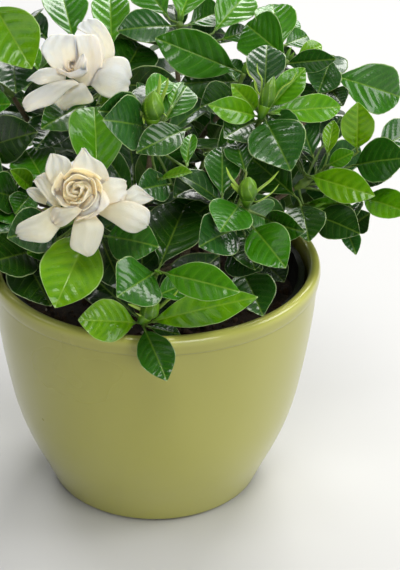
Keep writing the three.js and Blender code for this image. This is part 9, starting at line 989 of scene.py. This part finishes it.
# ---- flowers -----------------------------------------------------------------
def petal(B, net, thickness, heart, seed):
    net = np.array(net, float)
    rs = np.random.RandomState(5000 + seed)
    nt, nv = (36, 28) if not heart else (23, 40)
    s, v = np.linspace(0, 1, nt), np.linspace(0, 1, nv)
    G = catmull(net, s)                                   # nt x cols x 3
    grid = np.stack([catmull(G[i], v) for i in range(nt)])
    # rounded corners at the tip: the end rows draw in towards the petal's middle line
    vc = 2 * v - 1
    if not heart:
        mid = catmull(np.swapaxes(grid, 0, 1), np.array([0.5]))[0]
        e = smoothstep(s, 0.86, 1.0)[:, None]
        pull = 0.13 * e ** 1.5 * (np.abs(vc)[None] ** 2)
        grid = grid * (1 - pull[..., None]) + mid[:, None] * pull[..., None]
        back = (grid[-2] - grid[-1])
        step = np.linalg.norm(net[-1, 1] - net[0, 1]) * 0.018
        grid = grid + unit(back)[None] * (e * (np.abs(vc)[None] ** 3) * step)[..., None]
    gu, gv = np.gradient(grid, axis=0), np.gradient(grid, axis=1)
    n = unit(np.cross(gu, gv))
    f = [value_noise(seed * 11 + i) for i in range(4)]
    rim = np.abs(vc)[None] ** 3
    d = 0.55 * f[0](s * 4)[:, None] * rim * smoothstep(s, .2, .6)[:, None]
    d = d + 0.35 * smoothstep(s, .75, 1.0)[:, None] * f[1](v * 6)[None]
    d = d + 0.22 * np.sin(vc[None] * 9 + f[2](s * 2)[:, None] * 2) * smoothstep(s, .1, .5)[:, None]
    if heart:
        d = d * 0.45 + 0.30 * smoothstep(s, .7, 1.0)[:, None] * f[3](v * 9)[None]
    grid = grid + n * d[..., None]
    gu, gv = np.gradient(grid, axis=0), np.gradient(grid, axis=1)
    n = unit(np.cross(gu, gv))
    edge = np.maximum(smoothstep(np.abs(vc), .93, 1)[None] * np.ones((nt, 1)), smoothstep(s, .955, 1)[:, None] * np.ones((1, nv)))
    th = thickness * (1 - 0.55 * edge)
    one = np.ones((nt, nv))
    A = np.stack([s[:, None] * one, vc[None] * one, one * (1.0 if heart else 0.0)], -1)
    E = np.stack([edge, one * 0, one * (seed * 1.7)], -1)
    B.sheet(grid + n * th[..., None] / 2, grid - n * th[..., None] / 2, 0, A, E, np.stack([one] * 3, -1))


for name, centre, facing, twig_end, petals in FLOWERS:
    c, ax, te = np.array(centre), unit(np.array(facing)), np.array(twig_end)
    B = Build()
    for k, (heart, net) in enumerate(petals):
        petal(B, net, 0.75, heart, k + (0 if name == "flower_1" else 40))
    # the small crumpled petals packed into the bottom of the heart
    hearts = [np.array(net, float) for heart, net in petals if heart]
    lo, hi = (np.mean([q[k].mean(0) for q in hearts], 0) for k in (0, -1))
    rise = (hi - lo) @ ax
    half = [(q[0] + q[-1]) / 2 - lo for q in hearts]
    wide = sorted(np.linalg.norm(q - (q @ ax)[:, None] * ax, axis=1).mean() for q in half)
    R = 0.86 * wide[-2]
    e1 = unit(np.cross(ax, [0, 0, 1.0])); e2 = np.cross(ax, e1)
    rr, th = np.linspace(0.02, 1, 30), np.linspace(0, 2 * math.pi, 110, endpoint=False)
    turn = (th[None] / (2 * math.pi) * 3 + 2.1 * rr[:, None] ** 0.8 + 0.22 * np.sin(2 * th + 5 * rr[:, None]) + 0.15 * np.sin(5 * th - 4 * rr[:, None])) % 1.0
    fold_h = smoothstep(turn, 0.0, 0.80) * (1 - smoothstep(turn, 0.86, 1.0))
    up = 0.42 * rise + 1.6 * (1 - rr[:, None] ** 2) + 1.7 * fold_h * smoothstep(rr, 0.02, 0.3)[:, None] - 1.5 * smoothstep(rr, .9, 1)[:, None]
    flat = lambda r_, z_: lo + (r_ * R)[..., None] * (np.cos(th)[None, :, None] * e1 + np.sin(th)[None, :, None] * e2) + z_[..., None] * ax
    G = np.concatenate([flat(rr[:, None] + 0 * turn, up), flat(rr[::-1, None] * 0.97 + 0 * turn, up.min() - 1.2 + 0 * turn)])
    na = len(th)
    ids = np.arange(G.shape[0] * na).reshape(-1, na); nx = np.roll(ids, -1, 1)
    A = np.stack([np.concatenate([0.35 + 0.5 * fold_h, 0 * fold_h + .2]), np.tile(np.sin(th), (2 * len(rr), 1)), np.ones((2 * len(rr), na))], -1)
    E = np.stack([np.concatenate([smoothstep(turn, .74, .82) * (1 - smoothstep(turn, .86, .92)), 0 * fold_h]), 0 * A[..., 0], 0 * A[..., 0] + 2.3], -1)
    pts = np.concatenate([G.reshape(-1, 3), [G[0].mean(0), G[-1].mean(0)]])
    A2 = np.concatenate([A.reshape(-1, 3), [[.5, 0, 1], [.2, 0, 1]]]); E2 = np.concatenate([E.reshape(-1, 3), [[0, 0, 2.3]] * 2])
    base = B.n
    B.add(pts, np.stack([ids[:-1], ids[1:], nx[1:], nx[:-1]], -1).reshape(-1, 4), 0, A2, E2)
    k = G.shape[0] * na
    cap = np.concatenate([np.stack([np.full(na, k), ids[0], nx[0]], -1), np.stack([np.full(na, k + 1), nx[-1], ids[-1]], -1)])
    B.f.append(np.concatenate([cap + base, np.full((len(cap), 1), -1)], 1)); B.m.append(np.full(len(cap), 0))
    t = np.linspace(0, 1, 14)
    B.tube(c - ax * 21 + ax * (17.5 * t)[:, None], np.interp(t, [0, .55, 1], [2.2, 2.5, 4.4]), 20, 0, b=[0, 0, 3])
    show(B, name + "_corolla",
         [PETAL_1 if name == "flower_1" else PETAL_2])
    B = Build()
    foot = c - ax * 21.6
    t = np.linspace(0, 1, 12)
    cup = foot - ax * 6.2
    B.tube(cup + (foot - cup) * t[:, None], np.interp(t, [0, .3, 1], [1.2, 2.7, 3.0]), 18, 0)
    B.tube(te + (cup - te) * t[:, None], np.full(12, 1.15), 10, 0)
    u = unit(np.cross(ax, [0, 0, 1.0])); w = np.cross(ax, u)
    for k in range(6):
        an = 2 * math.pi * k / 6 + .3
        o = math.cos(an) * u + math.sin(an) * w
        s = np.linspace(0, 1, 12)
        q = foot + o * (2.7 + 2.4 * s ** 1.5)[:, None] + ax * (-0.4 + 12.5 * s)[:, None]
        B.tube(q, np.interp(s, [0, .2, 1], [.9, .95, .15]), 8, 0, squash=0.45, up=np.cross(ax, o))
    show(B, name + "_calyx", [BUD])

# ---- buds --------------------------------------------------------------------
for name, te, b, tip, r, sepals in BUDS:
    te, b, tip = np.array(te), np.array(b), np.array(tip)
    ax = unit(tip - b); L = np.linalg.norm(tip - b)
    u = unit(np.cross(ax, [0, 0, 1.0]) if abs(ax[2]) < .95 else np.cross(ax, [1.0, 0, 0])); w = np.cross(ax, u)
    B = Build()
    nt, ns = 44, 60
    s = np.linspace(0, 1, nt)
    rad = r * pchip([0, .06, .2, .45, .7, .88, .97, 1], [.36, .44, .74, 1.0, .82, .44, .16, .02], s)
    an = np.linspace(0, 2 * math.pi, ns, endpoint=False)
    # the furled petals twist round the bud, each lapping over the next
    lap = ((an[None] / (2 * math.pi) * 6 + s[:, None] * 1.35) % 1.0)
    rr = rad[:, None] * (1 + 0.10 * (lap - 0.5) * smoothstep(s, .12, .4)[:, None])
    ring = (b + ax * (s * L)[:, None])[:, None] + rr[..., None] * (np.cos(an)[None, :, None] * u + np.sin(an)[None, :, None] * w)
    ids = np.arange(nt * ns).reshape(nt, ns); nx = np.roll(ids, -1, 1)
    q = np.stack([ids[:-1], nx[:-1], nx[1:], ids[1:]], -1).reshape(-1, 4)
    a = np.stack([np.repeat(s, ns), np.tile(an, nt), (smoothstep(lap, .86, 1.0) * .8).reshape(-1)], -1)
    pts = np.concatenate([ring.reshape(-1, 3), [b - ax * .2, tip + ax * .3]])
    a = np.concatenate([a, [[0, 0, 0], [1, 0, 0]]])
    base = B.n
    B.add(pts, q, 0, a)
    cap = np.concatenate([np.stack([np.full(ns, nt * ns), nx[0], ids[0]], -1), np.stack([np.full(ns, nt * ns + 1), ids[-1], nx[-1]], -1)])
    B.f.append(np.concatenate([cap + base, np.full((len(cap), 1), -1)], 1)); B.m.append(np.full(len(cap), 0))
    # calyx tube and stalk
    t = np.linspace(0, 1, 14)
    B.tube(b - ax * 3.0 + ax * (t * (3.0 + L * .2))[:, None], r * np.interp(t, [0, .4, 1], [.34, .56, .80]), 24, 0)
    B.tube(te + (b - ax * 2.4 - te) * t[:, None], np.full(14, 1.1), 10, 0)
    for k, (f0, f1) in enumerate(sepals):
        f0, f1 = np.array(f0), np.array(f1)
        o = unit(f0 - b - ax * ((f0 - b) @ ax))
        t = np.linspace(0, 1, 16)
        mid = (f0 + f1) / 2 + o * 0.10 * np.linalg.norm(f1 - f0)
        q = catmull([b + ax * 1.0 + o * r * .55, f0, mid, f1], t)
        B.tube(q, np.interp(t, [0, .25, .8, 1], [1.05, 1.2, .8, .15]), 8, 0, squash=0.45, up=np.cross(unit(f1 - f0), o), b=[1, 0, 0])
    show(B, name, [BUD])

# ---- potting mix -------------------------------------------------------------
B = Build()
nr, na = 40, 96
rr = np.concatenate([np.linspace(0.6, 82.5, nr), [84.0]])
an = np.linspace(0, 2 * math.pi, na, endpoint=False)
nz = [value_noise(900 + i) for i in range(8)]
X, Y = rr[:, None] * np.cos(an), rr[:, None] * np.sin(an)
Z = np.interp(rr, [0, 60, 84], [129.2, 128.0, 126.0])[:, None] + 0 * X
for i, sc in enumerate((13.0, 7.0, 3.6, 2.1)):
    Z = Z + (1.1, .8, .7, .45)[i] * nz[2 * i](X / sc + 40) * nz[2 * i + 1](Y / sc + 40)
rows = [np.stack([X[i], Y[i], Z[i]], -1) for i in range(len(rr))][::-1]
rows = [np.stack([r * np.cos(an), r * np.sin(an), np.full(na, z)], -1) for r, z in ((54.6, 11.0), (62, 40), (70, 70), (77, 98), (83.4, 122))] + rows
G = np.stack(rows)
ids = np.arange(len(rows) * na).reshape(len(rows), na); nx = np.roll(ids, -1, 1)
pts = np.concatenate([G.reshape(-1, 3), [[0, 0, 11.0], [0, 0, float(Z[0].mean())]]])
k = len(rows) * na
B.add(pts, np.stack([ids[:-1], nx[:-1], nx[1:], ids[1:]], -1).reshape(-1, 4))
cap = np.concatenate([np.stack([np.full(na, k), nx[0], ids[0]], -1), np.stack([np.full(na, k + 1), ids[-1], nx[-1]], -1)])
B.f.append(np.concatenate([cap, np.full((len(cap), 1), -1)], 1)); B.m.append(np.full(len(cap), 0))
rs = np.random.RandomState(77)
PHI = (1 + 5 ** .5) / 2
ICO_V = unit(np.array([[-1, PHI, 0], [1, PHI, 0], [-1, -PHI, 0], [1, -PHI, 0], [0, -1, PHI], [0, 1, PHI], [0, -1, -PHI], [0, 1, -PHI], [PHI, 0, -1], [PHI, 0, 1], [-PHI, 0, -1], [-PHI, 0, 1]]))
ICO_F = np.array([[0, 11, 5], [0, 5, 1], [0, 1, 7], [0, 7, 10], [0, 10, 11], [1, 5, 9], [5, 11, 4], [11, 10, 2], [10, 7, 6], [7, 1, 8], [3, 9, 4], [3, 4, 2], [3, 2, 6], [3, 6, 8], [3, 8, 9], [4, 9, 5], [2, 4, 11], [6, 2, 10], [8, 6, 7], [9, 8, 1]])


def refine(V, F):
    V, out, seen = list(map(tuple, V)), [], {}

    def mid(i, j):
        key = (min(i, j), max(i, j))
        if key not in seen:
            seen[key] = len(V)
            V.append(tuple(unit((np.array(V[i]) + np.array(V[j])) / 2)))
        return seen[key]
    for a, b, c in F:
        x, y, z = mid(a, b), mid(b, c), mid(c, a)
        out += [[a, x, z], [b, y, x], [c, z, y], [x, y, z]]
    return np.array(V), np.array(out)


ICO2_V, ICO2_F = refine(ICO_V, ICO_F)
for i in range(620):
    r, th = 82 * math.sqrt(rs.rand()), rs.rand() * 2 * math.pi
    size = rs.choice([0.9, 1.4, 2.0, 2.8], p=[.35, .35, .2, .1])
    r = min(r, 83 - size)
    z = float(np.interp(r, [0, 60, 84], [129.2, 128.0, 126.0]))
    scale = size * rs.uniform(.6, 1.3, 3) * np.array([1, 1, .75])
    A3 = rs.uniform(-1, 1, (3, 3)); Q, _ = np.linalg.qr(A3)
    if np.linalg.det(Q) < 0:
        Q[:, 0] *= -1
    V = (ICO2_V * (1 + rs.uniform(-.2, .2, (len(ICO2_V), 1))) * scale) @ Q.T + [r * math.cos(th), r * math.sin(th), z + size * .25]
    base = B.n
    perlite = 1.0 if rs.rand() < 0.05 and size < 2 else 0.0
    F4 = np.concatenate([ICO2_F + base, np.full((len(ICO2_F), 1), -1)], 1)
    B.v.append(V); B.f.append(F4); B.m.append(np.zeros(len(F4), int))
    for arr, val in ((B.a, [0, 0, 0]), (B.b, [rs.rand(), perlite, 0]), (B.c, [0, 0, 0])):
        arr.append(np.broadcast_to(np.array(val, float), (len(V), 3)))
    B.n += len(V)
show(B, "potting_mix", [MIX])

# ---- planter -----------------------------------------------------------------
def lathe(B, prof, sides, mat=0):
    "a closed turned body: the profile goes from the axis, out, up, over, down inside and back to the axis"
    prof = np.array(prof, float)
    an = np.linspace(0, 2 * math.pi, sides, endpoint=False)
    ring = prof[1:-1]
    G = np.stack([ring[:, 0, None] * np.cos(an), ring[:, 0, None] * np.sin(an), ring[:, 1, None] + 0 * an], -1)
    n = len(ring)
    ids = np.arange(n * sides).reshape(n, sides); nx = np.roll(ids, -1, 1)
    base = B.n
    pts = np.concatenate([G.reshape(-1, 3), [[0, 0, prof[0, 1]], [0, 0, prof[-1, 1]]]])
    B.add(pts, np.stack([ids[:-1], nx[:-1], nx[1:], ids[1:]], -1).reshape(-1, 4), mat)
    k = n * sides
    cap = np.concatenate([np.stack([np.full(sides, k), nx[0], ids[0]], -1), np.stack([np.full(sides, k + 1), ids[-1], nx[-1]], -1)])
    B.f.append(np.concatenate([cap + base, np.full((len(cap), 1), -1)], 1)); B.m.append(np.full(len(cap), mat))


def smooth_profile(pts, n):
    pts = np.array(pts, float)
    return [list(p) for p in catmull(pts, np.linspace(0, 1, n))]


outer = smooth_profile([[66.2, 1.6], [67.9, 5.8], [72.9, 17.4], [81.1, 36.2], [88.0, 57.9], [93.3, 86.9], [97.0, 115.8], [98.55, 137.4]], 90)
lip = smooth_profile([[98.6, 138.2], [99.5, 139.3], [100.0, 142.6], [100.0, 145.4], [99.3, 147.8], [97.6, 149.1], [95.6, 149.1], [93.9, 148.2], [93.0, 145.8]], 40)
inner = smooth_profile([[92.6, 141], [92.2, 136], [90.4, 115.8], [86.6, 86.9], [81.2, 57.9], [74.2, 36.2], [66.2, 17.4], [60.5, 8.6]], 50)
foot = [[0, .9], [58, .9], [60, .15], [62.2, 0.0], [64.6, .35]]
B = Build()
lathe(B, foot + outer + [[98.5, 137.9]] + lip + inner + [[56, 8.0], [0, 8.0]], 192)
show(B, "planter", [GLAZE])

# the nursery pot keeps its modelled shape and gets a better surface
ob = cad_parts["grower_pot"]
for s in ob.material_slots:
    s.material = POT

# ---- floor, light and camera -------------------------------------------------
def plain(name, col, rough):
    N = Nodes(name)
    here = N.place()
    c = N.mix(N.range(N.noise(here, 2.0, 2.0), 0.3, 0.7), col, tuple(min(1, k * 1.01) for k in col[:3]) + (1,))
    return N.set(Base_Color=c, Roughness=rough)


me = bpy.data.meshes.new("floor")
FR, FN = 1.9, 128
me.from_pydata([(FR * math.cos(2 * math.pi * k / FN), FR * math.sin(2 * math.pi * k / FN), 0) for k in range(FN)], [], [tuple(range(FN))])
floor = bpy.data.objects.new("floor", me)
me.materials.append(plain("pale_floor", FLOOR_COLOUR, 0.6))
bpy.context.scene.collection.objects.link(floor)
floor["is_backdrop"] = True

world = bpy.data.worlds.new("studio")
bpy.context.scene.world = world
world.use_nodes = True
world.node_tree.nodes["Background"].inputs[0].default_value = (0.97, 0.97, 0.965, 1)
# the room beyond the floor is pale where it is seen, and dim as a light, so that shade stays deep
W_, path = world.node_tree, world.node_tree.nodes.new("ShaderNodeLightPath")
seen = W_.nodes.new("ShaderNodeMath")
seen.operation = "MULTIPLY_ADD"
W_.links.new(path.outputs["Is Camera Ray"], seen.inputs[0])
seen.inputs[1].default_value, seen.inputs[2].default_value = 0.86, WORLD_STRENGTH
W_.links.new(seen.outputs[0], W_.nodes["Background"].inputs[1])


def area(name, loc, target, size, power, colour=(1, 1, 1)):
    li = bpy.data.lights.new(name, "AREA")
    li.shape = "RECTANGLE"
    li.size, li.size_y = size
    li.energy = power
    li.color = colour
    ob = bpy.data.objects.new(name, li)
    ob.location = loc
    ob.rotation_euler = (Vector(target) - Vector(loc)).to_track_quat("-Z", "Y").to_euler()
    bpy.context.scene.collection.objects.link(ob)


for L_ in LIGHTS:
    area(*L_)

cam = bpy.data.cameras.new("camera")
cam.sensor_fit = "AUTO"
cam.sensor_width = 36
cam.lens = 1609.924 / 570 * 36
cam.clip_start, cam.clip_end = 0.05, 50
co = bpy.data.objects.new("camera", cam)
right = Vector((0.99961985, -0.02423026, 0.01315472))
up_ = Vector((0.00009384, 0.48011119, 0.87720764))
back = Vector((-0.0275707, -0.87687293, 0.47993095))
M4 = Matrix((right, up_, back)).transposed().to_4x4()
M4.translation = Vector((0, -0.86462577, 0.60241645))
co.matrix_world = M4
bpy.context.scene.collection.objects.link(co)
bpy.context.scene.camera = co
bpy.context.scene.view_settings.view_transform = "Standard"

plainly = lambda b: [[float(x) for x in p] for p in b]
{"cad": plainly(CAD_BOX), "visual": plainly(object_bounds())}
